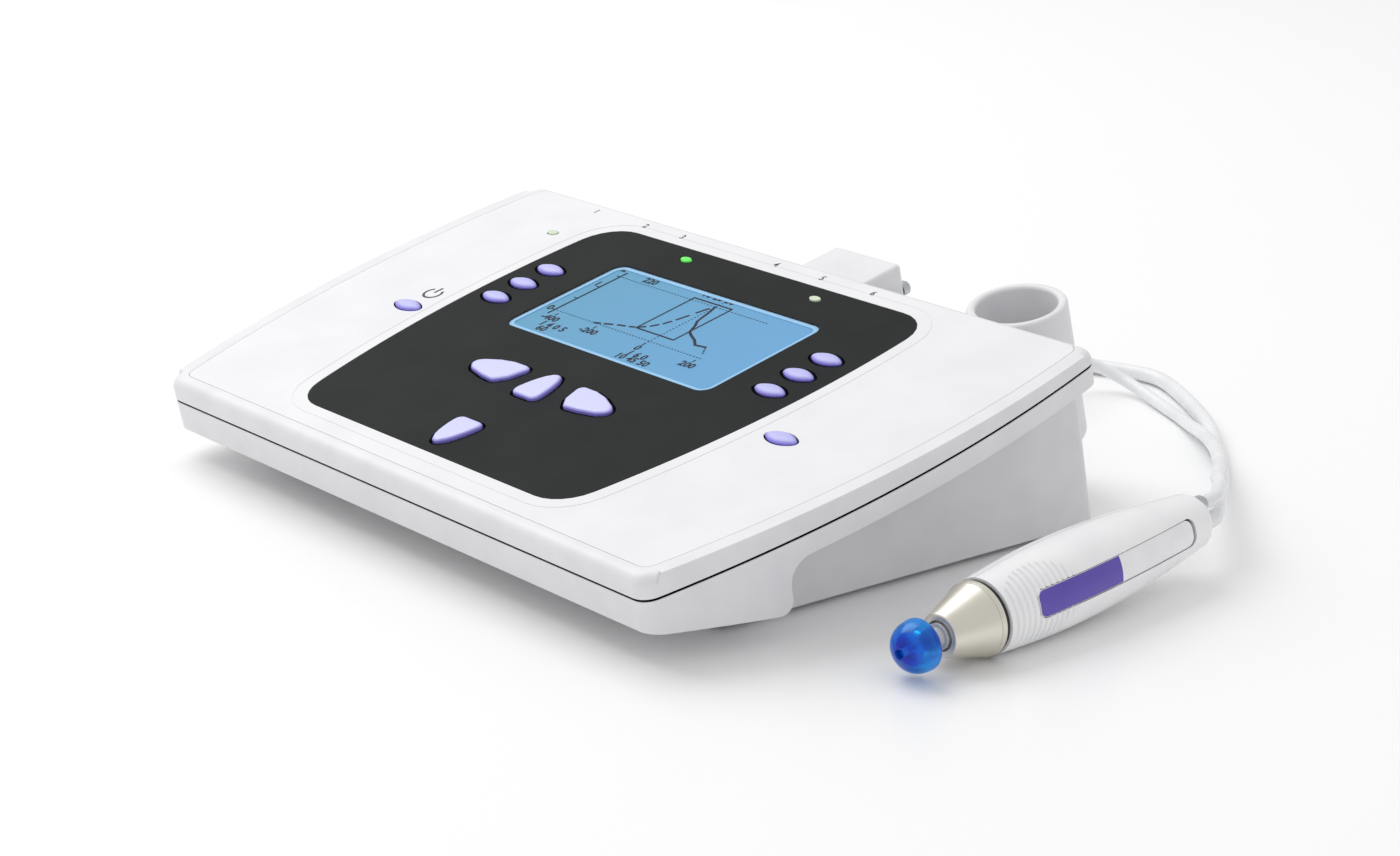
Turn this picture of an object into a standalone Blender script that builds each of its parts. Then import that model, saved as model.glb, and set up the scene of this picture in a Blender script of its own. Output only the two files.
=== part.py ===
"""Desktop tympanometer: a sloping console with soft keys and a screen, and a hand probe on its leads.

The console is modelled in a tilted frame (u across, v up the slope, w out of the top face), the probe
in a frame along its own axis. Both hang from one root empty, which puts the origin at the middle of
the underside of the whole object, leads left out.
"""
import math

import bmesh
import bpy
from mathutils import Matrix, Vector

MM = 0.001

# General clearances and overruns
GAP = 0.3 * MM
OVERRUN = 2.0 * MM
KEY_CLEARANCE = 0.5 * MM

# Console: the sloping top plane and its barrel-shaped outline
TILT = math.radians(12.7)
CASE_DEPTH = 165.0 * MM
CASE_LENGTH = CASE_DEPTH / math.cos(TILT)
FRONT_TOP_HEIGHT = 27.0 * MM
HALF_WIDTH_FRONT = 118.8 * MM
HALF_WIDTH_REAR = 132.1 * MM
SIDE_BULGE = 8.8 * MM
PLAN_CORNER = 6.0 * MM
SIDE_STEPS = 10
CORNER_STEPS = 4
WALL = 2.4 * MM

# Top cover, whose seam lies deeper at the front than at the rear
SEAM_FRONT_DEPTH = 6.9 * MM
SEAM_REAR_DEPTH = 3.9 * MM
COVER_EDGE_ROUND = 3.2 * MM
POCKET_DEPTH = 0.8 * MM
SHEET_THICKNESS = 0.5 * MM
OVERLAY_SIDE_INSET = 5.4 * MM
OVERLAY_FRONT_INSET = 5.4 * MM
OVERLAY_REAR_INSET = 2.9 * MM
OVERLAY_CORNER = 4.0 * MM

# Dark keypad panel
PANEL_CENTRE_U = -0.6 * MM
PANEL_FRONT_V = 15.4 * MM
PANEL_REAR_V = 157.2 * MM
PANEL_HALF_FRONT = 66.0 * MM
PANEL_HALF_REAR = 76.6 * MM
PANEL_BULGE = 6.5 * MM
PANEL_CORNER = 14.0 * MM

# Screen
WINDOW_WIDTH = 98.0 * MM
WINDOW_LENGTH = 50.8 * MM
WINDOW_CENTRE_V = 111.8 * MM
WINDOW_CORNER = 3.0 * MM
WINDOW_LEDGE = 1.2 * MM
LCD_FRAME_SIDE = 5.0 * MM
LCD_FRAME_END = 4.6 * MM
LCD_FRAME_DEPTH = 6.6 * MM

# Soft keys
KEY_HEIGHT = 1.3 * MM
KEY_HOLE_GAP = 0.8 * MM
KEY_EDGE_ROUND = 0.6 * MM
KEY_FLANGE = 0.8 * MM
KEY_FLANGE_RIM = 1.6 * MM
SOFT_KEY_LENGTH = 13.6 * MM
SOFT_KEY_WIDTH = 6.3 * MM
SOFT_KEY_TIP = 1.1 * MM
SOFT_KEY_CENTRE_U = -1.2 * MM
SOFT_KEY_U = 66.8 * MM
SOFT_KEY_FIRST_V = 121.4 * MM
SOFT_KEY_PITCH = 11.8 * MM
SIDE_KEY_CENTRE_U = 0.5 * MM
SIDE_KEY_U = 91.1 * MM
SIDE_KEY_V = 78.0 * MM
NAV_ARCH_WIDTH = 11.8 * MM
NAV_ARCH_LENGTH = 16.0 * MM
NAV_ARCH_WIDTH_SHARES = (1.0, 0.985, 0.84, 0.55, 0.28)
NAV_ARCH_RISE_SHARES = (0.0, 0.2, 0.5, 0.8, 0.93)
NAV_UP_BASE_V = 54.2 * MM
NAV_DOWN_BASE_V = 35.6 * MM
NAV_CORNER = 1.6 * MM
# The next key's corners, each with its radius, in millimetres on the top face
NAV_LEAF_CORNERS = ((14.1, 60.2, 0.0), (17.5, 56.2, 1.8), (23.6, 56.8, 0.0), (30.7, 58.4, 0.0),
                    (35.0, 61.8, 1.5), (31.3, 64.6, 0.0), (25.6, 67.2, 0.0), (19.9, 68.5, 0.0),
                    (11.7, 68.6, 1.2))

# Light pipes of the status lights
LIGHT_LENGTH = 4.6 * MM
LIGHT_WIDTH = 2.9 * MM
LIGHT_HEIGHT = 0.5 * MM
LIGHT_DEPTH = 3.4 * MM
LIGHT_FLANGE = 1.0 * MM
PANEL_LIGHT_U = 31.0 * MM
PANEL_LIGHT_V = 150.4 * MM
POWER_LIGHT_U = -92.6 * MM
POWER_LIGHT_V = 142.6 * MM

# Boards and mat under the keys
MAT_GAP = 1.2 * MM
MAT_THICKNESS = 1.2 * MM
MAT_MARGIN = 3.0 * MM
BOARD_THICKNESS = 1.6 * MM
KEY_BOARD_EDGE = 3.0 * MM
KEY_BOARD_FRONT_V = 20.0 * MM
KEY_BOARD_REAR_V = 150.0 * MM

# Bottom case
BAND_HEIGHT = 6.8 * MM
NOSE_LENGTH = 43.0 * MM
NOSE_FRONT_DEPTH = 17.4 * MM
NOSE_REAR_DEPTH = 29.0 * MM
NOSE_CORNER = 4.0 * MM
STAND_FRONT_V = 30.0 * MM
STAND_REAR_V = 173.4 * MM
STAND_HALF_FRONT = 111.7 * MM
STAND_HALF_REAR = 120.0 * MM
STAND_CORNER = 4.0 * MM
FLOOR_THICKNESS = 2.2 * MM
FOOT_HEIGHT = 1.5 * MM
FOOT_RADIUS = 6.0 * MM
FOOT_RECESS = 1.0 * MM
FOOT_INSET_U = 19.5 * MM
FOOT_FRONT_Y = -20.0 * MM
FOOT_REAR_Y = 78.0 * MM

# Screw pillars
PILLAR_RADIUS = 4.0 * MM
SCREW_BORE = 1.8 * MM
SCREW_SHANK = 1.5 * MM
SCREW_HEAD = 2.8 * MM
SCREW_HEAD_HEIGHT = 2.0 * MM
SCREW_HEAD_BORE = 3.2 * MM
SCREW_SEAT = 5.0 * MM
SCREW_REACH = 3.0 * MM
PILLAR_U = 96.0 * MM
PILLAR_FRONT_V = 46.0 * MM
PILLAR_REAR_V = 126.0 * MM

# Ports on the rear wall, standing on the main board
PORT_AXIS_DEPTH = 20.5 * MM
MAIN_BOARD_DEPTH = 28.4 * MM
MAIN_BOARD_FRONT_V = 92.0 * MM
MAIN_BOARD_EDGE = 8.0 * MM
MAIN_BOARD_POST = 4.0 * MM
MAIN_BOARD_POST_U = 78.0 * MM
MAIN_BOARD_POST_FRONT_V = 100.0 * MM
MAIN_BOARD_POST_REAR_V = 160.0 * MM
PORT_LENGTH = 16.0 * MM
DC_JACK_U = -92.7 * MM
DC_JACK_SIZE = (9.0 * MM, 11.0 * MM)
DC_JACK_BORE = 3.2 * MM
DC_JACK_PIN = 1.0 * MM
USB_PORT_U = -66.0 * MM
USB_PORT_SIZE = (12.0 * MM, 11.0 * MM)
USB_SOCKET_SIZE = (8.6 * MM, 7.8 * MM)
USB_TONGUE_SIZE = (5.6 * MM, 3.2 * MM)
PRINTER_PORT_U = -46.0 * MM
PRINTER_PORT_SIZE = (14.0 * MM, 13.0 * MM)
PRINTER_PORT_BORE = 4.6 * MM
SOCKET_DEPTH = 9.0 * MM
CONTRA_JACK_U = 44.4 * MM
CONTRA_JACK_SIZE = (11.0 * MM, 11.0 * MM)
CONTRA_JACK_BORE = 3.2 * MM
CONTRA_BUSH_RADIUS = 5.0 * MM
CONTRA_BUSH_LENGTH = 2.4 * MM
AIR_PORT_U = 20.6 * MM
AIR_PORT_RADIUS = 4.2 * MM
AIR_PORT_FLANGE = 6.0 * MM
AIR_PORT_FLANGE_LENGTH = 3.0 * MM
AIR_NIPPLE_RADIUS = 1.9 * MM
AIR_NIPPLE_LENGTH = 9.0 * MM
AIR_NIPPLE_BORE = 0.9 * MM

# Probe plug and its socket
PROBE_SOCKET_SIZE = (24.0 * MM, 11.0 * MM)
PROBE_SOCKET_NOSE = (17.0 * MM, 8.0 * MM)
PROBE_SOCKET_NOSE_LENGTH = 5.5 * MM
HOOD_HALF_WIDTH = 15.5 * MM
HOOD_TOP_DEPTH = 12.2 * MM
HOOD_BOTTOM_DEPTH = 28.4 * MM
HOOD_LENGTH = 28.6 * MM
HOOD_EDGE_ROUND = 1.6 * MM
THUMB_SCREW_U = 12.6 * MM
THUMB_SCREW_RADIUS = 1.5 * MM
THUMB_HEAD_RADIUS = 2.4 * MM
THUMB_HEAD_LENGTH = 3.0 * MM
PLUG_BOOT_V = 191.5 * MM
PLUG_BOOT_LENGTH = 13.0 * MM

# Probe cup behind the rear wall
CUP_U = 81.5 * MM
CUP_V = 187.9 * MM
CUP_INNER_RADIUS = 12.9 * MM
CUP_WALL = 3.0 * MM
CUP_TOP_DEPTH = 5.5 * MM
CUP_LENGTH = 47.0 * MM
CUP_FLOOR = 2.6 * MM
CUP_DRAFT = 1.6 * MM
CUP_FLANGE_WIDTH = 24.0 * MM
CUP_FLANGE_THICKNESS = 2.4 * MM
CUP_SEGMENTS = 40

# Air system inside the case
PUMP_HEAD_SIZE = (24.0 * MM, 18.0 * MM, 16.0 * MM)
PUMP_U = -40.0 * MM
PUMP_V = 66.0 * MM
PUMP_AXIS_DEPTH = 26.0 * MM
PUMP_CHAMBER = 6.4 * MM
PUMP_MOTOR_RADIUS = 8.0 * MM
PUMP_MOTOR_LENGTH = 26.0 * MM
PUMP_SHAFT_RADIUS = 1.0 * MM
PUMP_SHAFT_CLEARANCE = 0.05 * MM
PUMP_SHAFT_LENGTH = 12.0 * MM
PUMP_CAM_RADIUS = 4.0 * MM
PUMP_CAM_OFFSET = 1.2 * MM
PUMP_CAM_LENGTH = 5.0 * MM
CRADLE_WALL = 2.0 * MM
VALVE_SIZE = (16.0 * MM, 12.0 * MM, 10.0 * MM)
VALVE_U = 30.0 * MM
VALVE_V = 104.0 * MM
SENSOR_SIZE = (12.0 * MM, 12.0 * MM, 6.0 * MM)
SENSOR_U = 0.0 * MM
SENSOR_V = 104.0 * MM

# Hand probe: its joint with the nose cone lies at PROBE_PLACE, and its tail points away from the front
PROBE_PLACE = (168.52 * MM, -3.29 * MM, 11.35 * MM)
PROBE_HEADING = math.radians(92.0)
PROBE_LIFT = math.radians(3.8)
PROBE_ROLL = math.radians(14.0)
NOSE_CONE_LENGTH = 15.7 * MM
NOSE_CONE_TIP_RADIUS = 5.6 * MM
NOSE_CONE_RADIUS = 11.0 * MM
NOSE_CONE_WALL = 1.6 * MM
NOSE_CONE_BAND = 2.4 * MM
SEAL_THICKNESS = 1.0 * MM
SEAL_RADIUS = 10.7 * MM
BODY_LENGTH = 92.4 * MM
BODY_FRONT_RADIUS = 11.2 * MM
BODY_BELLY_RADIUS = 13.0 * MM
BODY_BELLY_SHARE = 0.34
BODY_TAIL_RADIUS = 8.3 * MM
BODY_WALL = 1.8 * MM
BODY_TAIL_ROUND = 3.0 * MM
BODY_BORE = 5.2 * MM
TAIL_PLUG_RADIUS = 6.4 * MM
TIP_STEM_RADIUS = 3.2 * MM
TIP_STEM_REACH = 10.0 * MM
TIP_FLANGE_RADIUS = 6.0 * MM
TIP_FLANGE_THICKNESS = 3.0 * MM
TIP_CHANNEL = 1.1 * MM
EAR_TIP_RADIUS = 7.7 * MM
EAR_TIP_LENGTH = 10.2 * MM
EAR_TIP_START = 5.6 * MM
EAR_TIP_HOLE = 1.3 * MM
# Along and across shares of the ear tip's side, from its foot to its front
EAR_TIP_SHARES = ((0.0, 0.50), (0.02, 0.74), (0.10, 0.93), (0.24, 1.0), (0.42, 0.985), (0.60, 0.90),
                  (0.76, 0.76), (0.90, 0.53), (0.98, 0.30))
LABEL_START = 12.7 * MM
LABEL_END = 82.6 * MM
LABEL_WIDTH = 7.8 * MM
LABEL_CORNER = 2.4 * MM
LABEL_THICKNESS = 0.9 * MM
LABEL_SINK = 0.15 * MM
LABEL_OVERLAP_SHARE = 0.05
LABEL_MIDDLE_SHARES = (0.2, 0.4, 0.6, 0.8)
TRANSDUCER_RADIUS = 8.4 * MM
TRANSDUCER_LENGTH = 24.0 * MM
PROBE_BOARD_WIDTH = 11.0 * MM
PROBE_BOARD_REAR_ROOM = 10.6 * MM
TAIL_COLLAR_LENGTH = 1.6 * MM
TAIL_LEAD_DROP = 2.6 * MM
TAIL_TUBE_RISE = 3.4 * MM
TAIL_SPIGOT_RADIUS = 2.5 * MM
TAIL_SPIGOT_LENGTH = 3.6 * MM
TAIL_RUN = 5.0 * MM
TAIL_AIM = 6.0 * MM

# Leads: a round electric lead and a thinner air tube
LEAD_RADIUS = 2.6 * MM
TUBE_RADIUS = 2.1 * MM
CORD_FLOOR_GAP = 0.3 * MM
LEAD_COIL_RADIUS = 28.6 * MM
LEAD_COIL_TURNS = 3
LEAD_COIL_CENTRE = (-59.5 * MM, 156.0 * MM)
TUBE_COIL_RADIUS = 23.0 * MM
TUBE_COIL_TURNS = 4
TUBE_COIL_CENTRE = (-2.4 * MM, 156.0 * MM)
COIL_PITCH_SHARE = 1.03
COIL_SEGMENTS = 40
CORD_STEPS = 44
PLUG_CORD_STEPS = 18

SINE = math.sin(TILT)
COSINE = math.cos(TILT)


def clear_scene():
    """Remove everything, so that the model stands alone."""
    for old in list(bpy.data.objects):
        bpy.data.objects.remove(old, do_unlink=True)


clear_scene()
PARTS = bpy.data.collections.new("tympanometer")
CUTTERS = bpy.data.collections.new("cutters")
bpy.context.scene.collection.children.link(PARTS)
bpy.context.scene.collection.children.link(CUTTERS)


def make_material(name, colour, roughness, metallic=0.0, alpha=1.0):
    """A Principled finish in linear colour."""
    finish = bpy.data.materials.new(name)
    finish.use_nodes = True
    shader = finish.node_tree.nodes["Principled BSDF"]
    shader.inputs["Base Color"].default_value = (*colour, 1.0)
    shader.inputs["Roughness"].default_value = roughness
    shader.inputs["Metallic"].default_value = metallic
    shader.inputs["Alpha"].default_value = alpha
    return finish


WHITE_ABS = make_material("white_abs", (0.80, 0.80, 0.81), 0.45)
OVERLAY_PRINT = make_material("overlay_white", (0.84, 0.84, 0.85), 0.5)
PANEL_PRINT = make_material("panel_charcoal", (0.035, 0.037, 0.038), 0.4)
KEY_SILICONE = make_material("key_lavender", (0.45, 0.42, 0.85), 0.5)
LCD_BLUE = make_material("lcd_blue", (0.13, 0.40, 0.68), 0.3)
CLEAR_PLASTIC = make_material("clear_plastic", (0.85, 0.88, 0.9), 0.1, alpha=0.35)
LIGHT_GREEN = make_material("light_green", (0.10, 0.45, 0.12), 0.3)
BOARD_GREEN = make_material("board_green", (0.02, 0.16, 0.07), 0.5)
METAL = make_material("satin_nickel", (0.55, 0.51, 0.44), 0.32, metallic=1.0)
STEEL = make_material("screw_steel", (0.45, 0.45, 0.46), 0.35, metallic=1.0)
BLACK_PLASTIC = make_material("black_plastic", (0.02, 0.02, 0.021), 0.45)
BLACK_RUBBER = make_material("black_rubber", (0.02, 0.02, 0.02), 0.7)
GREY_PLASTIC = make_material("grey_plastic", (0.45, 0.45, 0.46), 0.5)
EAR_TIP_BLUE = make_material("ear_tip_blue", (0.01, 0.12, 0.75), 0.2)
LEAD_GREY = make_material("lead_grey", (0.68, 0.68, 0.69), 0.5)


def make_empty(name, parent=None, place=(0.0, 0.0, 0.0), turn=None):
    """An empty that carries the pieces of one frame."""
    carrier = bpy.data.objects.new(name, None)
    PARTS.objects.link(carrier)
    carrier.parent = parent
    matrix = Matrix.Translation(place)
    carrier.matrix_basis = matrix @ turn if turn else matrix
    return carrier


def add_object(name, bm, carrier, finish=None, place=(0.0, 0.0, 0.0), cutter=False):
    """Store a bmesh as a named object on its carrier."""
    bmesh.ops.recalc_face_normals(bm, faces=bm.faces[:])
    mesh = bpy.data.meshes.new(name)
    bm.to_mesh(mesh)
    bm.free()
    thing = bpy.data.objects.new(name, mesh)
    thing.parent = carrier
    thing.location = place
    if cutter:
        thing.hide_render = True
        thing.display_type = 'WIRE'
        CUTTERS.objects.link(thing)
        return thing
    PARTS.objects.link(thing)
    mesh.materials.append(finish)
    mesh.shade_smooth()
    mesh.set_sharp_from_angle(angle=math.radians(35.0))
    return thing


def join_shape(target, other, operation):
    """Cut, join or trim a piece with another by an exact Boolean."""
    step = target.modifiers.new(other.name, 'BOOLEAN')
    step.operation = operation
    step.solver = 'EXACT'
    step.object = other
    return target


def cut(target, other):
    """Take a cutter's shape out of a piece."""
    return join_shape(target, other, 'DIFFERENCE')


def fuse(target, other):
    """Add a guide's shape to a piece."""
    return join_shape(target, other, 'UNION')


def rounded(corners, radii, steps=CORNER_STEPS):
    """Round each corner of an outline with a short arc; a radius of zero keeps the point."""
    points = []
    count = len(corners)
    for index in range(count):
        here = Vector(corners[index])
        radius = radii[index]
        if radius <= 0.0:
            points.append(here)
            continue
        before = (Vector(corners[index - 1]) - here).normalized()
        after = (Vector(corners[(index + 1) % count]) - here).normalized()
        half = before.angle(after) / 2
        back = radius / math.tan(half)
        centre = here + (before + after).normalized() * radius / math.sin(half)
        start = here + before * back - centre
        sweep = start.angle_signed(here + after * back - centre)
        for step in range(steps + 1):
            points.append(centre + Matrix.Rotation(-sweep * step / steps, 2) @ start)
    return points


def rectangle(width, length, radius=0.0, centre=(0.0, 0.0), steps=CORNER_STEPS):
    """A rectangle's outline, with rounded corners if asked."""
    u, v = width / 2, length / 2
    corners = [(-u, -v), (u, -v), (u, v), (-u, v)]
    return rounded([(centre[0] + a, centre[1] + b) for a, b in corners], [radius] * 4, steps)


def barrel(front_v, rear_v, half_front, half_rear, bulge, radius, centre_u=0.0):
    """A trapezoid outline whose two sides bow outwards."""
    side = []
    for step in range(SIDE_STEPS + 1):
        share = step / SIDE_STEPS
        half = half_front + (half_rear - half_front) * share + 4 * bulge * share * (1 - share)
        side.append((half, front_v + (rear_v - front_v) * share))
    right = [(centre_u + half, v) for half, v in side]
    left = [(centre_u - half, v) for half, v in reversed(side)]
    radii = [radius] + [0.0] * (SIDE_STEPS - 1) + [radius]
    return rounded(right + left, radii + radii)


def case_half_width(v):
    """Half the console's width at a place up its slope."""
    share = v / CASE_LENGTH
    straight = HALF_WIDTH_FRONT + (HALF_WIDTH_REAR - HALF_WIDTH_FRONT) * share
    return straight + 4 * SIDE_BULGE * share * (1 - share)


def case_outline(side_inset, front_inset, rear_inset, radius, rear_v=CASE_LENGTH):
    """The console's own outline, moved inwards."""
    front = front_inset
    rear = rear_v - rear_inset
    half_front = case_half_width(front) - side_inset
    half_rear = case_half_width(rear) - side_inset
    middle = case_half_width((front + rear) / 2) - side_inset
    return barrel(front, rear, half_front, half_rear, middle - (half_front + half_rear) / 2, radius)


def prism(outline, top, bottom, round_top=0.0, round_steps=3):
    """Extrude an outline from one height to another; a height may be a function of the place."""
    bm = bmesh.new()
    ring = [bm.verts.new((p[0], p[1], 0.0)) for p in outline]
    base = bm.faces.new(ring)
    raised = bmesh.ops.extrude_face_region(bm, geom=[base])
    upper = [v for v in raised["geom"] if isinstance(v, bmesh.types.BMVert)]
    upper_face = [f for f in raised["geom"] if isinstance(f, bmesh.types.BMFace)][0]
    for vert in upper:
        vert.co.z = top(vert.co) if callable(top) else top
    for vert in ring:
        vert.co.z = bottom(vert.co) if callable(bottom) else bottom
    if round_top > 0.0:
        bmesh.ops.bevel(bm, geom=list(upper_face.edges), offset=round_top, segments=round_steps,
                        profile=0.5, affect='EDGES', material=-1)
    return bm


def block(size, centre=(0.0, 0.0, 0.0)):
    """A box of the given size around a centre."""
    bm = bmesh.new()
    bmesh.ops.create_cube(bm, size=1.0)
    bmesh.ops.scale(bm, vec=size, verts=bm.verts[:])
    bmesh.ops.translate(bm, vec=centre, verts=bm.verts[:])
    return bm


def rod(radius, low, high, axis='Z', centre=(0.0, 0.0), segments=20, end_radius=None):
    """A cylinder or cone between two places along an axis, off that axis by a centre."""
    bm = bmesh.new()
    bmesh.ops.create_cone(bm, cap_ends=True, segments=segments, radius1=radius,
                          radius2=radius if end_radius is None else end_radius, depth=high - low)
    bmesh.ops.translate(bm, vec=(0.0, 0.0, (high + low) / 2), verts=bm.verts[:])
    turn = {'Z': Matrix.Identity(3), 'X': Matrix.Rotation(math.pi / 2, 3, 'Y'),
            'Y': Matrix.Rotation(-math.pi / 2, 3, 'X')}[axis]
    bmesh.ops.rotate(bm, cent=(0.0, 0.0, 0.0), matrix=turn, verts=bm.verts[:])
    a, b = centre
    shift = {'Z': (a, b, 0.0), 'X': (0.0, a, b), 'Y': (a, 0.0, b)}[axis]
    bmesh.ops.translate(bm, vec=shift, verts=bm.verts[:])
    return bm


def turned(profile, segments=32, angle=math.tau, start=0.0):
    """Spin a closed profile of (along, radius) points about the X axis."""
    bm = bmesh.new()
    ring = [bm.verts.new((a, r * math.cos(start), r * math.sin(start))) for a, r in profile]
    base = bm.faces.new(ring)
    full = abs(angle - math.tau) < 1e-6
    if full:
        edges = list(base.edges)
        bm.faces.remove(base)
        bmesh.ops.spin(bm, geom=edges, cent=(0.0, 0.0, 0.0), axis=(1.0, 0.0, 0.0), angle=angle,
                       steps=segments, use_merge=True)
    else:
        bmesh.ops.spin(bm, geom=[base], cent=(0.0, 0.0, 0.0), axis=(1.0, 0.0, 0.0), angle=angle,
                       steps=segments, use_duplicate=False)
    return bm


def floor_plane(height):
    """The depth, in the console's tilted frame, of a level plane at a height over the table."""
    return lambda place: (height - FRONT_TOP_HEIGHT - place.y * SINE) / COSINE


def cover_bottom(place):
    """The height of the cover's lower edge, in the console's tilted frame."""
    return -SEAM_FRONT_DEPTH + (SEAM_FRONT_DEPTH - SEAM_REAR_DEPTH) * place.y / CASE_LENGTH


def case_top(place):
    """The upper edge of the rim band, a gap under the cover."""
    return cover_bottom(place) - GAP


def band_bottom(place):
    """The lower edge of the rim band."""
    return cover_bottom(place) - BAND_HEIGHT


ROOT = make_empty("root")
CONSOLE = make_empty("console_frame", ROOT, (0.0, -CASE_DEPTH / 2, FRONT_TOP_HEIGHT),
                     Matrix.Rotation(TILT, 4, 'X'))
PROBE = make_empty("probe_frame", ROOT, PROBE_PLACE,
                   Matrix.Rotation(PROBE_HEADING, 4, 'Z') @ Matrix.Rotation(-PROBE_LIFT, 4, 'Y')
                   @ Matrix.Rotation(-PROBE_ROLL, 4, 'X'))


def lens_outline(length, width, tip):
    """A key shaped like an eye: two arcs that meet in rounded tips."""
    half = length / 2
    radius = (half * half + (width / 2) ** 2) / width
    corners = []
    swing = math.asin(half / radius)
    for side in (1, -1):
        for step in range(6):
            angle = swing * (1 - step / 3) * side
            corners.append((radius * math.sin(angle), side * (radius * math.cos(angle) - radius + width / 2)))
    radii = ([tip] + [0.0] * 5) * 2
    return rounded(corners, radii, 3)


def arch_outline(width, length, corner):
    """A pointed arch with a flat foot at zero, rising along +v."""
    right = [(width / 2 * a, length * b) for a, b in zip(NAV_ARCH_WIDTH_SHARES, NAV_ARCH_RISE_SHARES)]
    left = [(-u, v) for u, v in reversed(right)]
    corners = right + [(0.0, length)] + left
    side_radii = [0.0] * (len(right) - 1)
    radii = [corner] + side_radii + [corner] + side_radii + [corner]
    return rounded(corners, radii, 3)


def leaf_outline():
    """A leaf with a blunt slanted foot and its tip to the right."""
    corners = [(u * MM, v * MM) for u, v, radius in NAV_LEAF_CORNERS]
    return rounded(corners, [radius * MM for u, v, radius in NAV_LEAF_CORNERS], 3)


def grown(outline, extra):
    """Move an outline outwards, along the mean normal at each point."""
    points = [Vector(p) for p in outline]
    result = []
    for index, here in enumerate(points):
        before = (here - points[index - 1]).normalized()
        after = (points[(index + 1) % len(points)] - here).normalized()
        mean = (before + after).normalized()
        normal = Vector((mean.y, -mean.x))
        result.append(here + normal * extra / max(mean.dot(after), 0.5))
    return result


def placed(outline, u, v, mirrored=False, flipped=False):
    """Put an outline at a place on the top face, mirrored left or turned upside down if asked."""
    points = [((-p[0] if mirrored else p[0]) + u, (-p[1] if flipped else p[1]) + v) for p in outline]
    if mirrored != flipped:
        points.reverse()
    return points


def key_outlines():
    """Every key's name and its outline on the top face."""
    soft = lens_outline(SOFT_KEY_LENGTH, SOFT_KEY_WIDTH, SOFT_KEY_TIP)
    arch = arch_outline(NAV_ARCH_WIDTH, NAV_ARCH_LENGTH, NAV_CORNER)
    leaf = leaf_outline()
    keys = {}
    for number in range(3):
        v = SOFT_KEY_FIRST_V - number * SOFT_KEY_PITCH
        keys["key_left_" + str(number + 1)] = placed(soft, SOFT_KEY_CENTRE_U - SOFT_KEY_U, v)
        keys["key_right_" + str(number + 1)] = placed(soft, SOFT_KEY_CENTRE_U + SOFT_KEY_U, v)
    keys["key_power"] = placed(soft, SIDE_KEY_CENTRE_U - SIDE_KEY_U, SIDE_KEY_V)
    keys["key_display_mode"] = placed(soft, SIDE_KEY_CENTRE_U + SIDE_KEY_U, SIDE_KEY_V)
    keys["key_up"] = placed(arch, 0.0, NAV_UP_BASE_V)
    keys["key_down"] = placed(arch, 0.0, NAV_DOWN_BASE_V, flipped=True)
    keys["key_next"] = leaf
    keys["key_back"] = placed(leaf, 0.0, 0.0, mirrored=True)
    return keys


KEYS = key_outlines()
LIGHTS = {"light_left": (PANEL_CENTRE_U - PANEL_LIGHT_U, PANEL_LIGHT_V),
          "light_right": (PANEL_CENTRE_U + PANEL_LIGHT_U, PANEL_LIGHT_V),
          "light_power": (POWER_LIGHT_U, POWER_LIGHT_V)}
COVER_UNDERSIDE = -WALL
FLANGE_TOP = COVER_UNDERSIDE - GAP
FLANGE_BOTTOM = FLANGE_TOP - KEY_FLANGE
MAT_TOP = FLANGE_BOTTOM - MAT_GAP
MAT_BOTTOM = MAT_TOP - MAT_THICKNESS
KEY_BOARD_TOP = MAT_BOTTOM - GAP
KEY_BOARD_BOTTOM = KEY_BOARD_TOP - BOARD_THICKNESS
LCD_TOP = COVER_UNDERSIDE - GAP
LCD_BOTTOM = LCD_TOP - LCD_FRAME_DEPTH
PILLARS = {"front_left": (-PILLAR_U, PILLAR_FRONT_V), "front_right": (PILLAR_U, PILLAR_FRONT_V),
           "rear_left": (-PILLAR_U, PILLAR_REAR_V), "rear_right": (PILLAR_U, PILLAR_REAR_V)}


def light_outline(extra=0.0):
    """A small oval, as twelve points."""
    points = []
    for step in range(12):
        angle = math.tau * step / 12
        points.append(((LIGHT_LENGTH / 2 + extra) * math.cos(angle),
                       (LIGHT_WIDTH / 2 + extra) * math.sin(angle)))
    return points


def panel_outline(extra=0.0):
    """The dark panel's outline, moved outwards."""
    return barrel(PANEL_FRONT_V - extra, PANEL_REAR_V + extra, PANEL_HALF_FRONT + extra,
                  PANEL_HALF_REAR + extra, PANEL_BULGE, PANEL_CORNER + extra, PANEL_CENTRE_U)


def window_outline(extra=0.0):
    """The screen window's outline, moved outwards."""
    return rectangle(WINDOW_WIDTH + 2 * extra, WINDOW_LENGTH + 2 * extra, WINDOW_CORNER + extra,
                     (PANEL_CENTRE_U, WINDOW_CENTRE_V))


def cutter_prism(name, outline, top, bottom, carrier=None):
    """A cutting shape in the console's frame."""
    return add_object(name, prism(outline, top, bottom), carrier or CONSOLE, cutter=True)


def cut_key_and_light_holes(target, low, names):
    """Open the key and light holes that a sheet or cover needs."""
    for name in names:
        if name in KEYS:
            outline = grown(KEYS[name], KEY_HOLE_GAP)
        else:
            outline = placed(light_outline(GAP), *LIGHTS[name])
        cut(target, cutter_prism(target.name + "_hole_" + name, outline, OVERRUN, low - OVERRUN))


def on_panel(name):
    """True for the keys and lights that stand in the dark panel."""
    return name not in ("key_power", "key_display_mode", "light_power")


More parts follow.
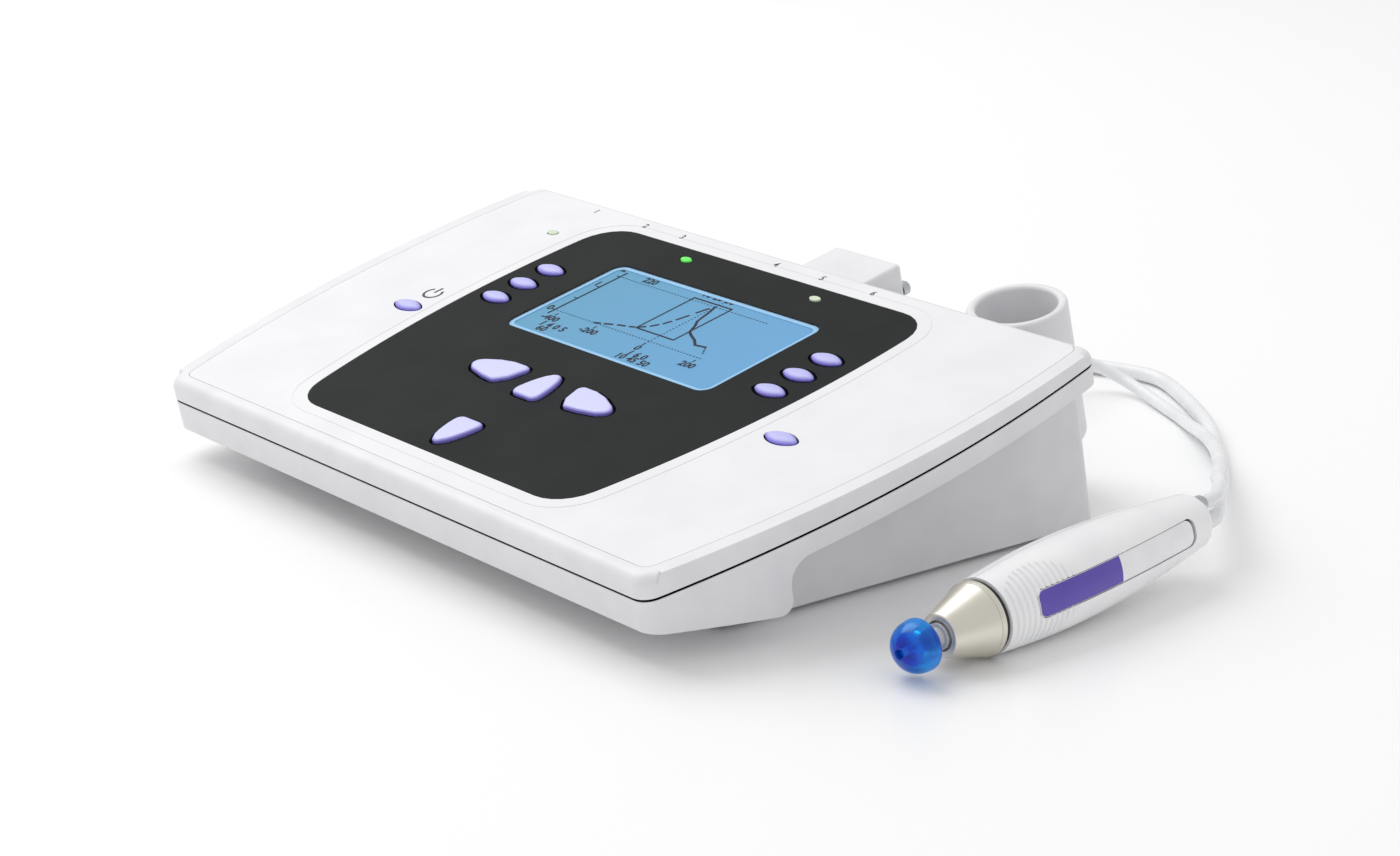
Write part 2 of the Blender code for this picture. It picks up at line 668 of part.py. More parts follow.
def make_top_cover():
    """The white lid: a shallow tray with a pocket for the printed sheets and its screw bosses."""
    outline = case_outline(0.0, 0.0, 0.0, PLAN_CORNER)
    tray = prism(outline, 0.0, cover_bottom, COVER_EDGE_ROUND, 4)
    cover = add_object("top_cover", tray, CONSOLE, WHITE_ABS)
    inside = case_outline(WALL, WALL, WALL, PLAN_CORNER - WALL)
    cut(cover, cutter_prism("cover_inside", inside, COVER_UNDERSIDE, -SEAM_FRONT_DEPTH - OVERRUN))
    pocket = case_outline(OVERLAY_SIDE_INSET - GAP, OVERLAY_FRONT_INSET - GAP, OVERLAY_REAR_INSET - GAP,
                          OVERLAY_CORNER + GAP)
    cut(cover, cutter_prism("overlay_pocket", pocket, OVERRUN, -POCKET_DEPTH))
    cut(cover, cutter_prism("screen_opening", window_outline(-WINDOW_LEDGE), OVERRUN, LCD_TOP))
    cut_key_and_light_holes(cover, COVER_UNDERSIDE, list(KEYS) + list(LIGHTS))
    for name, (u, v) in PILLARS.items():
        boss = rod(PILLAR_RADIUS, KEY_BOARD_TOP + GAP, COVER_UNDERSIDE + WALL / 3, centre=(u, v))
        fuse(cover, add_object("cover_boss_" + name, boss, CONSOLE, cutter=True))
        bore = rod(SCREW_BORE, KEY_BOARD_TOP, COVER_UNDERSIDE - GAP, centre=(u, v), segments=12)
        cut(cover, add_object("cover_bore_" + name, bore, CONSOLE, cutter=True))
    return cover


def make_overlay():
    """The white printed sheet around the dark panel."""
    outline = case_outline(OVERLAY_SIDE_INSET, OVERLAY_FRONT_INSET, OVERLAY_REAR_INSET, OVERLAY_CORNER)
    sheet = add_object("overlay_sheet", prism(outline, 0.0, -SHEET_THICKNESS), CONSOLE, OVERLAY_PRINT)
    cut(sheet, cutter_prism("overlay_panel_hole", panel_outline(GAP), OVERRUN, -OVERRUN))
    cut_key_and_light_holes(sheet, -SHEET_THICKNESS, [n for n in (*KEYS, *LIGHTS) if not on_panel(n)])
    return sheet


def make_panel():
    """The dark keypad sheet, open at the screen and the keys."""
    sheet = add_object("keypad_panel", prism(panel_outline(), 0.0, -SHEET_THICKNESS), CONSOLE, PANEL_PRINT)
    cut(sheet, cutter_prism("panel_window_hole", window_outline(GAP), OVERRUN, -OVERRUN))
    cut_key_and_light_holes(sheet, -SHEET_THICKNESS, [n for n in (*KEYS, *LIGHTS) if on_panel(n)])
    return sheet


def screen_frame_outline(extra=0.0):
    """The screen module's own outline, a margin outside the window."""
    return rectangle(WINDOW_WIDTH + 2 * (LCD_FRAME_SIDE + extra), WINDOW_LENGTH + 2 * (LCD_FRAME_END + extra),
                     0.0, (PANEL_CENTRE_U, WINDOW_CENTRE_V))


def make_screen():
    """The clear window, and the screen module, whose glass rises through the cover to just under it."""
    add_object("display_window", prism(window_outline(), 0.0, -SHEET_THICKNESS), CONSOLE, CLEAR_PLASTIC)
    module = add_object("lcd_module", prism(screen_frame_outline(), LCD_TOP, LCD_BOTTOM), CONSOLE, LCD_BLUE)
    glass = cutter_prism("glass_face", window_outline(-WINDOW_LEDGE - GAP), -SHEET_THICKNESS - GAP,
                         LCD_TOP - SHEET_THICKNESS)
    fuse(module, glass)


def make_keys():
    """The twelve lavender keys, each with a retaining flange under the cover."""
    for name, outline in KEYS.items():
        key = add_object(name, prism(outline, KEY_HEIGHT, FLANGE_TOP - KEY_FLANGE / 2, KEY_EDGE_ROUND, 2),
                         CONSOLE, KEY_SILICONE)
        flange = cutter_prism(name + "_flange", grown(outline, KEY_FLANGE_RIM), FLANGE_TOP, FLANGE_BOTTOM)
        fuse(key, flange)


def make_light_pipes():
    """Three clear ovals that carry the status lights to the surface."""
    for name, place in LIGHTS.items():
        pipe = add_object(name, prism(placed(light_outline(), *place), LIGHT_HEIGHT, -LIGHT_DEPTH,
                                      LIGHT_HEIGHT / 2, 2), CONSOLE, LIGHT_GREEN)
        flange = cutter_prism(name + "_flange", placed(light_outline(LIGHT_FLANGE), *place),
                              FLANGE_TOP, FLANGE_BOTTOM)
        fuse(pipe, flange)


def key_mat_outline():
    """The mat reaches under every key of the dark panel and stops short of the screen frame."""
    half = SOFT_KEY_U + SOFT_KEY_LENGTH / 2 + MAT_MARGIN
    front = NAV_DOWN_BASE_V - NAV_ARCH_LENGTH - MAT_MARGIN
    rear = SOFT_KEY_FIRST_V + SOFT_KEY_WIDTH + MAT_MARGIN
    return rectangle(2 * half, rear - front, WINDOW_CORNER, (SOFT_KEY_CENTRE_U, (front + rear) / 2))


def make_key_electronics():
    """The silicone dome mat and the key board under it, both cut out around the screen frame."""
    hole = screen_frame_outline(KEY_CLEARANCE)
    mat = add_object("key_mat", prism(key_mat_outline(), MAT_TOP, MAT_BOTTOM), CONSOLE, GREY_PLASTIC)
    cut(mat, cutter_prism("mat_screen_hole", hole, OVERRUN, KEY_BOARD_BOTTOM - OVERRUN))
    half_width = PILLAR_U + PILLAR_RADIUS + KEY_BOARD_EDGE
    outline = rectangle(2 * half_width, KEY_BOARD_REAR_V - KEY_BOARD_FRONT_V, WINDOW_CORNER,
                        (0.0, (KEY_BOARD_FRONT_V + KEY_BOARD_REAR_V) / 2))
    board = add_object("key_board", prism(outline, KEY_BOARD_TOP, KEY_BOARD_BOTTOM), CONSOLE, BOARD_GREEN)
    cut(board, cutter_prism("board_screen_hole", hole, OVERRUN, KEY_BOARD_BOTTOM - OVERRUN))
    for name, (u, v) in PILLARS.items():
        bore = rod(SCREW_BORE, KEY_BOARD_BOTTOM - OVERRUN, KEY_BOARD_TOP + OVERRUN, centre=(u, v),
                   segments=12)
        cut(board, add_object("board_bore_" + name, bore, CONSOLE, cutter=True))


def nose_underside(place):
    """The depth of the sloping underside of the nose."""
    share = place.y / NOSE_LENGTH
    return -NOSE_FRONT_DEPTH - (NOSE_REAR_DEPTH - NOSE_FRONT_DEPTH) * share


def nose_outline(inset, radius):
    """The nose's outline: the front stretch of the console."""
    front = inset
    rear = NOSE_LENGTH - inset
    corners = [(case_half_width(front) - inset, front), (case_half_width(rear) - inset, rear),
               (-case_half_width(rear) + inset, rear), (-case_half_width(front) + inset, front)]
    return rounded(corners, [PLAN_CORNER - inset, radius, radius, PLAN_CORNER - inset])


def stand_outline(inset, radius, rear_v=STAND_REAR_V):
    """The stand's outline: a trapezoid under the console, set in from its rim."""
    front = STAND_FRONT_V + inset
    rear = rear_v - inset
    corners = [(STAND_HALF_FRONT - inset, front), (STAND_HALF_REAR - inset, rear),
               (-STAND_HALF_REAR + inset, rear), (-STAND_HALF_FRONT + inset, front)]
    return rounded(corners, [radius] * 4)


BASE_UNDERSIDE = floor_plane(FOOT_HEIGHT)
BASE_INSIDE = floor_plane(FOOT_HEIGHT + FLOOR_THICKNESS)


def port_places():
    """Each port's place across the rear wall and the size of its block."""
    return {"dc_jack": (DC_JACK_U, DC_JACK_SIZE), "usb_port": (USB_PORT_U, USB_PORT_SIZE),
            "printer_port": (PRINTER_PORT_U, PRINTER_PORT_SIZE),
            "probe_socket": (0.0, PROBE_SOCKET_SIZE), "contra_jack": (CONTRA_JACK_U, CONTRA_JACK_SIZE)}


BOARD_TOP = -MAIN_BOARD_DEPTH
BOARD_BOTTOM = BOARD_TOP - BOARD_THICKNESS


def port_centre_depth(size):
    """The middle of a port's block, which stands on the main board."""
    return BOARD_TOP + GAP + size[1] / 2


def add_pillars(case):
    """The four screw pillars, bored from below for the case screws."""
    top = KEY_BOARD_BOTTOM - GAP
    for name, (u, v) in PILLARS.items():
        floor = BASE_INSIDE(Vector((u, v, 0.0)))
        pillar = rod(PILLAR_RADIUS, floor - FLOOR_THICKNESS / 2, top, centre=(u, v))
        fuse(case, add_object("pillar_" + name, pillar, CONSOLE, cutter=True))
        below = floor - FLOOR_THICKNESS - PILLAR_RADIUS
        bore = rod(SCREW_BORE, below, top + OVERRUN, centre=(u, v), segments=12)
        cut(case, add_object("pillar_bore_" + name, bore, CONSOLE, cutter=True))
        head = rod(SCREW_HEAD_BORE, below, top - SCREW_SEAT, centre=(u, v), segments=16)
        cut(case, add_object("pillar_head_bore_" + name, head, CONSOLE, cutter=True))


def add_board_posts(case):
    """Four posts under the main board."""
    for u in (-MAIN_BOARD_POST_U, MAIN_BOARD_POST_U):
        for v in (MAIN_BOARD_POST_FRONT_V, MAIN_BOARD_POST_REAR_V):
            floor = BASE_INSIDE(Vector((u, v, 0.0)))
            post = rod(MAIN_BOARD_POST, floor - FLOOR_THICKNESS / 2, BOARD_BOTTOM - GAP, centre=(u, v),
                       segments=16)
            fuse(case, add_object("board_post_" + str(round(u / MM)) + "_" + str(round(v / MM)), post,
                                  CONSOLE, cutter=True))


def add_pump_seat(case):
    """A block on the floor of the case that carries the pump."""
    low = BASE_INSIDE(Vector((PUMP_U, PUMP_V, 0.0))) - FLOOR_THICKNESS / 2
    top = -PUMP_AXIS_DEPTH - PUMP_HEAD_SIZE[2] / 2 - GAP
    width = PUMP_HEAD_SIZE[0] - CRADLE_WALL
    seat = block((width, PUMP_HEAD_SIZE[1] / 2, top - low), (PUMP_U, PUMP_V, (top + low) / 2))
    fuse(case, add_object("seat_pump", seat, CONSOLE, cutter=True))


def cut_rear_openings(case):
    """The openings of the rear wall, each a clearance larger than its port."""
    wall_v = STAND_REAR_V - WALL / 2
    for name, (u, size) in port_places().items():
        opening = block((size[0] + 2 * GAP, 3 * WALL, size[1] + 2 * GAP),
                        (u, wall_v, port_centre_depth(size)))
        cut(case, add_object("opening_" + name, opening, CONSOLE, cutter=True))
    opening = rod(AIR_PORT_RADIUS + GAP, wall_v - 2 * WALL, wall_v + 2 * WALL, 'Y',
                  (AIR_PORT_U, -PORT_AXIS_DEPTH))
    cut(case, add_object("opening_air_port", opening, CONSOLE, cutter=True))


def cut_underside(case):
    """Recesses of the feet."""
    for name, (x, y) in foot_places().items():
        recess = rod(FOOT_RADIUS + GAP, FOOT_HEIGHT - OVERRUN, FOOT_HEIGHT + FOOT_RECESS, centre=(x, y))
        cut(case, add_object("recess_" + name, recess, ROOT, cutter=True))


def foot_places():
    """The four feet, near the corners of the stand."""
    u = STAND_HALF_FRONT - FOOT_INSET_U
    return {"foot_front_left": (-u, FOOT_FRONT_Y), "foot_front_right": (u, FOOT_FRONT_Y),
            "foot_rear_left": (-u, FOOT_REAR_Y), "foot_rear_right": (u, FOOT_REAR_Y)}


def make_bottom_case():
    """The lower housing: a rim band, a nose that rises to the front and a stand set in from the rim."""
    rim = case_outline(0.0, 0.0, 0.0, PLAN_CORNER)
    case = add_object("bottom_case", prism(rim, case_top, band_bottom), CONSOLE, WHITE_ABS)
    overlap = lambda place: band_bottom(place) + WALL
    fuse(case, cutter_prism("nose_shape", nose_outline(GAP, NOSE_CORNER), overlap, nose_underside))
    fuse(case, cutter_prism("stand_shape", stand_outline(0.0, STAND_CORNER), overlap, BASE_UNDERSIDE))
    inside = case_outline(WALL, WALL, WALL, PLAN_CORNER - WALL)
    cut(case, cutter_prism("rim_inside", inside, OVERRUN, lambda place: band_bottom(place) + FLOOR_THICKNESS))
    cut(case, cutter_prism("nose_inside", nose_outline(WALL + GAP, NOSE_CORNER), OVERRUN,
                           lambda place: nose_underside(place) + FLOOR_THICKNESS))
    cut(case, cutter_prism("stand_inside", stand_outline(WALL, STAND_CORNER),
                           lambda place: band_bottom(place) + GAP, BASE_INSIDE))
    throat = stand_outline(WALL, STAND_CORNER, CASE_LENGTH)
    cut(case, cutter_prism("stand_throat", throat, OVERRUN * 2, lambda place: band_bottom(place) - OVERRUN))
    add_pillars(case)
    add_board_posts(case)
    add_pump_seat(case)
    cut_rear_openings(case)
    cut_underside(case)
    return case


def make_case_screws():
    """Four pan-head screws that hold the two housings and the key board together."""
    seat = KEY_BOARD_BOTTOM - GAP - SCREW_SEAT - GAP
    tip = KEY_BOARD_TOP + SCREW_REACH
    for name, (u, v) in PILLARS.items():
        screw = add_object("case_screw_" + name, rod(SCREW_SHANK, seat - SCREW_HEAD_HEIGHT / 2, tip,
                                                     segments=12), CONSOLE, STEEL, (u, v, 0.0))
        head = rod(SCREW_HEAD, seat - SCREW_HEAD_HEIGHT, seat, segments=16)
        fuse(screw, add_object("case_screw_head_" + name, head, CONSOLE, place=(u, v, 0.0), cutter=True))


def make_feet():
    """Four rubber feet, half sunk into the underside."""
    for name, (x, y) in foot_places().items():
        foot = rod(FOOT_RADIUS, -FOOT_HEIGHT, FOOT_RECESS - GAP, end_radius=FOOT_RADIUS)
        add_object(name, foot, ROOT, BLACK_RUBBER, (x, y, FOOT_HEIGHT))


def make_main_board():
    """The main board, with the air valve and the pressure sensor soldered to it."""
    rear = STAND_REAR_V - WALL - KEY_CLEARANCE
    half_width = PILLAR_U + PILLAR_RADIUS + MAIN_BOARD_EDGE
    outline = rectangle(2 * half_width, rear - MAIN_BOARD_FRONT_V, WINDOW_CORNER,
                        (0.0, (rear + MAIN_BOARD_FRONT_V) / 2))
    board = add_object("main_board", prism(outline, BOARD_TOP, BOARD_BOTTOM), CONSOLE, BOARD_GREEN)
    for side in (-1, 1):
        notch = rod(PILLAR_RADIUS + KEY_CLEARANCE, BOARD_BOTTOM - OVERRUN, BOARD_TOP + OVERRUN,
                    centre=(side * PILLAR_U, PILLAR_REAR_V))
        cut(board, add_object("board_notch_" + str(side), notch, CONSOLE, cutter=True))
    for name, size, u, v in (("air_valve", VALVE_SIZE, VALVE_U, VALVE_V),
                             ("pressure_sensor", SENSOR_SIZE, SENSOR_U, SENSOR_V)):
        middle = (BOARD_TOP + size[2] + BOARD_BOTTOM + BOARD_THICKNESS / 2) / 2
        height = BOARD_TOP + size[2] - BOARD_BOTTOM - BOARD_THICKNESS / 2
        fuse(board, add_object(name, block((size[0], size[1], height), (u, v, middle)), CONSOLE, cutter=True))


def port_block(name, finish, u, size):
    """A port's block, its mouth flush with the outside of the rear wall."""
    centre = (u, STAND_REAR_V - PORT_LENGTH / 2, port_centre_depth(size))
    return add_object(name, block((size[0], PORT_LENGTH, size[1]), centre), CONSOLE, finish)


def make_ports():
    """The sockets of the rear wall."""
    rear = STAND_REAR_V
    depth = port_centre_depth(DC_JACK_SIZE)
    jack = port_block("dc_jack", BLACK_PLASTIC, DC_JACK_U, DC_JACK_SIZE)
    bore = rod(DC_JACK_BORE, rear - SOCKET_DEPTH, rear + OVERRUN, 'Y', (DC_JACK_U, depth))
    cut(jack, add_object("dc_jack_bore", bore, CONSOLE, cutter=True))
    pin = rod(DC_JACK_PIN, rear - SOCKET_DEPTH - OVERRUN, rear - OVERRUN, 'Y', (DC_JACK_U, depth), 12)
    fuse(jack, add_object("dc_jack_pin", pin, CONSOLE, cutter=True))

    depth = port_centre_depth(USB_PORT_SIZE)
    port = port_block("usb_port", STEEL, USB_PORT_U, USB_PORT_SIZE)
    mouth = block((USB_SOCKET_SIZE[0], 2 * SOCKET_DEPTH, USB_SOCKET_SIZE[1]), (USB_PORT_U, rear, depth))
    cut(port, add_object("usb_mouth", mouth, CONSOLE, cutter=True))
    tongue = block((USB_TONGUE_SIZE[0], SOCKET_DEPTH, USB_TONGUE_SIZE[1]),
                   (USB_PORT_U, rear - SOCKET_DEPTH / 2 - OVERRUN, depth))
    fuse(port, add_object("usb_tongue", tongue, CONSOLE, cutter=True))

    depth = port_centre_depth(PRINTER_PORT_SIZE)
    port = port_block("printer_port", BLACK_PLASTIC, PRINTER_PORT_U, PRINTER_PORT_SIZE)
    bore = rod(PRINTER_PORT_BORE, rear - SOCKET_DEPTH, rear + OVERRUN, 'Y', (PRINTER_PORT_U, depth))
    cut(port, add_object("printer_port_bore", bore, CONSOLE, cutter=True))

    depth = port_centre_depth(CONTRA_JACK_SIZE)
    jack = port_block("contra_jack", BLACK_PLASTIC, CONTRA_JACK_U, CONTRA_JACK_SIZE)
    bush = rod(CONTRA_BUSH_RADIUS, rear - OVERRUN, rear + CONTRA_BUSH_LENGTH, 'Y', (CONTRA_JACK_U, depth))
    fuse(jack, add_object("contra_jack_bush", bush, CONSOLE, cutter=True))
    bore = rod(CONTRA_JACK_BORE, rear - SOCKET_DEPTH, rear + 2 * CONTRA_BUSH_LENGTH, 'Y',
               (CONTRA_JACK_U, depth))
    cut(jack, add_object("contra_jack_bore", bore, CONSOLE, cutter=True))


def make_air_port():
    """The air nipple: a flange inside the wall, a collar through it and a spigot outside."""
    inner = STAND_REAR_V - WALL - GAP
    outer = STAND_REAR_V
    tip = outer + AIR_NIPPLE_LENGTH
    back = inner - AIR_PORT_FLANGE_LENGTH
    profile = [(back, AIR_NIPPLE_BORE), (back, AIR_PORT_FLANGE), (inner, AIR_PORT_FLANGE),
               (inner, AIR_PORT_RADIUS), (outer, AIR_PORT_RADIUS), (outer, AIR_NIPPLE_RADIUS),
               (tip, AIR_NIPPLE_RADIUS), (tip, AIR_NIPPLE_BORE)]
    bm = turned(profile, 24)
    turn_to_slope(bm)
    add_object("air_port", bm, CONSOLE, METAL, (AIR_PORT_U, 0.0, -PORT_AXIS_DEPTH))


def turn_to_slope(bm):
    """Lay a turned shape, made along X, along the slope (Y)."""
    bmesh.ops.rotate(bm, cent=(0.0, 0.0, 0.0), matrix=Matrix.Rotation(math.pi / 2, 3, 'Z'), verts=bm.verts[:])


AIR_PLUG_START = STAND_REAR_V + GAP
AIR_PLUG_LENGTH = 14.0 * MM
AIR_PLUG_RADIUS = 3.8 * MM


def make_air_plug():
    """The sleeve on the air tube's end, pushed over the nipple."""
    start = AIR_PLUG_START
    end = start + AIR_PLUG_LENGTH
    bore_end = STAND_REAR_V + AIR_NIPPLE_LENGTH + GAP
    profile = [(start, AIR_NIPPLE_RADIUS + GAP), (start, AIR_PLUG_RADIUS),
               (end - AIR_PLUG_RADIUS, AIR_PLUG_RADIUS), (end, TUBE_RADIUS + GAP), (end, AIR_NIPPLE_BORE),
               (bore_end, AIR_NIPPLE_BORE), (bore_end, AIR_NIPPLE_RADIUS + GAP)]
    bm = turned(profile, 24)
    turn_to_slope(bm)
    add_object("air_plug", bm, CONSOLE, GREY_PLASTIC, (AIR_PORT_U, 0.0, -PORT_AXIS_DEPTH))


HOOD_START = STAND_REAR_V + GAP
HOOD_END = HOOD_START + HOOD_LENGTH


def make_probe_plug():
    """The probe's socket on the wall, and the plug on it: a hood with its boot, and two thumb screws."""
    depth = port_centre_depth(PROBE_SOCKET_SIZE)
    socket = port_block("probe_socket", BLACK_PLASTIC, 0.0, PROBE_SOCKET_SIZE)
    nose_v = STAND_REAR_V + PROBE_SOCKET_NOSE_LENGTH / 2 - OVERRUN / 2
    nose = block((PROBE_SOCKET_NOSE[0], PROBE_SOCKET_NOSE_LENGTH + OVERRUN, PROBE_SOCKET_NOSE[1]),
                 (0.0, nose_v, depth))
    fuse(socket, add_object("probe_socket_nose", nose, CONSOLE, cutter=True))

    rear = HOOD_END
    outline = rounded([(-HOOD_HALF_WIDTH, HOOD_START), (HOOD_HALF_WIDTH, HOOD_START),
                       (HOOD_HALF_WIDTH, rear), (-HOOD_HALF_WIDTH, rear)],
                      [0.0, 0.0, HOOD_EDGE_ROUND, HOOD_EDGE_ROUND])
    shell = prism(outline, -HOOD_TOP_DEPTH, -HOOD_BOTTOM_DEPTH, HOOD_EDGE_ROUND, 3)
    hood = add_object("probe_plug_hood", shell, CONSOLE, WHITE_ABS)
    mouth = block((PROBE_SOCKET_NOSE[0] + 2 * GAP, 2 * (PROBE_SOCKET_NOSE_LENGTH + GAP),
                   PROBE_SOCKET_NOSE[1] + 2 * GAP), (0.0, STAND_REAR_V, depth))
    cut(hood, add_object("plug_mouth", mouth, CONSOLE, cutter=True))
    boot = rod(LEAD_RADIUS + GAP, -HOOD_BOTTOM_DEPTH - PLUG_BOOT_LENGTH, OVERRUN - HOOD_BOTTOM_DEPTH,
               end_radius=2 * LEAD_RADIUS)
    fuse(hood, add_object("plug_boot", boot, CONSOLE, place=(0.0, PLUG_BOOT_V, 0.0), cutter=True))

    for name, side in (("left", -1), ("right", 1)):
        u = side * THUMB_SCREW_U
        channel = rod(THUMB_SCREW_RADIUS + GAP, HOOD_START - OVERRUN, rear + OVERRUN, 'Y', (u, depth), 16)
        cut(hood, add_object("screw_channel_" + name, channel, CONSOLE, cutter=True))
        shank = rod(THUMB_SCREW_RADIUS, HOOD_START, rear + THUMB_HEAD_LENGTH / 2, 'Y', segments=16)
        screw = add_object("plug_screw_" + name, shank, CONSOLE, STEEL, (u, 0.0, depth))
        head = rod(THUMB_HEAD_RADIUS, rear + GAP, rear + GAP + THUMB_HEAD_LENGTH, 'Y', segments=16)
        fuse(screw, add_object("plug_screw_head_" + name, head, CONSOLE, place=(u, 0.0, depth), cutter=True))


def make_probe_cup():
    """The cup on the rear wall that holds the probe when it isn't in use."""
    radius = CUP_INNER_RADIUS + CUP_WALL
    top = -CUP_TOP_DEPTH
    bottom = top - CUP_LENGTH
    outside = rod(radius + CUP_DRAFT, bottom, top, segments=CUP_SEGMENTS, end_radius=radius)
    cup = add_object("probe_cup", outside, CONSOLE, WHITE_ABS, (CUP_U, CUP_V, 0.0))
    flange_front = STAND_REAR_V + GAP - CUP_V
    flange_top = -SEAM_REAR_DEPTH - BAND_HEIGHT - GAP
    flange = block((CUP_FLANGE_WIDTH, CUP_FLANGE_THICKNESS, flange_top - bottom),
                   (0.0, flange_front + CUP_FLANGE_THICKNESS / 2, (flange_top + bottom) / 2))
    fuse(cup, add_object("cup_flange", flange, CONSOLE, place=(CUP_U, CUP_V, 0.0), cutter=True))
    trim = block((4 * radius, radius, 2 * CUP_LENGTH), (0.0, flange_front - radius / 2, (top + bottom) / 2))
    cut(cup, add_object("cup_trim", trim, CONSOLE, place=(CUP_U, CUP_V, 0.0), cutter=True))
    hollow = rod(CUP_INNER_RADIUS, bottom + CUP_FLOOR, top + OVERRUN, segments=CUP_SEGMENTS)
    cut(cup, add_object("cup_hollow", hollow, CONSOLE, place=(CUP_U, CUP_V, 0.0), cutter=True))
    return cup


def make_air_system():
    """The pump, a head with its crank chamber and a motor behind it, and the crank that turns inside."""
    centre = (PUMP_U, PUMP_V, -PUMP_AXIS_DEPTH)
    pump = add_object("air_pump", block(PUMP_HEAD_SIZE), CONSOLE, GREY_PLASTIC, centre)
    chamber_end = PUMP_HEAD_SIZE[0] / 2 - WALL
    motor_end = chamber_end - PUMP_CAM_LENGTH - 2 * GAP
    chamber = rod(PUMP_CHAMBER, motor_end, PUMP_HEAD_SIZE[0] / 2 + OVERRUN, 'X')
    cut(pump, add_object("pump_chamber", chamber, CONSOLE, place=centre, cutter=True))
    motor = rod(PUMP_MOTOR_RADIUS - GAP, -PUMP_HEAD_SIZE[0] / 2 - PUMP_MOTOR_LENGTH,
                OVERRUN - PUMP_HEAD_SIZE[0] / 2, 'X', segments=28)
    fuse(pump, add_object("pump_motor", motor, CONSOLE, place=centre, cutter=True))
    bearing = rod(PUMP_SHAFT_RADIUS + PUMP_SHAFT_CLEARANCE, motor_end - PUMP_SHAFT_LENGTH - GAP,
                  motor_end + OVERRUN, 'X', segments=24)
    cut(pump, add_object("pump_bearing", bearing, CONSOLE, place=centre, cutter=True))
    shaft = rod(PUMP_SHAFT_RADIUS, motor_end - PUMP_SHAFT_LENGTH, motor_end + PUMP_CAM_LENGTH / 2, 'X',
                segments=24)
    crank = add_object("pump_crank", shaft, CONSOLE, STEEL, centre)
    cam = rod(PUMP_CAM_RADIUS, motor_end + GAP, motor_end + PUMP_CAM_LENGTH, 'X', (0.0, PUMP_CAM_OFFSET))
    fuse(crank, add_object("pump_cam", cam, CONSOLE, place=centre, cutter=True))


def smooth_route(points, count, end=None):
    """Read evenly spaced points from a centripetal Catmull-Rom curve through a route's own points."""
    nodes = [Vector(p) for p in points]
    first = nodes[0] * 2 - nodes[1]
    last = Vector(end) if end else nodes[-1] * 2 - nodes[-2]
    chain = [first] + nodes + [last]
    dense = []
    for index in range(1, len(chain) - 2):
        p0, p1, p2, p3 = chain[index - 1:index + 3]
        k0 = 0.0
        k1 = k0 + math.sqrt((p1 - p0).length)
        k2 = k1 + math.sqrt((p2 - p1).length)
        k3 = k2 + math.sqrt((p3 - p2).length)
        for step in range(12):
            k = k1 + (k2 - k1) * step / 12
            a1 = p0 * ((k1 - k) / (k1 - k0)) + p1 * ((k - k0) / (k1 - k0))
            a2 = p1 * ((k2 - k) / (k2 - k1)) + p2 * ((k - k1) / (k2 - k1))
            a3 = p2 * ((k3 - k) / (k3 - k2)) + p3 * ((k - k2) / (k3 - k2))
            b1 = a1 * ((k2 - k) / (k2 - k0)) + a2 * ((k - k0) / (k2 - k0))
            b2 = a2 * ((k3 - k) / (k3 - k1)) + a3 * ((k - k1) / (k3 - k1))
            dense.append(b1 * ((k2 - k) / (k2 - k1)) + b2 * ((k - k1) / (k2 - k1)))
    dense.append(nodes[-1])
    return evenly(dense, count)


def evenly(dense, count):
    """Pick points at even steps of length along a dense line."""
    lengths = [0.0]
    for a, b in zip(dense, dense[1:]):
        lengths.append(lengths[-1] + (b - a).length)
    result = []
    index = 0
    for step in range(count):
        target = lengths[-1] * step / (count - 1)
        while index < len(dense) - 2 and lengths[index + 1] < target:
            index += 1
        span = lengths[index + 1] - lengths[index]
        result.append(dense[index].lerp(dense[index + 1], (target - lengths[index]) / span))
    return result


def make_cord(name, route, radius, count, end=None):
    """A cord's tube along its route; it heads for the end point as it finishes."""
    curve = bpy.data.curves.new(name, 'CURVE')
    curve.dimensions = '3D'
    curve.bevel_depth = radius
    curve.bevel_resolution = 2
    curve.use_fill_caps = True
    points = smooth_route(route, count, end)
    spline = curve.splines.new('POLY')
    spline.points.add(len(points) - 1)
    for point, place in zip(spline.points, points):
        point.co = (*place, 1.0)
    cord = bpy.data.objects.new(name, curve)
    cord.parent = ROOT
    PARTS.objects.link(cord)
    curve.materials.append(LEAD_GREY)
    return cord


def make_coil(name, centre, radius, cord_radius, turns):
    """The outer shape of a coil of cord: a turned ring that stands on the table."""
    low = CORD_FLOOR_GAP
    high = low + 2 * cord_radius * (1 + COIL_PITCH_SHARE * turns)
    inner = radius - cord_radius
    outer = radius + cord_radius
    edge = cord_radius / 2
    profile = [(low, inner + edge), (low, outer - edge), (low + edge, outer), (high - edge, outer),
               (high, outer - edge), (high, inner + edge), (high - edge, inner), (low + edge, inner)]
    bm = turned(profile, COIL_SEGMENTS)
    upright = Matrix.Rotation(-math.pi / 2, 3, 'Y')
    bmesh.ops.rotate(bm, cent=(0.0, 0.0, 0.0), matrix=upright, verts=bm.verts[:])
    add_object(name, bm, ROOT, LEAD_GREY, (*centre, 0.0))


def console_point(u, v, w):
    """A place of the console's frame, in the root's frame."""
    return Vector((u, v * COSINE - w * SINE - CASE_DEPTH / 2, FRONT_TOP_HEIGHT + v * SINE + w * COSINE))


def probe_point(along, side, up):
    """A place of the probe's frame, in the root's frame."""
    turn = (Matrix.Rotation(PROBE_HEADING, 3, 'Z') @ Matrix.Rotation(-PROBE_LIFT, 3, 'Y')
            @ Matrix.Rotation(-PROBE_ROLL, 3, 'X'))
    return Vector(PROBE_PLACE) + turn @ Vector((along, side, up))


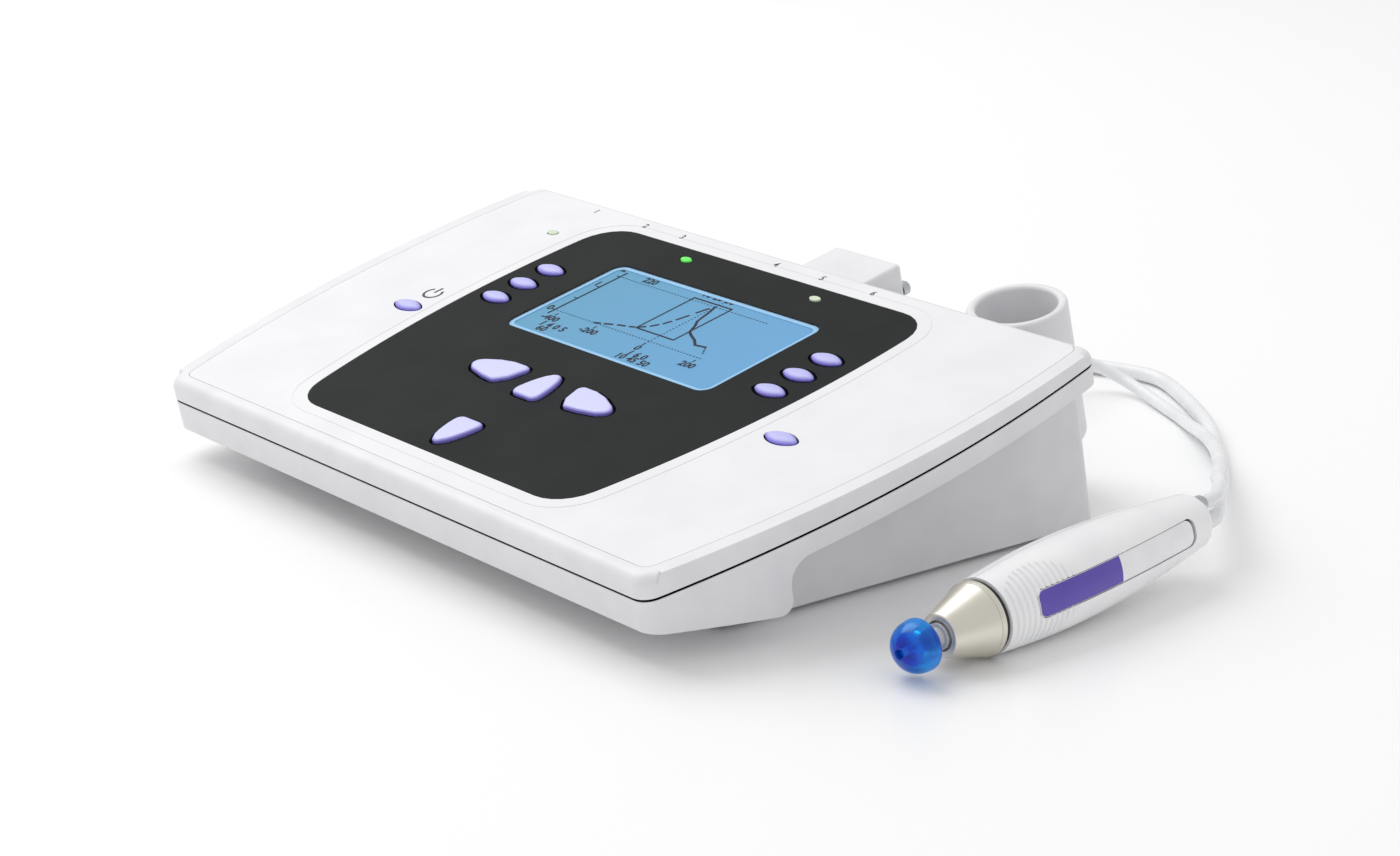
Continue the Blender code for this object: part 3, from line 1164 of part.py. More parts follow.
PROBE_TAIL = SEAL_THICKNESS + 2 * GAP + BODY_LENGTH
LEAD_FLOOR = LEAD_RADIUS + CORD_FLOOR_GAP
TUBE_FLOOR = TUBE_RADIUS + CORD_FLOOR_GAP
LEAD_COIL_SIDE_X = LEAD_COIL_CENTRE[0] + LEAD_COIL_RADIUS
TUBE_COIL_SIDE_X = TUBE_COIL_CENTRE[0] + TUBE_COIL_RADIUS


def clear_of_coil(coil_radius, cord_radius):
    """How far from a coil's side its lead ends, measured along the straight run into it."""
    outer = coil_radius + cord_radius + GAP
    inner = coil_radius - cord_radius
    return math.sqrt(outer * outer - inner * inner)


def in_metres(points):
    """Points of a route written in millimetres."""
    return [Vector(point) * MM for point in points]


# Routes over the table in millimetres; the first two are steps away from their plugs
LEAD_PLUG_STEPS = ((0.0, 0.0, 0.0), (0.0, 1.4, -6.4), (-1.2, 3.5, -12.8), (-4.2, 5.7, -18.8),
                   (-8.9, 7.7, -23.4))
TUBE_PLUG_STEPS = ((0.0, 0.0, 0.0), (0.0, 4.4, 0.6), (0.0, 9.2, -0.4), (0.0, 16.1, -6.2), (0.0, 18.9, -15.1),
                   (0.0, 18.9, -22.5), (0.0, 18.9, -29.9), (0.0, 21.0, -37.7), (0.0, 26.7, -43.3))
LEAD_INTO_COIL = ((-14.9, 122.2), (-20.4, 123.2), (-26.2, 126.9), (-29.9, 132.7))
TUBE_FLOOR_Y = 137.9 * MM
LEAD_OUT = ((-29.0, 184.0, 15.0), (-24.0, 195.0, 9.0), (-15.0, 206.0, 4.5), (-4.0, 214.5, 2.9),
            (8.0, 221.0, 2.9), (20.0, 226.0, 2.9), (31.5, 228.8, 2.9), (40.5, 226.6, 2.9),
            (50.0, 221.6, 2.9), (62.9, 213.6, 2.9), (80.5, 201.0, 2.9), (95.0, 187.4, 2.9),
            (107.5, 174.5, 3.3), (122.0, 157.4, 5.8), (137.0, 138.4, 9.4), (150.4, 120.0, 12.8),
            (159.4, 109.0, 14.4))
TUBE_OUT = ((19.0, 183.0, 18.0), (18.4, 193.0, 15.2), (20.4, 202.0, 11.8), (25.8, 208.6, 8.4),
            (33.6, 211.6, 5.4), (43.6, 210.8, 3.4), (56.0, 206.4, 2.4), (69.2, 200.3, 2.4),
            (79.5, 193.4, 3.6), (91.4, 184.2, 6.2), (102.7, 174.6, 8.4), (113.5, 164.6, 10.0),
            (122.4, 155.2, 11.8), (136.6, 137.6, 15.4), (147.6, 123.2, 18.6), (156.6, 113.0, 20.8))


def make_electric_lead():
    """The round lead in two stretches with a coil between."""
    reach = clear_of_coil(LEAD_COIL_RADIUS, LEAD_RADIUS)
    top = LEAD_FLOOR + LEAD_COIL_TURNS * COIL_PITCH_SHARE * 2 * LEAD_RADIUS
    start = console_point(0.0, PLUG_BOOT_V, -HOOD_BOTTOM_DEPTH - GAP - PLUG_BOOT_LENGTH)
    route = [start + step for step in in_metres(LEAD_PLUG_STEPS)]
    route += [Vector((x * MM, y * MM, LEAD_FLOOR)) for x, y in LEAD_INTO_COIL]
    route.append(Vector((LEAD_COIL_SIDE_X, LEAD_COIL_CENTRE[1] - reach, LEAD_FLOOR)))
    make_cord("lead_from_plug", route, LEAD_RADIUS, PLUG_CORD_STEPS)
    make_coil("lead_coil", LEAD_COIL_CENTRE, LEAD_COIL_RADIUS, LEAD_RADIUS, LEAD_COIL_TURNS)
    tail = PROBE_TAIL + TAIL_COLLAR_LENGTH + 2 * GAP
    route = [Vector((LEAD_COIL_SIDE_X, LEAD_COIL_CENTRE[1] + reach, top))] + in_metres(LEAD_OUT)
    route += [probe_point(tail + TAIL_RUN, 0.0, -TAIL_LEAD_DROP), probe_point(tail, 0.0, -TAIL_LEAD_DROP)]
    make_cord("lead_to_probe", route, LEAD_RADIUS, CORD_STEPS,
              end=probe_point(tail - TAIL_AIM, 0.0, -TAIL_LEAD_DROP))


def make_air_tube():
    """The thinner tube in two stretches with a coil between."""
    reach = clear_of_coil(TUBE_COIL_RADIUS, TUBE_RADIUS)
    top = TUBE_FLOOR + TUBE_COIL_TURNS * COIL_PITCH_SHARE * 2 * TUBE_RADIUS
    start = console_point(AIR_PORT_U, AIR_PLUG_START + AIR_PLUG_LENGTH + 2 * GAP, -PORT_AXIS_DEPTH)
    route = [start + step for step in in_metres(TUBE_PLUG_STEPS)]
    route += [Vector((TUBE_COIL_SIDE_X, TUBE_FLOOR_Y, TUBE_FLOOR)),
              Vector((TUBE_COIL_SIDE_X, TUBE_COIL_CENTRE[1] - reach, TUBE_FLOOR))]
    make_cord("air_tube_from_console", route, TUBE_RADIUS, PLUG_CORD_STEPS)
    make_coil("air_tube_coil", TUBE_COIL_CENTRE, TUBE_COIL_RADIUS, TUBE_RADIUS, TUBE_COIL_TURNS)
    tail = PROBE_TAIL + TAIL_COLLAR_LENGTH + TAIL_SPIGOT_LENGTH + 2 * GAP
    route = [Vector((TUBE_COIL_SIDE_X, TUBE_COIL_CENTRE[1] + reach, top))] + in_metres(TUBE_OUT)
    route += [probe_point(tail + TAIL_RUN, 0.0, TAIL_TUBE_RISE), probe_point(tail, 0.0, TAIL_TUBE_RISE)]
    make_cord("air_tube_to_probe", route, TUBE_RADIUS, CORD_STEPS,
              end=probe_point(tail - TAIL_AIM, 0.0, TAIL_TUBE_RISE))


BODY_START = SEAL_THICKNESS + 2 * GAP


def body_radius(share):
    """The probe body's outer radius at a share of its length."""
    if share < BODY_BELLY_SHARE:
        rise = math.sin(math.pi / 2 * share / BODY_BELLY_SHARE)
        return BODY_FRONT_RADIUS + (BODY_BELLY_RADIUS - BODY_FRONT_RADIUS) * rise
    fall = 1 - math.cos(math.pi / 2 * (share - BODY_BELLY_SHARE) / (1 - BODY_BELLY_SHARE))
    return BODY_BELLY_RADIUS - (BODY_BELLY_RADIUS - BODY_TAIL_RADIUS) * fall


def body_profile(shares, shrink=0.0):
    """Points of the body's side, from the nose towards the tail."""
    return [(BODY_START + BODY_LENGTH * share, body_radius(share) - shrink) for share in shares]


BODY_SHARES = [step / 12 for step in range(12)] + [1 - BODY_TAIL_ROUND / BODY_LENGTH]


def half_shell_profile():
    """The closed section of a body half: outside, tail wall and inside."""
    outer = body_profile(BODY_SHARES)
    end = BODY_START + BODY_LENGTH
    tail_radius = outer[-1][1]
    for step in range(1, 4):
        angle = math.pi / 2 * step / 3
        outer.append((end - BODY_TAIL_ROUND * (1 - math.sin(angle)),
                      tail_radius - BODY_TAIL_ROUND * (1 - math.cos(angle))))
    outer.append((end, TAIL_PLUG_RADIUS - BODY_WALL))
    inner = body_profile([0.0] + BODY_SHARES[2:-1:2] + [1 - 2 * BODY_WALL / BODY_LENGTH], BODY_WALL)
    inner = [(max(a, BODY_START + BODY_WALL), r) for a, r in inner]
    inner_end = inner[-1][0]
    return outer + [(inner_end, TAIL_PLUG_RADIUS - BODY_WALL)] + list(reversed(inner)) + [
        (BODY_START + BODY_WALL, BODY_BORE), (BODY_START, BODY_BORE)]


def label_band(name, outer_shrink, inner_shrink, extra):
    """A band of the body's skin, trimmed to the label's own outline."""
    shares = [(LABEL_START + (LABEL_END - LABEL_START) * share - BODY_START) / BODY_LENGTH
              for share in (-LABEL_OVERLAP_SHARE, *LABEL_MIDDLE_SHARES, 1 + LABEL_OVERLAP_SHARE)]
    profile = body_profile(shares, outer_shrink) + list(reversed(body_profile(shares, inner_shrink)))
    bm = turned(profile, 16, math.pi / 2, math.pi * 3 / 4)
    outline = rectangle(LABEL_END - LABEL_START + 2 * extra, LABEL_WIDTH + 2 * extra, LABEL_CORNER + extra,
                        ((LABEL_START + LABEL_END) / 2, 0.0), 3)
    trim_bm = prism(outline, 2 * BODY_BELLY_RADIUS, 0.0)
    bmesh.ops.rotate(trim_bm, cent=(0.0, 0.0, 0.0), matrix=Matrix.Rotation(math.pi / 2, 3, 'X'),
                     verts=trim_bm.verts[:])
    trim = add_object(name + "_trim", trim_bm, PROBE, cutter=True)
    is_cutter = extra > 0.0
    band = add_object(name, bm, PROBE, None if is_cutter else GREY_PLASTIC, cutter=is_cutter)
    return join_shape(band, trim, 'INTERSECT')


def make_probe_body():
    """Two moulded halves that meet along the top, and the label plate let into the right one."""
    halves = {}
    for name, start, side in (("left", -math.pi / 2, 1), ("right", math.pi / 2, -1)):
        bm = turned(half_shell_profile(), 16, math.pi, start)
        halves[name] = add_object("probe_body_" + name, bm, PROBE, WHITE_ABS, (0.0, side * GAP / 2, 0.0))
    cut(halves["right"], label_band("label_recess", -OVERRUN, LABEL_THICKNESS + GAP, GAP))
    label_band("probe_label", LABEL_SINK, LABEL_THICKNESS, 0.0)


def make_nose():
    """Nose cone, black seal, clear probe tip and the blue ear tip on it."""
    wall = NOSE_CONE_WALL
    tip = -NOSE_CONE_LENGTH
    bore = TIP_STEM_RADIUS + GAP
    profile = [(tip, bore), (tip, NOSE_CONE_TIP_RADIUS), (-NOSE_CONE_BAND, NOSE_CONE_RADIUS),
               (0.0, NOSE_CONE_RADIUS), (0.0, NOSE_CONE_RADIUS - wall),
               (-NOSE_CONE_BAND, NOSE_CONE_RADIUS - wall),
               (tip + TIP_FLANGE_THICKNESS, TIP_FLANGE_RADIUS - wall), (tip + wall, bore)]
    add_object("nose_cone", turned(profile, 40), PROBE, METAL)
    seal = [(GAP, SEAL_RADIUS - 2 * wall), (GAP, SEAL_RADIUS), (GAP + SEAL_THICKNESS, SEAL_RADIUS),
            (GAP + SEAL_THICKNESS, SEAL_RADIUS - 2 * wall)]
    add_object("nose_seal", turned(seal, 40), PROBE, BLACK_RUBBER)

    front = tip - TIP_STEM_REACH
    flange_radius = NOSE_CONE_RADIUS - wall - GAP * 2
    back = BODY_START + BODY_WALL - GAP
    stem = [(front, TIP_CHANNEL), (front, TIP_STEM_RADIUS), (-NOSE_CONE_BAND, TIP_STEM_RADIUS),
            (-NOSE_CONE_BAND, flange_radius - wall), (-GAP, flange_radius - wall), (-GAP, BODY_BORE - GAP),
            (back, BODY_BORE - GAP), (back, TIP_CHANNEL)]
    add_object("probe_tip", turned(stem, 32), PROBE, CLEAR_PLASTIC)

    start = tip - EAR_TIP_START
    end = start - EAR_TIP_LENGTH
    radius = EAR_TIP_RADIUS
    outer = [(start - EAR_TIP_LENGTH * a, radius * r) for a, r in EAR_TIP_SHARES]
    bore_end = front - GAP
    ear_bore = TIP_STEM_RADIUS + GAP
    inner = [(end, EAR_TIP_HOLE), (bore_end, EAR_TIP_HOLE), (bore_end, ear_bore), (start, ear_bore)]
    add_object("ear_tip", turned(outer + inner, 32), PROBE, EAR_TIP_BLUE)


def make_probe_core():
    """The transducer block and the small board behind it, as one module."""
    front = BODY_START + BODY_WALL + GAP
    end = front + TRANSDUCER_LENGTH
    transducer = rod(TRANSDUCER_RADIUS, front, end, 'X', segments=24)
    core = add_object("probe_core", transducer, PROBE, BLACK_PLASTIC)
    front_edge = end - OVERRUN
    rear_edge = PROBE_TAIL - 3 * BODY_WALL - GAP - PROBE_BOARD_REAR_ROOM
    board = block((rear_edge - front_edge, PROBE_BOARD_WIDTH, BOARD_THICKNESS),
                  ((front_edge + rear_edge) / 2, 0.0, 0.0))
    fuse(core, add_object("probe_board", board, PROBE, cutter=True))


def make_tail_fitting():
    """One moulding held in the tail wall, where the lead comes out under the air tube's spigot."""
    tail = PROBE_TAIL
    inner = tail - 2 * BODY_WALL
    neck = TAIL_PLUG_RADIUS - BODY_WALL - GAP
    collar = tail + TAIL_COLLAR_LENGTH
    stem = rod(neck, inner - BODY_WALL, collar, 'X', segments=24)
    fitting = add_object("tail_fitting", stem, PROBE, LEAD_GREY)
    for name, low, high in (("tail_flange", inner - BODY_WALL - GAP, inner - GAP),
                            ("tail_collar", tail + GAP, collar)):
        disc = rod(TAIL_PLUG_RADIUS, low, high, 'X', segments=24)
        fuse(fitting, add_object(name, disc, PROBE, cutter=True))
    spigot = rod(TAIL_SPIGOT_RADIUS, collar - GAP, collar + TAIL_SPIGOT_LENGTH, 'X', segments=20)
    fuse(fitting, add_object("tail_spigot", spigot, PROBE, place=(0.0, 0.0, TAIL_TUBE_RISE), cutter=True))


def build():
    """Make every piece."""
    make_top_cover()
    make_overlay()
    make_panel()
    make_screen()
    make_keys()
    make_light_pipes()
    make_key_electronics()
    make_bottom_case()
    make_case_screws()
    make_feet()
    make_main_board()
    make_ports()
    make_air_port()
    make_air_plug()
    make_probe_plug()
    make_probe_cup()
    make_air_system()
    make_probe_body()
    make_nose()
    make_probe_core()
    make_tail_fitting()
    make_electric_lead()
    make_air_tube()


CORD_NODES = ("lead_from_plug", "lead_coil", "lead_to_probe", "air_tube_from_console", "air_tube_coil",
              "air_tube_to_probe", "air_plug", "probe_plug_hood", "plug_screw_left", "plug_screw_right")


def centre_on_underside():
    """Move the root so that the origin lies at the middle of the underside, leads left out."""
    bpy.context.view_layer.update()
    graph = bpy.context.evaluated_depsgraph_get()
    low = Vector((math.inf,) * 3)
    high = Vector((-math.inf,) * 3)
    for part in PARTS.objects:
        if part.type == 'EMPTY' or part.name in CORD_NODES:
            continue
        shown = part.evaluated_get(graph)
        mesh = shown.to_mesh()
        for vert in mesh.vertices:
            place = shown.matrix_world @ vert.co
            low = Vector(map(min, low, place))
            high = Vector(map(max, high, place))
        shown.to_mesh_clear()
    middle = (low + high) / 2
    ROOT.location = (-middle.x, -middle.y, -low.z)
    bpy.context.view_layer.update()
    print("root moved by", [round(value / MM, 3) for value in ROOT.location], "mm")
    print("size", [round(value / MM, 2) for value in high - low], "mm")


build()
centre_on_underside()
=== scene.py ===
# %% [markdown]
# # A desktop tympanometer
# This instrument measures how an eardrum gives way to a small change of air pressure. It is a white console
# with a dark key panel and a blue screen, and a hand probe that lies beside it on a lead and an air tube.
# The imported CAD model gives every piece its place. This script adds what the eye sees: finer shapes,
# finishes, the floor, the light and the camera.

# %% Load the fixed frame
import math

import bmesh
import bpy
from mathutils import Matrix, Vector


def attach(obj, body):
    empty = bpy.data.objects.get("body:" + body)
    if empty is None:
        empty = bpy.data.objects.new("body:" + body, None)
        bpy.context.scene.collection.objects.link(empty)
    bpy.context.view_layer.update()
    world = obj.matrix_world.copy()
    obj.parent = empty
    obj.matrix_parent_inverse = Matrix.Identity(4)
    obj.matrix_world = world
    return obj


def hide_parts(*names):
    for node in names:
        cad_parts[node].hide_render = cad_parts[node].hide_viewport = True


MM = 0.001
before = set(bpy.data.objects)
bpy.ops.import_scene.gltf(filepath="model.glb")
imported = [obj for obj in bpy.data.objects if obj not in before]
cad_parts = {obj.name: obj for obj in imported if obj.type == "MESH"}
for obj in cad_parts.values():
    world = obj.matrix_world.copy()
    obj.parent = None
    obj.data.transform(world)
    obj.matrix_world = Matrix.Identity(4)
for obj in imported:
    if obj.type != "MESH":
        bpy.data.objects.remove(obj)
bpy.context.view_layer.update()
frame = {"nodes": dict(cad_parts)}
nodes = frame["nodes"]

# %% [markdown]
# ## The two working frames
# The console's top slopes, and the probe lies askew on the table. Each piece could be modelled where it
# lies, but flat outlines and turned profiles are far simpler in a frame of their own. So the console has a
# tilted frame, where u runs across, v up the slope and w out of the top face, and the probe has a frame
# along its own axis. Both are the same as in the CAD source, and a matrix for each carries finished shapes
# to their place.

# %% Frames of the console and the probe
TILT = math.radians(12.7)
SINE, COSINE = math.sin(TILT), math.cos(TILT)
CASE_DEPTH = 165.0 * MM
FRONT_TOP_HEIGHT = 27.0 * MM
ROW_SHIFT = Vector((-22.518, -23.794, 0.0)) * MM
PROBE_PLACE = Vector((168.52, -3.29, 11.35)) * MM
PROBE_TURN = (Matrix.Rotation(math.radians(92.0), 4, 'Z') @ Matrix.Rotation(-math.radians(3.8), 4, 'Y')
              @ Matrix.Rotation(-math.radians(14.0), 4, 'X'))
TABLE = Matrix.Translation(ROW_SHIFT)
CONSOLE = TABLE @ Matrix.Translation((0.0, -CASE_DEPTH / 2, FRONT_TOP_HEIGHT)) @ Matrix.Rotation(TILT, 4, 'X')
PROBE = TABLE @ Matrix.Translation(PROBE_PLACE) @ PROBE_TURN
print("middle of the top face's front edge at", [round(c / MM, 1) for c in CONSOLE.translation], "mm")

# %% [markdown]
# ## The camera
# The photograph was taken from the front right, a little above the console. A camera could be set by eye,
# but then every piece would be judged against a view that is slightly off. Instead, corners of the console
# and the probe gave its place and its three axes, and they are written here as they were found. The lens is
# a short telephoto, and the sensor keeps Blender's own width.

# %% Camera
CAMERA_PLACE = Vector((693.28, -568.48, 315.77)) * MM + ROW_SHIFT
CAMERA_RIGHT = Vector((0.6591, 0.7520, 0.0102))
CAMERA_UP = Vector((-0.2398, 0.1972, 0.9506))
CAMERA_BACK = Vector((0.7128, -0.6289, 0.3103))
LENS = 77.39

camera = bpy.data.objects.new("camera", bpy.data.cameras.new("camera"))
camera.data.lens = LENS
camera.data.sensor_width = 36.0
camera.data.clip_start = 0.01
camera.matrix_world = Matrix.Translation(CAMERA_PLACE) @ Matrix(
    (CAMERA_RIGHT, CAMERA_UP, CAMERA_BACK)).transposed().to_4x4()
bpy.context.scene.collection.objects.link(camera)
bpy.context.scene.camera = camera
print("camera lens", LENS, "mm")

# %% [markdown]
# ## Colours and nodes
# A finish starts from what the real surface is. Colours are picked as they look on a screen, as sRGB hex
# values, and one function turns them into the linear numbers that the shader needs. Nodes could be set one
# line at a time, but that hides the idea of a finish in a long list. So one more function adds a node with
# its settings and links.

# %% Colour and node helpers
def linear(code):
    """Turn an sRGB hex value into the linear colour of a shader."""
    channels = [int(code[i:i + 2], 16) / 255 for i in (0, 2, 4)]
    return tuple(c / 12.92 if c <= 0.04045 else ((c + 0.055) / 1.055) ** 2.4 for c in channels) + (1.0,)


def add_node(material, kind, links=None, **settings):
    """Add a node; settings set its options or sockets, and links join its inputs to other nodes' outputs."""
    node = material.node_tree.nodes.new(kind)
    for name, value in settings.items():
        socket = node.inputs.get(name.replace("_", " "))
        if hasattr(node, name):
            setattr(node, name, value)
        else:
            socket.default_value = value
    for name, source in (links or {}).items():
        material.node_tree.links.new(source, node.inputs[name])
    return node


print("a mid grey of 808080 is", round(linear("808080")[0], 3), "in linear light")

# %% [markdown]
# ## What a moulded surface looks like
# Plastic, rubber and print are never one flat colour: there is a faint mottling, the gloss is uneven, and
# the mould or the press leaves a fine texture. An image could show this, but it would blur close up and its
# size would be a guess. So noise of a real size in millimetres drives colour, gloss and relief.

# %% Finish helpers
MOTTLE_SHARE = 40


def new_finish(name, **sockets):
    """Start a material whose shader has these socket values."""
    material = bpy.data.materials.new(name)
    material.use_nodes = True
    shader = material.node_tree.nodes["Principled BSDF"]
    for socket, value in sockets.items():
        shader.inputs[socket.replace("_", " ")].default_value = value
    return material, shader


def ramp(node, stops):
    """Set a colour ramp's stops from pairs of a place and a colour."""
    elements = node.color_ramp.elements
    for index, (place, colour) in enumerate(stops):
        element = elements[index] if index < len(elements) else elements.new(place)
        element.position = place
        element.color = colour
    return node


def grain(name, base, shade, size_mm, roughness, rough_spread=0.06, bump_mm=0.01, ior=1.5, **sockets):
    """A moulded surface with a fine texture of a real size, and a much coarser, faint mottling."""
    material, shader = new_finish(name, IOR=ior, **sockets)
    link = material.node_tree.links.new
    place = add_node(material, "ShaderNodeTexCoord").outputs["Object"]
    fine = add_node(material, "ShaderNodeTexNoise", {"Vector": place}, Scale=1 / (size_mm * MM), Detail=3.0,
                    Roughness=0.6)
    broad = add_node(material, "ShaderNodeTexNoise", {"Vector": place},
                     Scale=1 / (MOTTLE_SHARE * size_mm * MM), Detail=2.0)
    tone = ramp(add_node(material, "ShaderNodeValToRGB", {"Fac": broad.outputs["Fac"]}),
                [(0.35, linear(shade)), (0.65, linear(base))])
    gloss = add_node(material, "ShaderNodeMapRange", {"Value": fine.outputs["Fac"]},
                     To_Min=roughness - rough_spread, To_Max=roughness + rough_spread)
    bump = add_node(material, "ShaderNodeBump", {"Height": fine.outputs["Fac"]}, Strength=0.35,
                    Distance=bump_mm * MM)
    link(tone.outputs["Color"], shader.inputs["Base Color"])
    link(gloss.outputs["Result"], shader.inputs["Roughness"])
    link(bump.outputs["Normal"], shader.inputs["Normal"])
    return material


print("mottling is", MOTTLE_SHARE, "times as coarse as the texture")

# %% [markdown]
# ## Housings and printed sheets
# The white housings are moulded in ABS against a spark-eroded tool, which leaves a fine matt grain. The
# sheets are polyester films, printed on their backs, so they are smoother. A plain white would lose their
# edges against each other, so each has its own white, gloss and grain.

# %% Housings and printed sheets
# ABS, moulded with a fine spark-eroded texture: matt white, never quite even.
moulded_abs = grain("moulded_white_abs", "E9E9EB", "E4E4E7", 0.35, 0.42, bump_mm=0.012)
# The probe is moulded in a whiter, glossier ABS than the console.
gloss_abs = grain("gloss_white_abs", "F8F8F9", "F4F4F6", 0.3, 0.26, 0.04, 0.004)
# White ABS of the label plate, smoother than the body.
label_abs = grain("label_plate_abs", "F5F5F7", "F0F0F3", 0.3, 0.30, bump_mm=0.004)
# Polyester film, printed white on its back: smoother than the moulding around it.
printed_film = grain("printed_white_film", "EEEEF0", "EAEAED", 0.5, 0.38, bump_mm=0.004,
                     Specular_IOR_Level=0.25)
# The same film printed charcoal, with a fine matt grain.
charcoal_film = grain("printed_charcoal_film", "202222", "1C1E1E", 0.4, 0.5, 0.05, 0.006,
                      Specular_IOR_Level=0.07)
print("housings and sheets: 5 finishes")

# %% [markdown]
# ## Rubber, painted gap shade, vinyl and nylon
# The feet, seals and sockets are dark, and the lead is a soft pale vinyl. Black rubber still shows a grey
# sheen, which is right for a foot. In a narrow gap that sheen would read as grey, so the black painted into
# the gaps as shade has almost no reflection of its own.

# %% Rubber, painted gap shade, vinyl and nylon
# Carbon-filled rubber feet.
foot_rubber = grain("foot_rubber", "1C1C1D", "161617", 0.4, 0.75, bump_mm=0.03)
# Painted shade: a black with almost no reflection, put in the gaps round the keys, in the seam and at the
# label's end.
black_foam = grain("black_foam", "0A0A0B", "060607", 0.5, 0.92, 0.04, 0.02, Specular_IOR_Level=0.02)
# Neoprene seal.
seal_rubber = grain("seal_rubber", "141415", "101011", 0.4, 0.55, bump_mm=0.02)
# Glass-filled nylon of the sockets.
socket_nylon = grain("socket_nylon", "1B1C1E", "151618", 0.3, 0.5, bump_mm=0.01)
# Silicone of the dome mat, the air plug and the pump's head.
mat_silicone = grain("mat_silicone", "A9AAAD", "A0A1A5", 0.5, 0.6, bump_mm=0.01)
# Soft vinyl of the leads' jackets.
lead_vinyl = grain("lead_vinyl", "F0F1F3", "E9EAEC", 0.4, 0.28, bump_mm=0.006)
print("soft and dark parts: 6 finishes")

# %% [markdown]
# ## Inks and coloured films
# What is printed could be painted on as an image, but thin solids stay sharp from any distance. These are
# the inks and films that such solids are made of.

# %% Inks and coloured films
# Screen ink: the darkened segments of the liquid crystal.
screen_ink = grain("liquid_crystal_dark", "0D1730", "0B142A", 0.3, 0.45, bump_mm=0.002,
                   Specular_IOR_Level=0.05)
# Painted light: a light blue band under the window's edge, where the edge catches the light; it also hides
# the edge of the lit screen.
window_edge_painted_light = grain("light_blue_border_print", "9CCEF2", "96C8EE", 0.4, 0.4, bump_mm=0.002,
                     Specular_IOR_Level=0.1)
# Dark grey ink of the printed symbols.
dark_print = grain("dark_print_ink", "2C2C2F", "27272A", 0.4, 0.45, bump_mm=0.002)
# Purple film on the label.
purple_film = grain("purple_label_film", "5F4DB4", "5A48AE", 0.4, 0.32, bump_mm=0.003)
# Green solder mask over copper tracks.
board_mask = grain("solder_mask", "1E5A38", "174A2D", 0.8, 0.38, bump_mm=0.02)
print("inks and films: 5 finishes")

# %% [markdown]
# ## Plated metals
# The nose cone is blasted and then plated with nickel, which gives a satin glow without a direction. The
# screws are bright zinc with a trace of the tool. A metal takes its colour from its reflections, so the
# base colour is pale and the look is made by the gloss and a very low relief.

# %% Plated metals
def metal(name, base, shade, roughness, streak_mm, stretch, relief=0.12):
    """A plated metal with fine marks, drawn out along an axis if asked, and uneven gloss."""
    material, shader = new_finish(name, Metallic=1.0)
    link = material.node_tree.links.new
    place = add_node(material, "ShaderNodeTexCoord").outputs["Object"]
    spread = add_node(material, "ShaderNodeMapping", {"Vector": place}, Scale=stretch)
    lines = add_node(material, "ShaderNodeTexNoise", {"Vector": spread.outputs["Vector"]},
                     Scale=1 / (streak_mm * MM), Detail=4.0)
    tone = ramp(add_node(material, "ShaderNodeValToRGB", {"Fac": lines.outputs["Fac"]}),
                [(0.3, linear(shade)), (0.7, linear(base))])
    gloss = add_node(material, "ShaderNodeMapRange", {"Value": lines.outputs["Fac"]}, To_Min=roughness - 0.05,
                     To_Max=roughness + 0.07)
    bump = add_node(material, "ShaderNodeBump", {"Height": lines.outputs["Fac"]}, Strength=relief,
                    Distance=0.01 * MM)
    link(tone.outputs["Color"], shader.inputs["Base Color"])
    link(gloss.outputs["Result"], shader.inputs["Roughness"])
    link(bump.outputs["Normal"], shader.inputs["Normal"])
    return material


# Satin nickel plate, blasted before plating, faintly warm.
satin_nickel = metal("satin_nickel_plate", "E4E0D5", "DFDBD0", 0.38, 0.3, (1.0, 1.0, 1.0), 0.03)
# Bright zinc plate of the screws and the metal socket shells.
bright_zinc = metal("bright_zinc_plate", "C9CBD0", "B9BCC2", 0.28, 0.8, (1.0, 1.0, 2.0))
print("metals: 2 finishes")

# %% [markdown]
# ## Key rubber
# The keys are silicone rubber with a lavender lacquer. Their colour is pale on top and deeper on the flanks,
# which is painted shade: the flanks turn away from the light. Two colours on separate faces would show a
# hard line. Instead, the direction that the surface faces blends three tones, and a little light goes under
# the skin as it does in real silicone.

# %% Key rubber
def key_rubber_with_painted_shade(name, flank, shoulder, crown):
    """Lavender silicone rubber with painted shade: pale on top, darker on the flanks."""
    material, shader = new_finish(name, IOR=1.45, Subsurface_Weight=0.1, Subsurface_Scale=0.8 * MM)
    shader.inputs["Subsurface Radius"].default_value = (0.6, 0.5, 1.0)
    place = add_node(material, "ShaderNodeTexCoord")
    up = add_node(material, "ShaderNodeVectorMath", {0: place.outputs["Normal"]}, operation='DOT_PRODUCT')
    up.inputs[1].default_value = (0.0, -SINE, COSINE)
    # Painted shade: the tone follows the way the surface faces, pale on top and darker on the flanks.
    tone = ramp(add_node(material, "ShaderNodeValToRGB", {"Fac": up.outputs["Value"]}),
                [(0.20, linear(flank)), (0.75, linear(shoulder)), (0.97, linear(crown))])
    fine = add_node(material, "ShaderNodeTexNoise", {"Vector": place.outputs["Object"]}, Scale=1 / (0.4 * MM),
                    Detail=3.0)
    gloss = add_node(material, "ShaderNodeMapRange", {"Value": fine.outputs["Fac"]}, To_Min=0.36, To_Max=0.48)
    bump = add_node(material, "ShaderNodeBump", {"Height": fine.outputs["Fac"]}, Strength=0.3,
                    Distance=0.008 * MM)
    for socket, source in (("Base Color", tone.outputs["Color"]), ("Roughness", gloss.outputs["Result"]),
                           ("Normal", bump.outputs["Normal"])):
        material.node_tree.links.new(source, shader.inputs[socket])
    return material


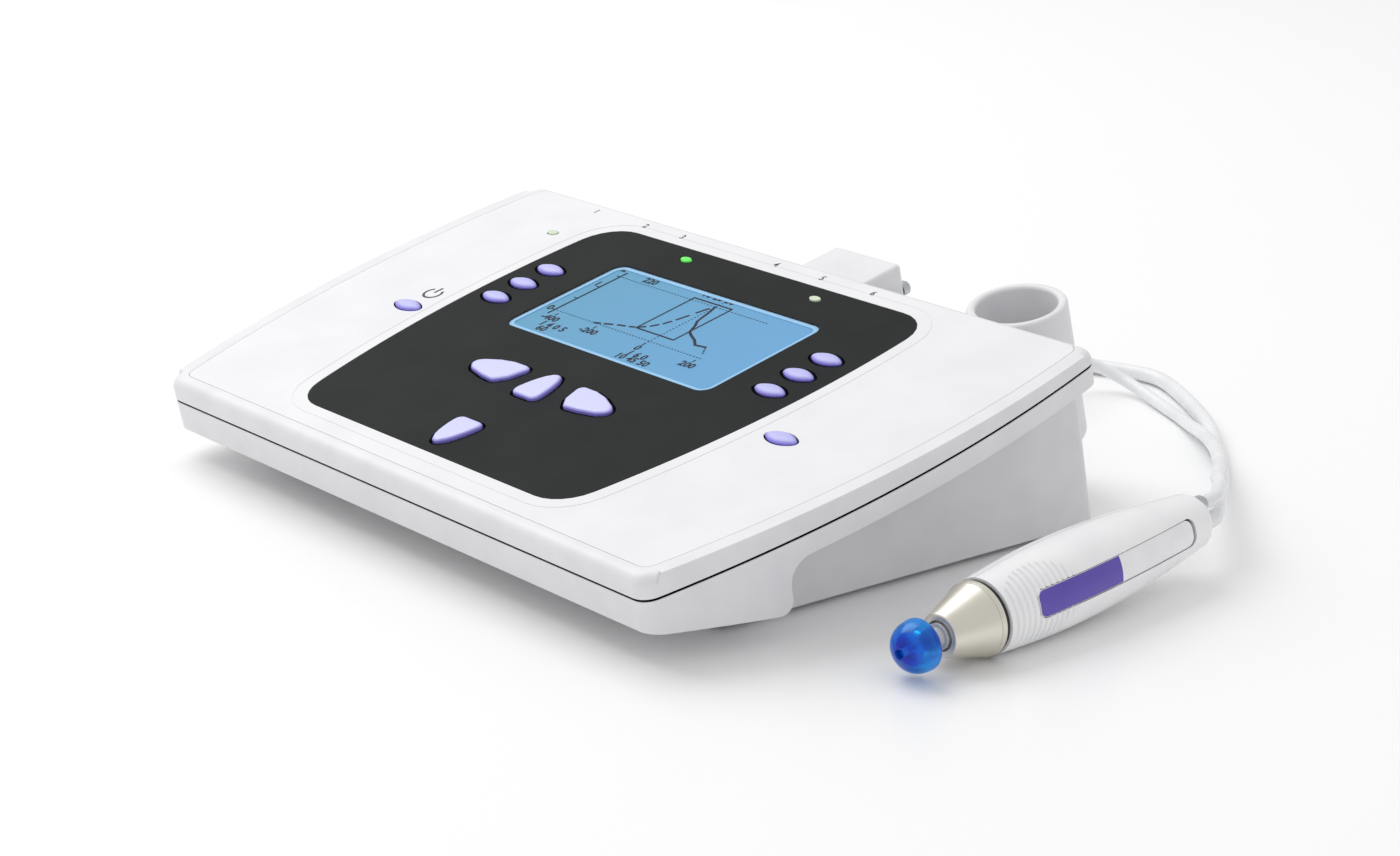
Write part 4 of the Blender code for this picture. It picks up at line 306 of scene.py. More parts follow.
# The four large keys keep the palest tones, and the small ones get a deeper copy: painted shade, as they lie
# more in shade.
large_key_rubber_painted_shade = key_rubber_with_painted_shade("pale_lacquered_silicone", "8E84E8", "B0ACF4", "D2D3FB")
small_key_rubber_deeper_painted_shade = key_rubber_with_painted_shade("lacquered_silicone", "7A6EDC", "9C96EA", "BFBFF3")
print("key rubber: 2 finishes")

# %% [markdown]
# ## The lit screen
# A liquid crystal is lit from behind, so it gives a little light of its own. A lamp behind real glass would
# need many samples, so the face itself glows faintly. It is a little lighter to the right, as a side-lit
# screen is, and carries the fine grid of its cells.

# %% Lit screen
lcd_face, shader = new_finish("backlit_liquid_crystal", IOR=1.5, Roughness=0.35, Emission_Strength=0.22,
                              Specular_IOR_Level=0.1)
place = add_node(lcd_face, "ShaderNodeTexCoord").outputs["Object"]
parts = add_node(lcd_face, "ShaderNodeSeparateXYZ", {"Vector": place})
across = add_node(lcd_face, "ShaderNodeMapRange", {"Value": parts.outputs["X"]}, From_Min=-75.0 * MM,
                  From_Max=30.0 * MM)
tone = ramp(add_node(lcd_face, "ShaderNodeValToRGB", {"Fac": across.outputs["Result"]}),
            [(0.0, linear("5492B2")), (1.0, linear("5B97C4"))])
cells = add_node(lcd_face, "ShaderNodeTexChecker", {"Vector": place}, Scale=1 / (0.45 * MM))
cells.inputs["Color1"].default_value = (1.0, 1.0, 1.0, 1.0)
cells.inputs["Color2"].default_value = (0.98, 0.98, 0.99, 1.0)
face = add_node(lcd_face, "ShaderNodeMix", data_type='RGBA', blend_type='MULTIPLY')
face.inputs["Factor"].default_value = 1.0
lcd_face.node_tree.links.new(tone.outputs["Color"], face.inputs[6])
lcd_face.node_tree.links.new(cells.outputs["Color"], face.inputs[7])
for socket in ("Base Color", "Emission Color"):
    lcd_face.node_tree.links.new(face.outputs[2], shader.inputs[socket])
print("screen cells are 0.45 mm wide")

# %% [markdown]
# ## Clear parts
# The window, the lights and the probe's stem let light through. Full glass on a thin film over a screen
# only adds noise, so the film is nearly invisible and keeps a soft reflection. The thicker parts pass part
# of the light, and the lit one gives some of its own.

# %% Clear parts
def clear(name, base, roughness, ior, size_mm, **sockets):
    """A clear or tinted material with a faint uneven gloss."""
    material, shader = new_finish(name, IOR=ior, **sockets)
    shader.inputs["Base Color"].default_value = linear(base)
    place = add_node(material, "ShaderNodeTexCoord").outputs["Object"]
    fine = add_node(material, "ShaderNodeTexNoise", {"Vector": place}, Scale=1 / (size_mm * MM), Detail=2.0)
    gloss = add_node(material, "ShaderNodeMapRange", {"Value": fine.outputs["Fac"]}, To_Min=roughness * 0.7,
                     To_Max=roughness * 1.3)
    material.node_tree.links.new(gloss.outputs["Result"], shader.inputs["Roughness"])
    return material


# Clear polyester over the screen: it lets the light through and adds its own soft reflection.
clear_film = clear("clear_polyester", "F4F6F8", 0.14, 1.5, 6.0, Alpha=0.02, Specular_IOR_Level=0.2)
# Moulded polycarbonate of the probe's stem.
clear_plastic = clear("clear_polycarbonate", "FAFCFD", 0.06, 1.58, 1.5, Transmission_Weight=0.5)
# Acrylic light pipes, tinted green: one lit, the others pale while they are off.
lit_lens = clear("lit_green_acrylic", "56D84E", 0.12, 1.49, 1.5, Transmission_Weight=0.1,
                 Emission_Strength=0.35)
lit_lens.node_tree.nodes["Principled BSDF"].inputs["Emission Color"].default_value = linear("6CF060")
pale_lens = clear("pale_green_acrylic", "E6F3D8", 0.12, 1.49, 1.5, Transmission_Weight=0.15)
print("clear parts: 4 finishes")

# %% [markdown]
# ## Ear tip silicone
# The ear tip is translucent royal-blue silicone. It looks deep blue through its thick core and paler
# towards its thin rim, where light comes through. A volume would give this but is slow and noisy on so small
# a piece, so the distance from the probe's axis blends three blues, which is painted light: dark in the core
# and bright towards the rim.

# %% Ear tip silicone
EAR_RADIUS = 7.6 * MM
ear_silicone = clear("blue_silicone", "007EFF", 0.16, 1.41, 1.2, Transmission_Weight=0.9,
                     Specular_IOR_Level=0.3)
place = add_node(ear_silicone, "ShaderNodeTexCoord").outputs["Object"]
offset = add_node(ear_silicone, "ShaderNodeVectorMath", {0: place}, operation='SUBTRACT')
offset.inputs[1].default_value = PROBE.translation
off_axis = add_node(ear_silicone, "ShaderNodeVectorMath", {0: offset.outputs["Vector"]},
                    operation='CROSS_PRODUCT')
off_axis.inputs[1].default_value = PROBE.to_3x3() @ Vector((1.0, 0.0, 0.0))
reach = add_node(ear_silicone, "ShaderNodeVectorMath", {0: off_axis.outputs["Vector"]}, operation='LENGTH')
share = add_node(ear_silicone, "ShaderNodeMapRange", {"Value": reach.outputs["Value"]}, From_Max=EAR_RADIUS)
# Painted light: the blues run from dark in the core to bright towards the rim, where light comes through.
depth = ramp(add_node(ear_silicone, "ShaderNodeValToRGB", {"Fac": share.outputs["Result"]}),
             [(0.25, linear("0038C8")), (0.60, linear("0066F0")), (0.95, linear("1CA4FF"))])
ear_silicone.node_tree.links.new(depth.outputs["Color"],
                                 ear_silicone.node_tree.nodes["Principled BSDF"].inputs["Base Color"])
print("finishes made:", len(bpy.data.materials))

# %% [markdown]
# ## Floor and light
# The picture has a plain white ground with a soft shadow. Several lamps could give it, but each adds a
# shadow of its own. So one large soft lamp hangs above and to the left of the console, and a white world
# fills the rest at part of its strength. The camera itself sees the world at full white, which keeps the
# ground white without more light on the object.

# %% Stage and light
LAMPS = [("key_light", (-1.10, -0.14, 1.60), 1.65, 20.0)]
WORLD_FILL = 0.70
world = bpy.data.worlds.new("studio")
world.use_nodes = True
bpy.context.scene.world = world
tree = world.node_tree
background = tree.nodes["Background"]
background.inputs["Color"].default_value = (1.0, 1.0, 1.0, 1.0)
path = tree.nodes.new("ShaderNodeLightPath")
strength = tree.nodes.new("ShaderNodeMapRange")
strength.inputs["To Min"].default_value = WORLD_FILL
strength.inputs["To Max"].default_value = 1.0
tree.links.new(path.outputs["Is Camera Ray"], strength.inputs["Value"])
tree.links.new(strength.outputs["Result"], background.inputs["Strength"])

for name, place, size, power in LAMPS:
    lamp = bpy.data.objects.new(name, bpy.data.lights.new(name, 'AREA'))
    lamp.data.size = size
    lamp.data.energy = power
    lamp.location = place
    lamp.rotation_euler = Vector(place).to_track_quat('Z', 'Y').to_euler()
    bpy.context.scene.collection.objects.link(lamp)

bm = bmesh.new()
bmesh.ops.create_grid(bm, x_segments=1, y_segments=1, size=3.0)
floor_mesh = bpy.data.meshes.new("floor")
bm.to_mesh(floor_mesh)
bm.free()
floor = bpy.data.objects.new("floor", floor_mesh)
bpy.context.scene.collection.objects.link(floor)
floor_mesh.materials.append(grain("studio_floor", "FFFFFF", "FFFFFF", 2.0, 0.32))
bpy.context.scene.view_settings.view_transform = 'Standard'
print("lamps:", len(LAMPS), "and a white world at", WORLD_FILL)

# %% [markdown]
# ## The lead and the air tube
# Both cords leave the back of the console, lie in a coil behind it, and come out along the floor to the
# probe's tail. A simulated cord would settle somewhere else each time, so the route is the CAD source's
# own: a few points joined by a smooth curve, which is then cut into even steps.

# %% Smooth routes
ROUTE_STEPS = 12
COIL_STEPS = 16


def smooth_route(points, count, end=None):
    """Evenly spaced points of a centripetal Catmull-Rom curve through a route's own points."""
    knots = [Vector(p) for p in points]
    last = Vector(end) if end else knots[-1] * 2 - knots[-2]
    chain = [knots[0] * 2 - knots[1]] + knots + [last]
    dense = []
    for p0, p1, p2, p3 in zip(chain, chain[1:], chain[2:], chain[3:]):
        k1 = math.sqrt((p1 - p0).length)
        k2 = k1 + math.sqrt((p2 - p1).length)
        k3 = k2 + math.sqrt((p3 - p2).length)
        for step in range(ROUTE_STEPS):
            k = k1 + (k2 - k1) * step / ROUTE_STEPS
            a1 = p0.lerp(p1, k / k1)
            a2 = p1.lerp(p2, (k - k1) / (k2 - k1))
            a3 = p2.lerp(p3, (k - k2) / (k3 - k2))
            b1 = a1.lerp(a2, k / k2)
            b2 = a2.lerp(a3, (k - k1) / (k3 - k1))
            dense.append(b1.lerp(b2, (k - k1) / (k2 - k1)))
    dense.append(knots[-1])
    return evenly(dense, count)


def evenly(dense, count):
    """Pick points at even steps of length along a dense line."""
    lengths = [0.0]
    for a, b in zip(dense, dense[1:]):
        lengths.append(lengths[-1] + (b - a).length)
    result, index = [], 0
    for step in range(count):
        target = lengths[-1] * step / (count - 1)
        while index < len(dense) - 2 and lengths[index + 1] < target:
            index += 1
        span = lengths[index + 1] - lengths[index]
        result.append(dense[index].lerp(dense[index + 1], (target - lengths[index]) / span))
    return result


def coil_points(centre, radius, low, rise, turns):
    """Points of a coil that starts at its right side and climbs one rise each turn."""
    points = []
    for step in range(COIL_STEPS * turns + 1):
        share = step / COIL_STEPS
        angle = math.tau * share
        points.append(Vector((centre[0] + radius * math.cos(angle), centre[1] + radius * math.sin(angle),
                              low + rise * share)))
    return points


print("a coil of two turns has", len(coil_points((0.0, 0.0), 0.02, 0.0, 0.005, 2)), "points")

# %% [markdown]
# ## Cord curves
# A cord is round all along. A tube could be lofted ring by ring, but a curve with a round bevel gives the
# same skin, keeps its centreline true and stays easy to change. The points are written in millimetres, in
# the console's frame, the probe's frame or over the table, whichever the cord follows there.

# %% Cord curves
def make_cord(name, points, radius, finish):
    """One smooth curve through the points, with a round bevel."""
    curve = bpy.data.curves.new(name, 'CURVE')
    curve.dimensions = '3D'
    curve.bevel_depth = radius
    curve.bevel_resolution = 5
    curve.resolution_u = 6
    curve.use_fill_caps = True
    spline = curve.splines.new('BEZIER')
    spline.bezier_points.add(len(points) - 1)
    for knot, place in zip(spline.bezier_points, points):
        knot.co = TABLE @ place
        knot.handle_left_type = knot.handle_right_type = 'AUTO'
    cord = bpy.data.objects.new(name, curve)
    bpy.context.scene.collection.objects.link(cord)
    curve.materials.append(finish)
    length = sum((b - a).length for a, b in zip(points, points[1:]))
    print(name, "is about", round(length / MM), "mm long")
    return cord, length


def console_point(u, v, w):
    """A place of the console's frame, over the table."""
    return Vector((u, v * COSINE - w * SINE - CASE_DEPTH / 2, FRONT_TOP_HEIGHT + v * SINE + w * COSINE))


def probe_point(along, side, up):
    """A place of the probe's frame, over the table."""
    return PROBE_PLACE + PROBE_TURN.to_3x3() @ Vector((along, side, up))


def in_metres(points):
    """Points written in millimetres."""
    return [Vector(p) * MM for p in points]


print("the probe's origin lies at", [round(c / MM, 1) for c in probe_point(0.0, 0.0, 0.0)], "mm")

# %% [markdown]
# ## The electric lead
# The lead leaves its plug downwards through a boot, lies in a coil of three turns, and then runs along the
# floor and up to the probe's tail. The coil is wide enough for a cord of this thickness, and each turn
# rises by a little more than the cord is thick, so that it rests on the one below.

# %% Electric lead
LEAD_RADIUS, TUBE_RADIUS = 2.6 * MM, 2.1 * MM
LEAD_FLOOR, TUBE_FLOOR = 2.9 * MM, 2.4 * MM
LEAD_COIL, LEAD_COIL_RADIUS = (-59.5 * MM, 156.0 * MM), 28.6 * MM
TUBE_COIL, TUBE_COIL_RADIUS = (-2.4 * MM, 156.0 * MM), 23.0 * MM
LEAD_OFF_AXIS, TUBE_OFF_AXIS = -2.6 * MM, 3.4 * MM
RISE_SHARE = 1.03
BODY_END = 94.0 * MM
BOOT_V = 191.5 * MM
AIR_PORT = (20.6 * MM, -20.5 * MM)

lead_start = console_point(0.0, BOOT_V, -41.7 * MM)
lead_down = [lead_start + step for step in in_metres(
    ((0.0, 0.0, 0.0), (0.0, 1.4, -6.4), (-1.2, 3.5, -12.8), (-4.2, 5.7, -18.8), (-8.9, 7.7, -23.4)))]
lead_down += in_metres([(-14.9, 122.2, 2.9), (-20.4, 123.2, 2.9), (-26.2, 126.9, 2.9), (-29.9, 132.7, 2.9),
                        (-30.9, 138.2, 2.9)])
lead_coil = coil_points(LEAD_COIL, LEAD_COIL_RADIUS, LEAD_FLOOR, RISE_SHARE * 2 * LEAD_RADIUS, 3)
lead_out = in_metres([
    (-30.9, 173.8, 18.97), (-29, 184, 15), (-24, 195, 9), (-15, 206, 4.5), (-4, 214.5, 2.9), (8, 221, 2.9),
    (20, 226, 2.9), (31.5, 228.8, 2.9), (40.5, 226.6, 2.9), (50, 221.6, 2.9), (62.9, 213.6, 2.9),
    (80.5, 201, 2.9), (95, 187.4, 2.9), (107.5, 174.5, 3.3), (122, 157.4, 5.8), (137, 138.4, 9.4),
    (150.4, 120, 12.8), (159.4, 109, 14.4)])
lead_end = BODY_END + 2.2 * MM
lead_out += [probe_point(lead_end + step, 0.0, LEAD_OFF_AXIS) for step in (5.0 * MM, 0.0)]
lead_points = (smooth_route(lead_down, 10) + lead_coil
               + smooth_route(lead_out, 38, probe_point(lead_end - 6.0 * MM, 0.0, LEAD_OFF_AXIS)))
lead, lead_length = make_cord("electric_lead", lead_points, LEAD_RADIUS, lead_vinyl)

# %% [markdown]
# ## The air tube
# The tube carries the pump's pressure to the probe. It leaves its plug backwards, drops to the floor, lies
# in a coil of four turns beside the lead's, and joins the lead on the way to the probe's tail, where it
# lies on top.

# %% Air tube
tube_start = console_point(AIR_PORT[0], 188.3 * MM, AIR_PORT[1])
tube_down = [tube_start + step for step in in_metres(
    ((0, 0, 0), (0, 4.4, 0.6), (0, 9.2, -0.4), (0, 16.1, -6.2), (0, 18.9, -15.1), (0, 18.9, -22.5),
     (0, 18.9, -29.9), (0, 21, -37.7), (0, 26.7, -43.3)))]
tube_down += in_metres([(20.6, 137.9, 2.4), (20.6, 141.6, 2.4)])
tube_coil = coil_points(TUBE_COIL, TUBE_COIL_RADIUS, TUBE_FLOOR, RISE_SHARE * 2 * TUBE_RADIUS, 4)
tube_out = in_metres([
    (20.6, 170.4, 19.7), (19, 183, 18), (18.4, 193, 15.2), (20.4, 202, 11.8), (25.8, 208.6, 8.4),
    (33.6, 211.6, 5.4), (43.6, 210.8, 3.4), (56, 206.4, 2.4), (69.2, 200.3, 2.4), (79.5, 193.4, 3.6),
    (91.4, 184.2, 6.2), (102.7, 174.6, 8.4), (113.5, 164.6, 10), (122.4, 155.2, 11.8), (136.6, 137.6, 15.4),
    (147.6, 123.2, 18.6), (156.6, 113, 20.8)])
tube_end = BODY_END + 5.8 * MM
tube_out += [probe_point(tube_end + step, 0.0, TUBE_OFF_AXIS) for step in (5.0 * MM, 0.0)]
tube_points = (smooth_route(tube_down, 14) + tube_coil
               + smooth_route(tube_out, 38, probe_point(tube_end - 6.0 * MM, 0.0, TUBE_OFF_AXIS)))
tube, tube_length = make_cord("air_tube", tube_points, TUBE_RADIUS, lead_vinyl)

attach(lead, "console")
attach(tube, "console")
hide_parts("lead_from_plug", "lead_coil", "lead_to_probe")
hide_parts("air_tube_from_console", "air_tube_coil", "air_tube_to_probe")

# %% [markdown]
# ## Outlines
# Most parts here are flat outlines in the tilted frame, raised to a thickness and then cut. Corners could be
# bevelled after the raising, but an outline that has its arcs already can be grown and shrunk evenly for
# gaps and walls. These helpers round corners and draw a rectangle and a barrel, whose two sides bow out.

# %% Outline helpers
def rounded(corners, radii, steps=6):
    """Round each corner of an outline with a short arc; a radius of zero keeps the point."""
    points = []
    count = len(corners)
    for index in range(count):
        here = Vector(corners[index])
        radius = radii[index]
        if radius <= 0.0:
            points.append(here)
            continue
        before = (Vector(corners[index - 1]) - here).normalized()
        after = (Vector(corners[(index + 1) % count]) - here).normalized()
        half = before.angle(after) / 2
        back = radius / math.tan(half)
        centre = here + (before + after).normalized() * radius / math.sin(half)
        start = here + before * back - centre
        sweep = start.angle_signed(here + after * back - centre)
        for step in range(steps + 1):
            points.append(centre + Matrix.Rotation(-sweep * step / steps, 2) @ start)
    return points


def rectangle(width, length, radius=0.0, centre=(0.0, 0.0), steps=6):
    """A rectangle's outline, with rounded corners if asked."""
    u, v = width / 2, length / 2
    corners = [(-u, -v), (u, -v), (u, v), (-u, v)]
    return rounded([(centre[0] + a, centre[1] + b) for a, b in corners], [radius] * 4, steps)


def barrel(front_v, rear_v, half_front, half_rear, bulge, radius, centre_u=0.0, steps=24):
    """A trapezoid outline whose two sides bow outwards; its corner arcs fit in the first and last steps."""
    side = []
    ends = 1.05 * radius / (rear_v - front_v)
    for step in range(steps + 1):
        share = step / steps if step in (0, steps) else ends + (1 - 2 * ends) * (step - 1) / (steps - 2)
        half = half_front + (half_rear - half_front) * share + 4 * bulge * share * (1 - share)
        side.append((half, front_v + (rear_v - front_v) * share))
    right = [(centre_u + half, v) for half, v in side]
    left = [(centre_u - half, v) for half, v in reversed(side)]
    radii = [radius] + [0.0] * (steps - 1) + [radius]
    return rounded(right + left, radii + radii)


print("a rounded square has", len(rectangle(2.0, 2.0, 0.5)), "points")

# %% [markdown]
# ## Outlines, grown and placed
# A key, its flange, its hole and its gasket all follow one outline at different distances. Scaling would
# make the gap uneven on a long shape, so each point is moved along its own normal instead.

# %% Outlines grown and placed
def grown(outline, extra):
    """Move an outline outwards, along the mean normal at each point."""
    points = [Vector(p) for p in outline]
    result = []
    for index, here in enumerate(points):
        before = (here - points[index - 1]).normalized()
        after = (points[(index + 1) % len(points)] - here).normalized()
        mean = (before + after).normalized()
        result.append(here + Vector((mean.y, -mean.x)) * extra / max(mean.dot(after), 0.5))
    return result


def placed(outline, u, v, mirrored=False, flipped=False):
    """Put an outline at a place on the top face, mirrored left or turned upside down if asked."""
    points = [((-p[0] if mirrored else p[0]) + u, (-p[1] if flipped else p[1]) + v) for p in outline]
    if mirrored != flipped:
        points.reverse()
    return points


print("grown by 1, a square of 2 is", round(grown(rectangle(2.0, 2.0), 1.0)[2].x * 2), "wide")

# %% [markdown]
# ## Prisms, boxes and rods
# An outline becomes one face, which is extruded; its far ring is then set to a height, or to a slope where
# the height is a function of the place. Bevels round its rims. Boxes and rods start from Blender's own cube
# and cone.

# %% Prisms, boxes and rods
def prism(outline, top, bottom, round_top=0.0, round_steps=6, round_bottom=0.0):
    """Extrude an outline from one height to another; a height may be a function of the place."""
    bm = bmesh.new()
    ring = [bm.verts.new((p[0], p[1], 0.0)) for p in outline]
    base = bm.faces.new(ring)
    raised = bmesh.ops.extrude_face_region(bm, geom=[base])
    upper = [v for v in raised["geom"] if isinstance(v, bmesh.types.BMVert)]
    upper_face = [f for f in raised["geom"] if isinstance(f, bmesh.types.BMFace)][0]
    for vert in upper:
        vert.co.z = top(vert.co) if callable(top) else top
    for vert in ring:
        vert.co.z = bottom(vert.co) if callable(bottom) else bottom
    lower_edges = [e for e in bm.edges if all(v in set(ring) for v in e.verts)]
    if round_top > 0.0:
        bmesh.ops.bevel(bm, geom=list(upper_face.edges), offset=round_top, segments=round_steps,
                        profile=0.5, affect='EDGES', material=-1)
    if round_bottom > 0.0:
        bmesh.ops.bevel(bm, geom=lower_edges, offset=round_bottom, segments=round_steps, profile=0.5,
                        affect='EDGES', material=-1)
    bmesh.ops.recalc_face_normals(bm, faces=bm.faces[:])
    return bm


def block(size, centre=(0.0, 0.0, 0.0)):
    """A box of the given size around a centre."""
    bm = bmesh.new()
    bmesh.ops.create_cube(bm, size=1.0)
    bmesh.ops.scale(bm, vec=size, verts=bm.verts[:])
    bmesh.ops.translate(bm, vec=centre, verts=bm.verts[:])
    return bm


def rod(radius, low, high, axis='Z', centre=(0.0, 0.0), segments=32):
    """A cylinder between two places along an axis, off that axis by a centre."""
    bm = bmesh.new()
    bmesh.ops.create_cone(bm, cap_ends=True, segments=segments, radius1=radius, radius2=radius,
                          depth=high - low)
    bmesh.ops.translate(bm, vec=(0.0, 0.0, (high + low) / 2), verts=bm.verts[:])
    turn = {'Z': Matrix.Identity(3), 'X': Matrix.Rotation(math.pi / 2, 3, 'Y'),
            'Y': Matrix.Rotation(-math.pi / 2, 3, 'X')}[axis]
    bmesh.ops.rotate(bm, cent=(0.0, 0.0, 0.0), matrix=turn, verts=bm.verts[:])
    a, b = centre
    shift = {'Z': (a, b, 0.0), 'X': (0.0, a, b), 'Y': (a, 0.0, b)}[axis]
    bmesh.ops.translate(bm, vec=shift, verts=bm.verts[:])
    return bm


print("a box has", len(block((1.0, 1.0, 1.0)).faces), "faces")

# %% [markdown]
# ## Turned shapes
# The probe, its nose, the cup and the screws are round, as if from a lathe. A closed profile is spun about
# its axis, all round or through half a circle. Others are turned and shifted, or put together in one mesh.

# %% Turned shapes
def turned(profile, segments=64, angle=math.tau, start=0.0):
    """Spin a closed profile of (along, radius) points about the X axis."""
    bm = bmesh.new()
    ring = [bm.verts.new((a, r * math.cos(start), r * math.sin(start))) for a, r in profile]
    base = bm.faces.new(ring)
    if abs(angle - math.tau) < 1e-6:
        edges = list(base.edges)
        bm.faces.remove(base)
        bmesh.ops.spin(bm, geom=edges, cent=(0.0, 0.0, 0.0), axis=(1.0, 0.0, 0.0), angle=angle,
                       steps=segments, use_merge=True)
    else:
        bmesh.ops.spin(bm, geom=[base], cent=(0.0, 0.0, 0.0), axis=(1.0, 0.0, 0.0), angle=angle,
                       steps=segments, use_duplicate=False)
    bmesh.ops.recalc_face_normals(bm, faces=bm.faces[:])
    return bm


def moved(bm, shift, turn=None):
    """Turn a shape about the origin, then shift it."""
    if turn:
        bmesh.ops.rotate(bm, cent=(0.0, 0.0, 0.0), matrix=turn, verts=bm.verts[:])
    bmesh.ops.translate(bm, vec=shift, verts=bm.verts[:])
    return bm


def together(*shapes):
    """Put separate shapes into one bmesh."""
    result = bmesh.new()
    for bm in shapes:
        mesh = bpy.data.meshes.new("part")
        bm.to_mesh(mesh)
        bm.free()
        result.from_mesh(mesh)
        bpy.data.meshes.remove(mesh)
    return result


print("a turned ring has", len(turned(((0.0, 1.0), (1.0, 1.0), (1.0, 2.0)), 8).faces), "faces")

# %% [markdown]
# ## Joining, cutting and easing
# Holes and hollows could be modelled face by face, but a moulded housing has dozens of them. A Boolean cuts
# or joins closed shapes as a mould does, and the exact solver keeps faces that touch. Sharp rims are then
# eased with a narrow bevel, because a real edge always catches a little light.

# %% Joining, cutting and easing
SHARP = math.radians(35.0)
MERGE = 0.0005 * MM


def combined(bm, other, operation='DIFFERENCE'):
    """Cut, join or trim a closed shape with another by an exact Boolean."""
    pair = []
    for shape in (bm, other):
        bmesh.ops.recalc_face_normals(shape, faces=shape.faces[:])
        mesh = bpy.data.meshes.new("work")
        shape.to_mesh(mesh)
        shape.free()
        pair.append(bpy.data.objects.new("work", mesh))
        bpy.context.scene.collection.objects.link(pair[-1])
    step = pair[0].modifiers.new("cut", 'BOOLEAN')
    step.operation = operation
    step.solver = 'EXACT'
    step.object = pair[1]
    shown = pair[0].evaluated_get(bpy.context.evaluated_depsgraph_get())
    result = bmesh.new()
    result.from_mesh(shown.to_mesh())
    shown.to_mesh_clear()
    for work in pair:
        mesh = work.data
        bpy.data.objects.remove(work)
        bpy.data.meshes.remove(mesh)
    bmesh.ops.remove_doubles(result, verts=result.verts[:], dist=MERGE)
    return result


def soften(bm, width, chosen, steps=2):
    """Bevel the sharp edges that a test picks."""
    bm.normal_update()
    edges = [e for e in bm.edges if len(e.link_faces) == 2 and e.calc_face_angle() > SHARP and chosen(e)]
    bmesh.ops.bevel(bm, geom=edges, offset=width, offset_type='OFFSET', segments=steps, profile=0.5,
                    affect='EDGES', material=-1, clamp_overlap=True)
    return bm


print("edges over", round(math.degrees(SHARP)), "degrees stay sharp")

# %% [markdown]
# ## Storing a piece
# A finished shape is carried to its place inside its mesh, so that its object stays at the origin and its
# grain doesn't slide. Smooth shading with sharp edges and weighted normals makes flat faces look flat.

# %% Storing a piece
def add_piece(name, bm, place, body, finish, slot, *nodes):
    """Store a finished shape as a piece that rides on a body and stands for CAD nodes."""
    bmesh.ops.transform(bm, matrix=place, verts=bm.verts[:])
    bmesh.ops.recalc_face_normals(bm, faces=bm.faces[:])
    mesh = bpy.data.meshes.new(name)
    bm.to_mesh(mesh)
    bm.free()
    mesh.materials.append(finish)
    mesh.shade_smooth()
    mesh.set_sharp_from_angle(angle=SHARP)
    piece = bpy.data.objects.new(name, mesh)
    bpy.context.scene.collection.objects.link(piece)
    flatter = piece.modifiers.new("weighted", 'WEIGHTED_NORMAL')
    flatter.keep_sharp = True
    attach(piece, body)
    if nodes:
        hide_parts(*nodes)
    print(name, "has", len(mesh.polygons), "faces")


print("pieces are shaded smooth under", round(math.degrees(SHARP)), "degrees")

# %% [markdown]
# ## Measures of the console
# These repeat the CAD source's own values. They could be read off its mesh, but a named value can be used
# for the walls, gaps and outlines of every piece, so each lies exactly where its solid does.

# %% Console measures
GAP = 0.3 * MM
OVER = 2.0 * MM
WALL = 2.4 * MM
CASE_LENGTH = CASE_DEPTH / COSINE
HALF_WIDTH_FRONT, HALF_WIDTH_REAR, SIDE_BULGE = 118.8 * MM, 132.1 * MM, 8.8 * MM
PLAN_CORNER = 6.0 * MM
SEAM_FRONT_DEPTH, SEAM_REAR_DEPTH, BAND_HEIGHT = 6.9 * MM, 3.9 * MM, 6.8 * MM
SHEET = 0.5 * MM
POCKET = 0.8 * MM
PANEL_CENTRE_U, PANEL_FRONT_V, PANEL_REAR_V = -0.6 * MM, 15.4 * MM, 157.2 * MM
PANEL_HALF_FRONT, PANEL_HALF_REAR, PANEL_BULGE, PANEL_CORNER = 66.0 * MM, 76.6 * MM, 6.5 * MM, 14.0 * MM
WINDOW_SIZE, WINDOW_CENTRE_V = (98.0 * MM, 50.8 * MM), 111.8 * MM
WINDOW_CORNER, WINDOW_LEDGE = 4.4 * MM, 1.2 * MM
KEY_HOLE_GAP, SIDE_HOLE_GAP, KEY_HEIGHT = 1.0 * MM, 0.55 * MM, 1.3 * MM
COVER_UNDERSIDE = -WALL
FLANGE_TOP = COVER_UNDERSIDE - GAP
FLANGE_BOTTOM = FLANGE_TOP - 0.8 * MM
KEY_BOARD_TOP = FLANGE_BOTTOM - 2.7 * MM
KEY_BOARD_BOTTOM = KEY_BOARD_TOP - 1.6 * MM
PILLARS = [(u * MM, v * MM) for u in (-96.0, 96.0) for v in (46.0, 126.0)]
PILLAR_RADIUS, PILLAR_BORE = 4.0 * MM, 1.8 * MM
SEAM_GAP = 0.8 * MM
print("the console is", round(CASE_LENGTH / MM), "mm deep along its slope")

# %% [markdown]
# ## Outlines of the console
# Seen from above, the console and its panel are trapezoids with bowed sides. The seam between cover and case
# slopes a little against the top, so the heights of the rim are functions of the place.

# %% Outlines of the console
def case_half_width(v):
    """Half the console's width at a place up its slope."""
    share = v / CASE_LENGTH
    straight = HALF_WIDTH_FRONT + (HALF_WIDTH_REAR - HALF_WIDTH_FRONT) * share
    return straight + 4 * SIDE_BULGE * share * (1 - share)


def case_outline(side_inset, front_inset, rear_inset, radius):
    """The console's own outline, moved inwards."""
    front, rear = front_inset, CASE_LENGTH - rear_inset
    half_front = case_half_width(front) - side_inset
    half_rear = case_half_width(rear) - side_inset
    middle = case_half_width((front + rear) / 2) - side_inset
    return barrel(front, rear, half_front, half_rear, middle - (half_front + half_rear) / 2, radius)


def panel_outline(extra=0.0):
    """The dark panel's outline, moved outwards."""
    return barrel(PANEL_FRONT_V - extra, PANEL_REAR_V + extra, PANEL_HALF_FRONT + extra,
                  PANEL_HALF_REAR + extra, PANEL_BULGE, PANEL_CORNER + extra, PANEL_CENTRE_U)


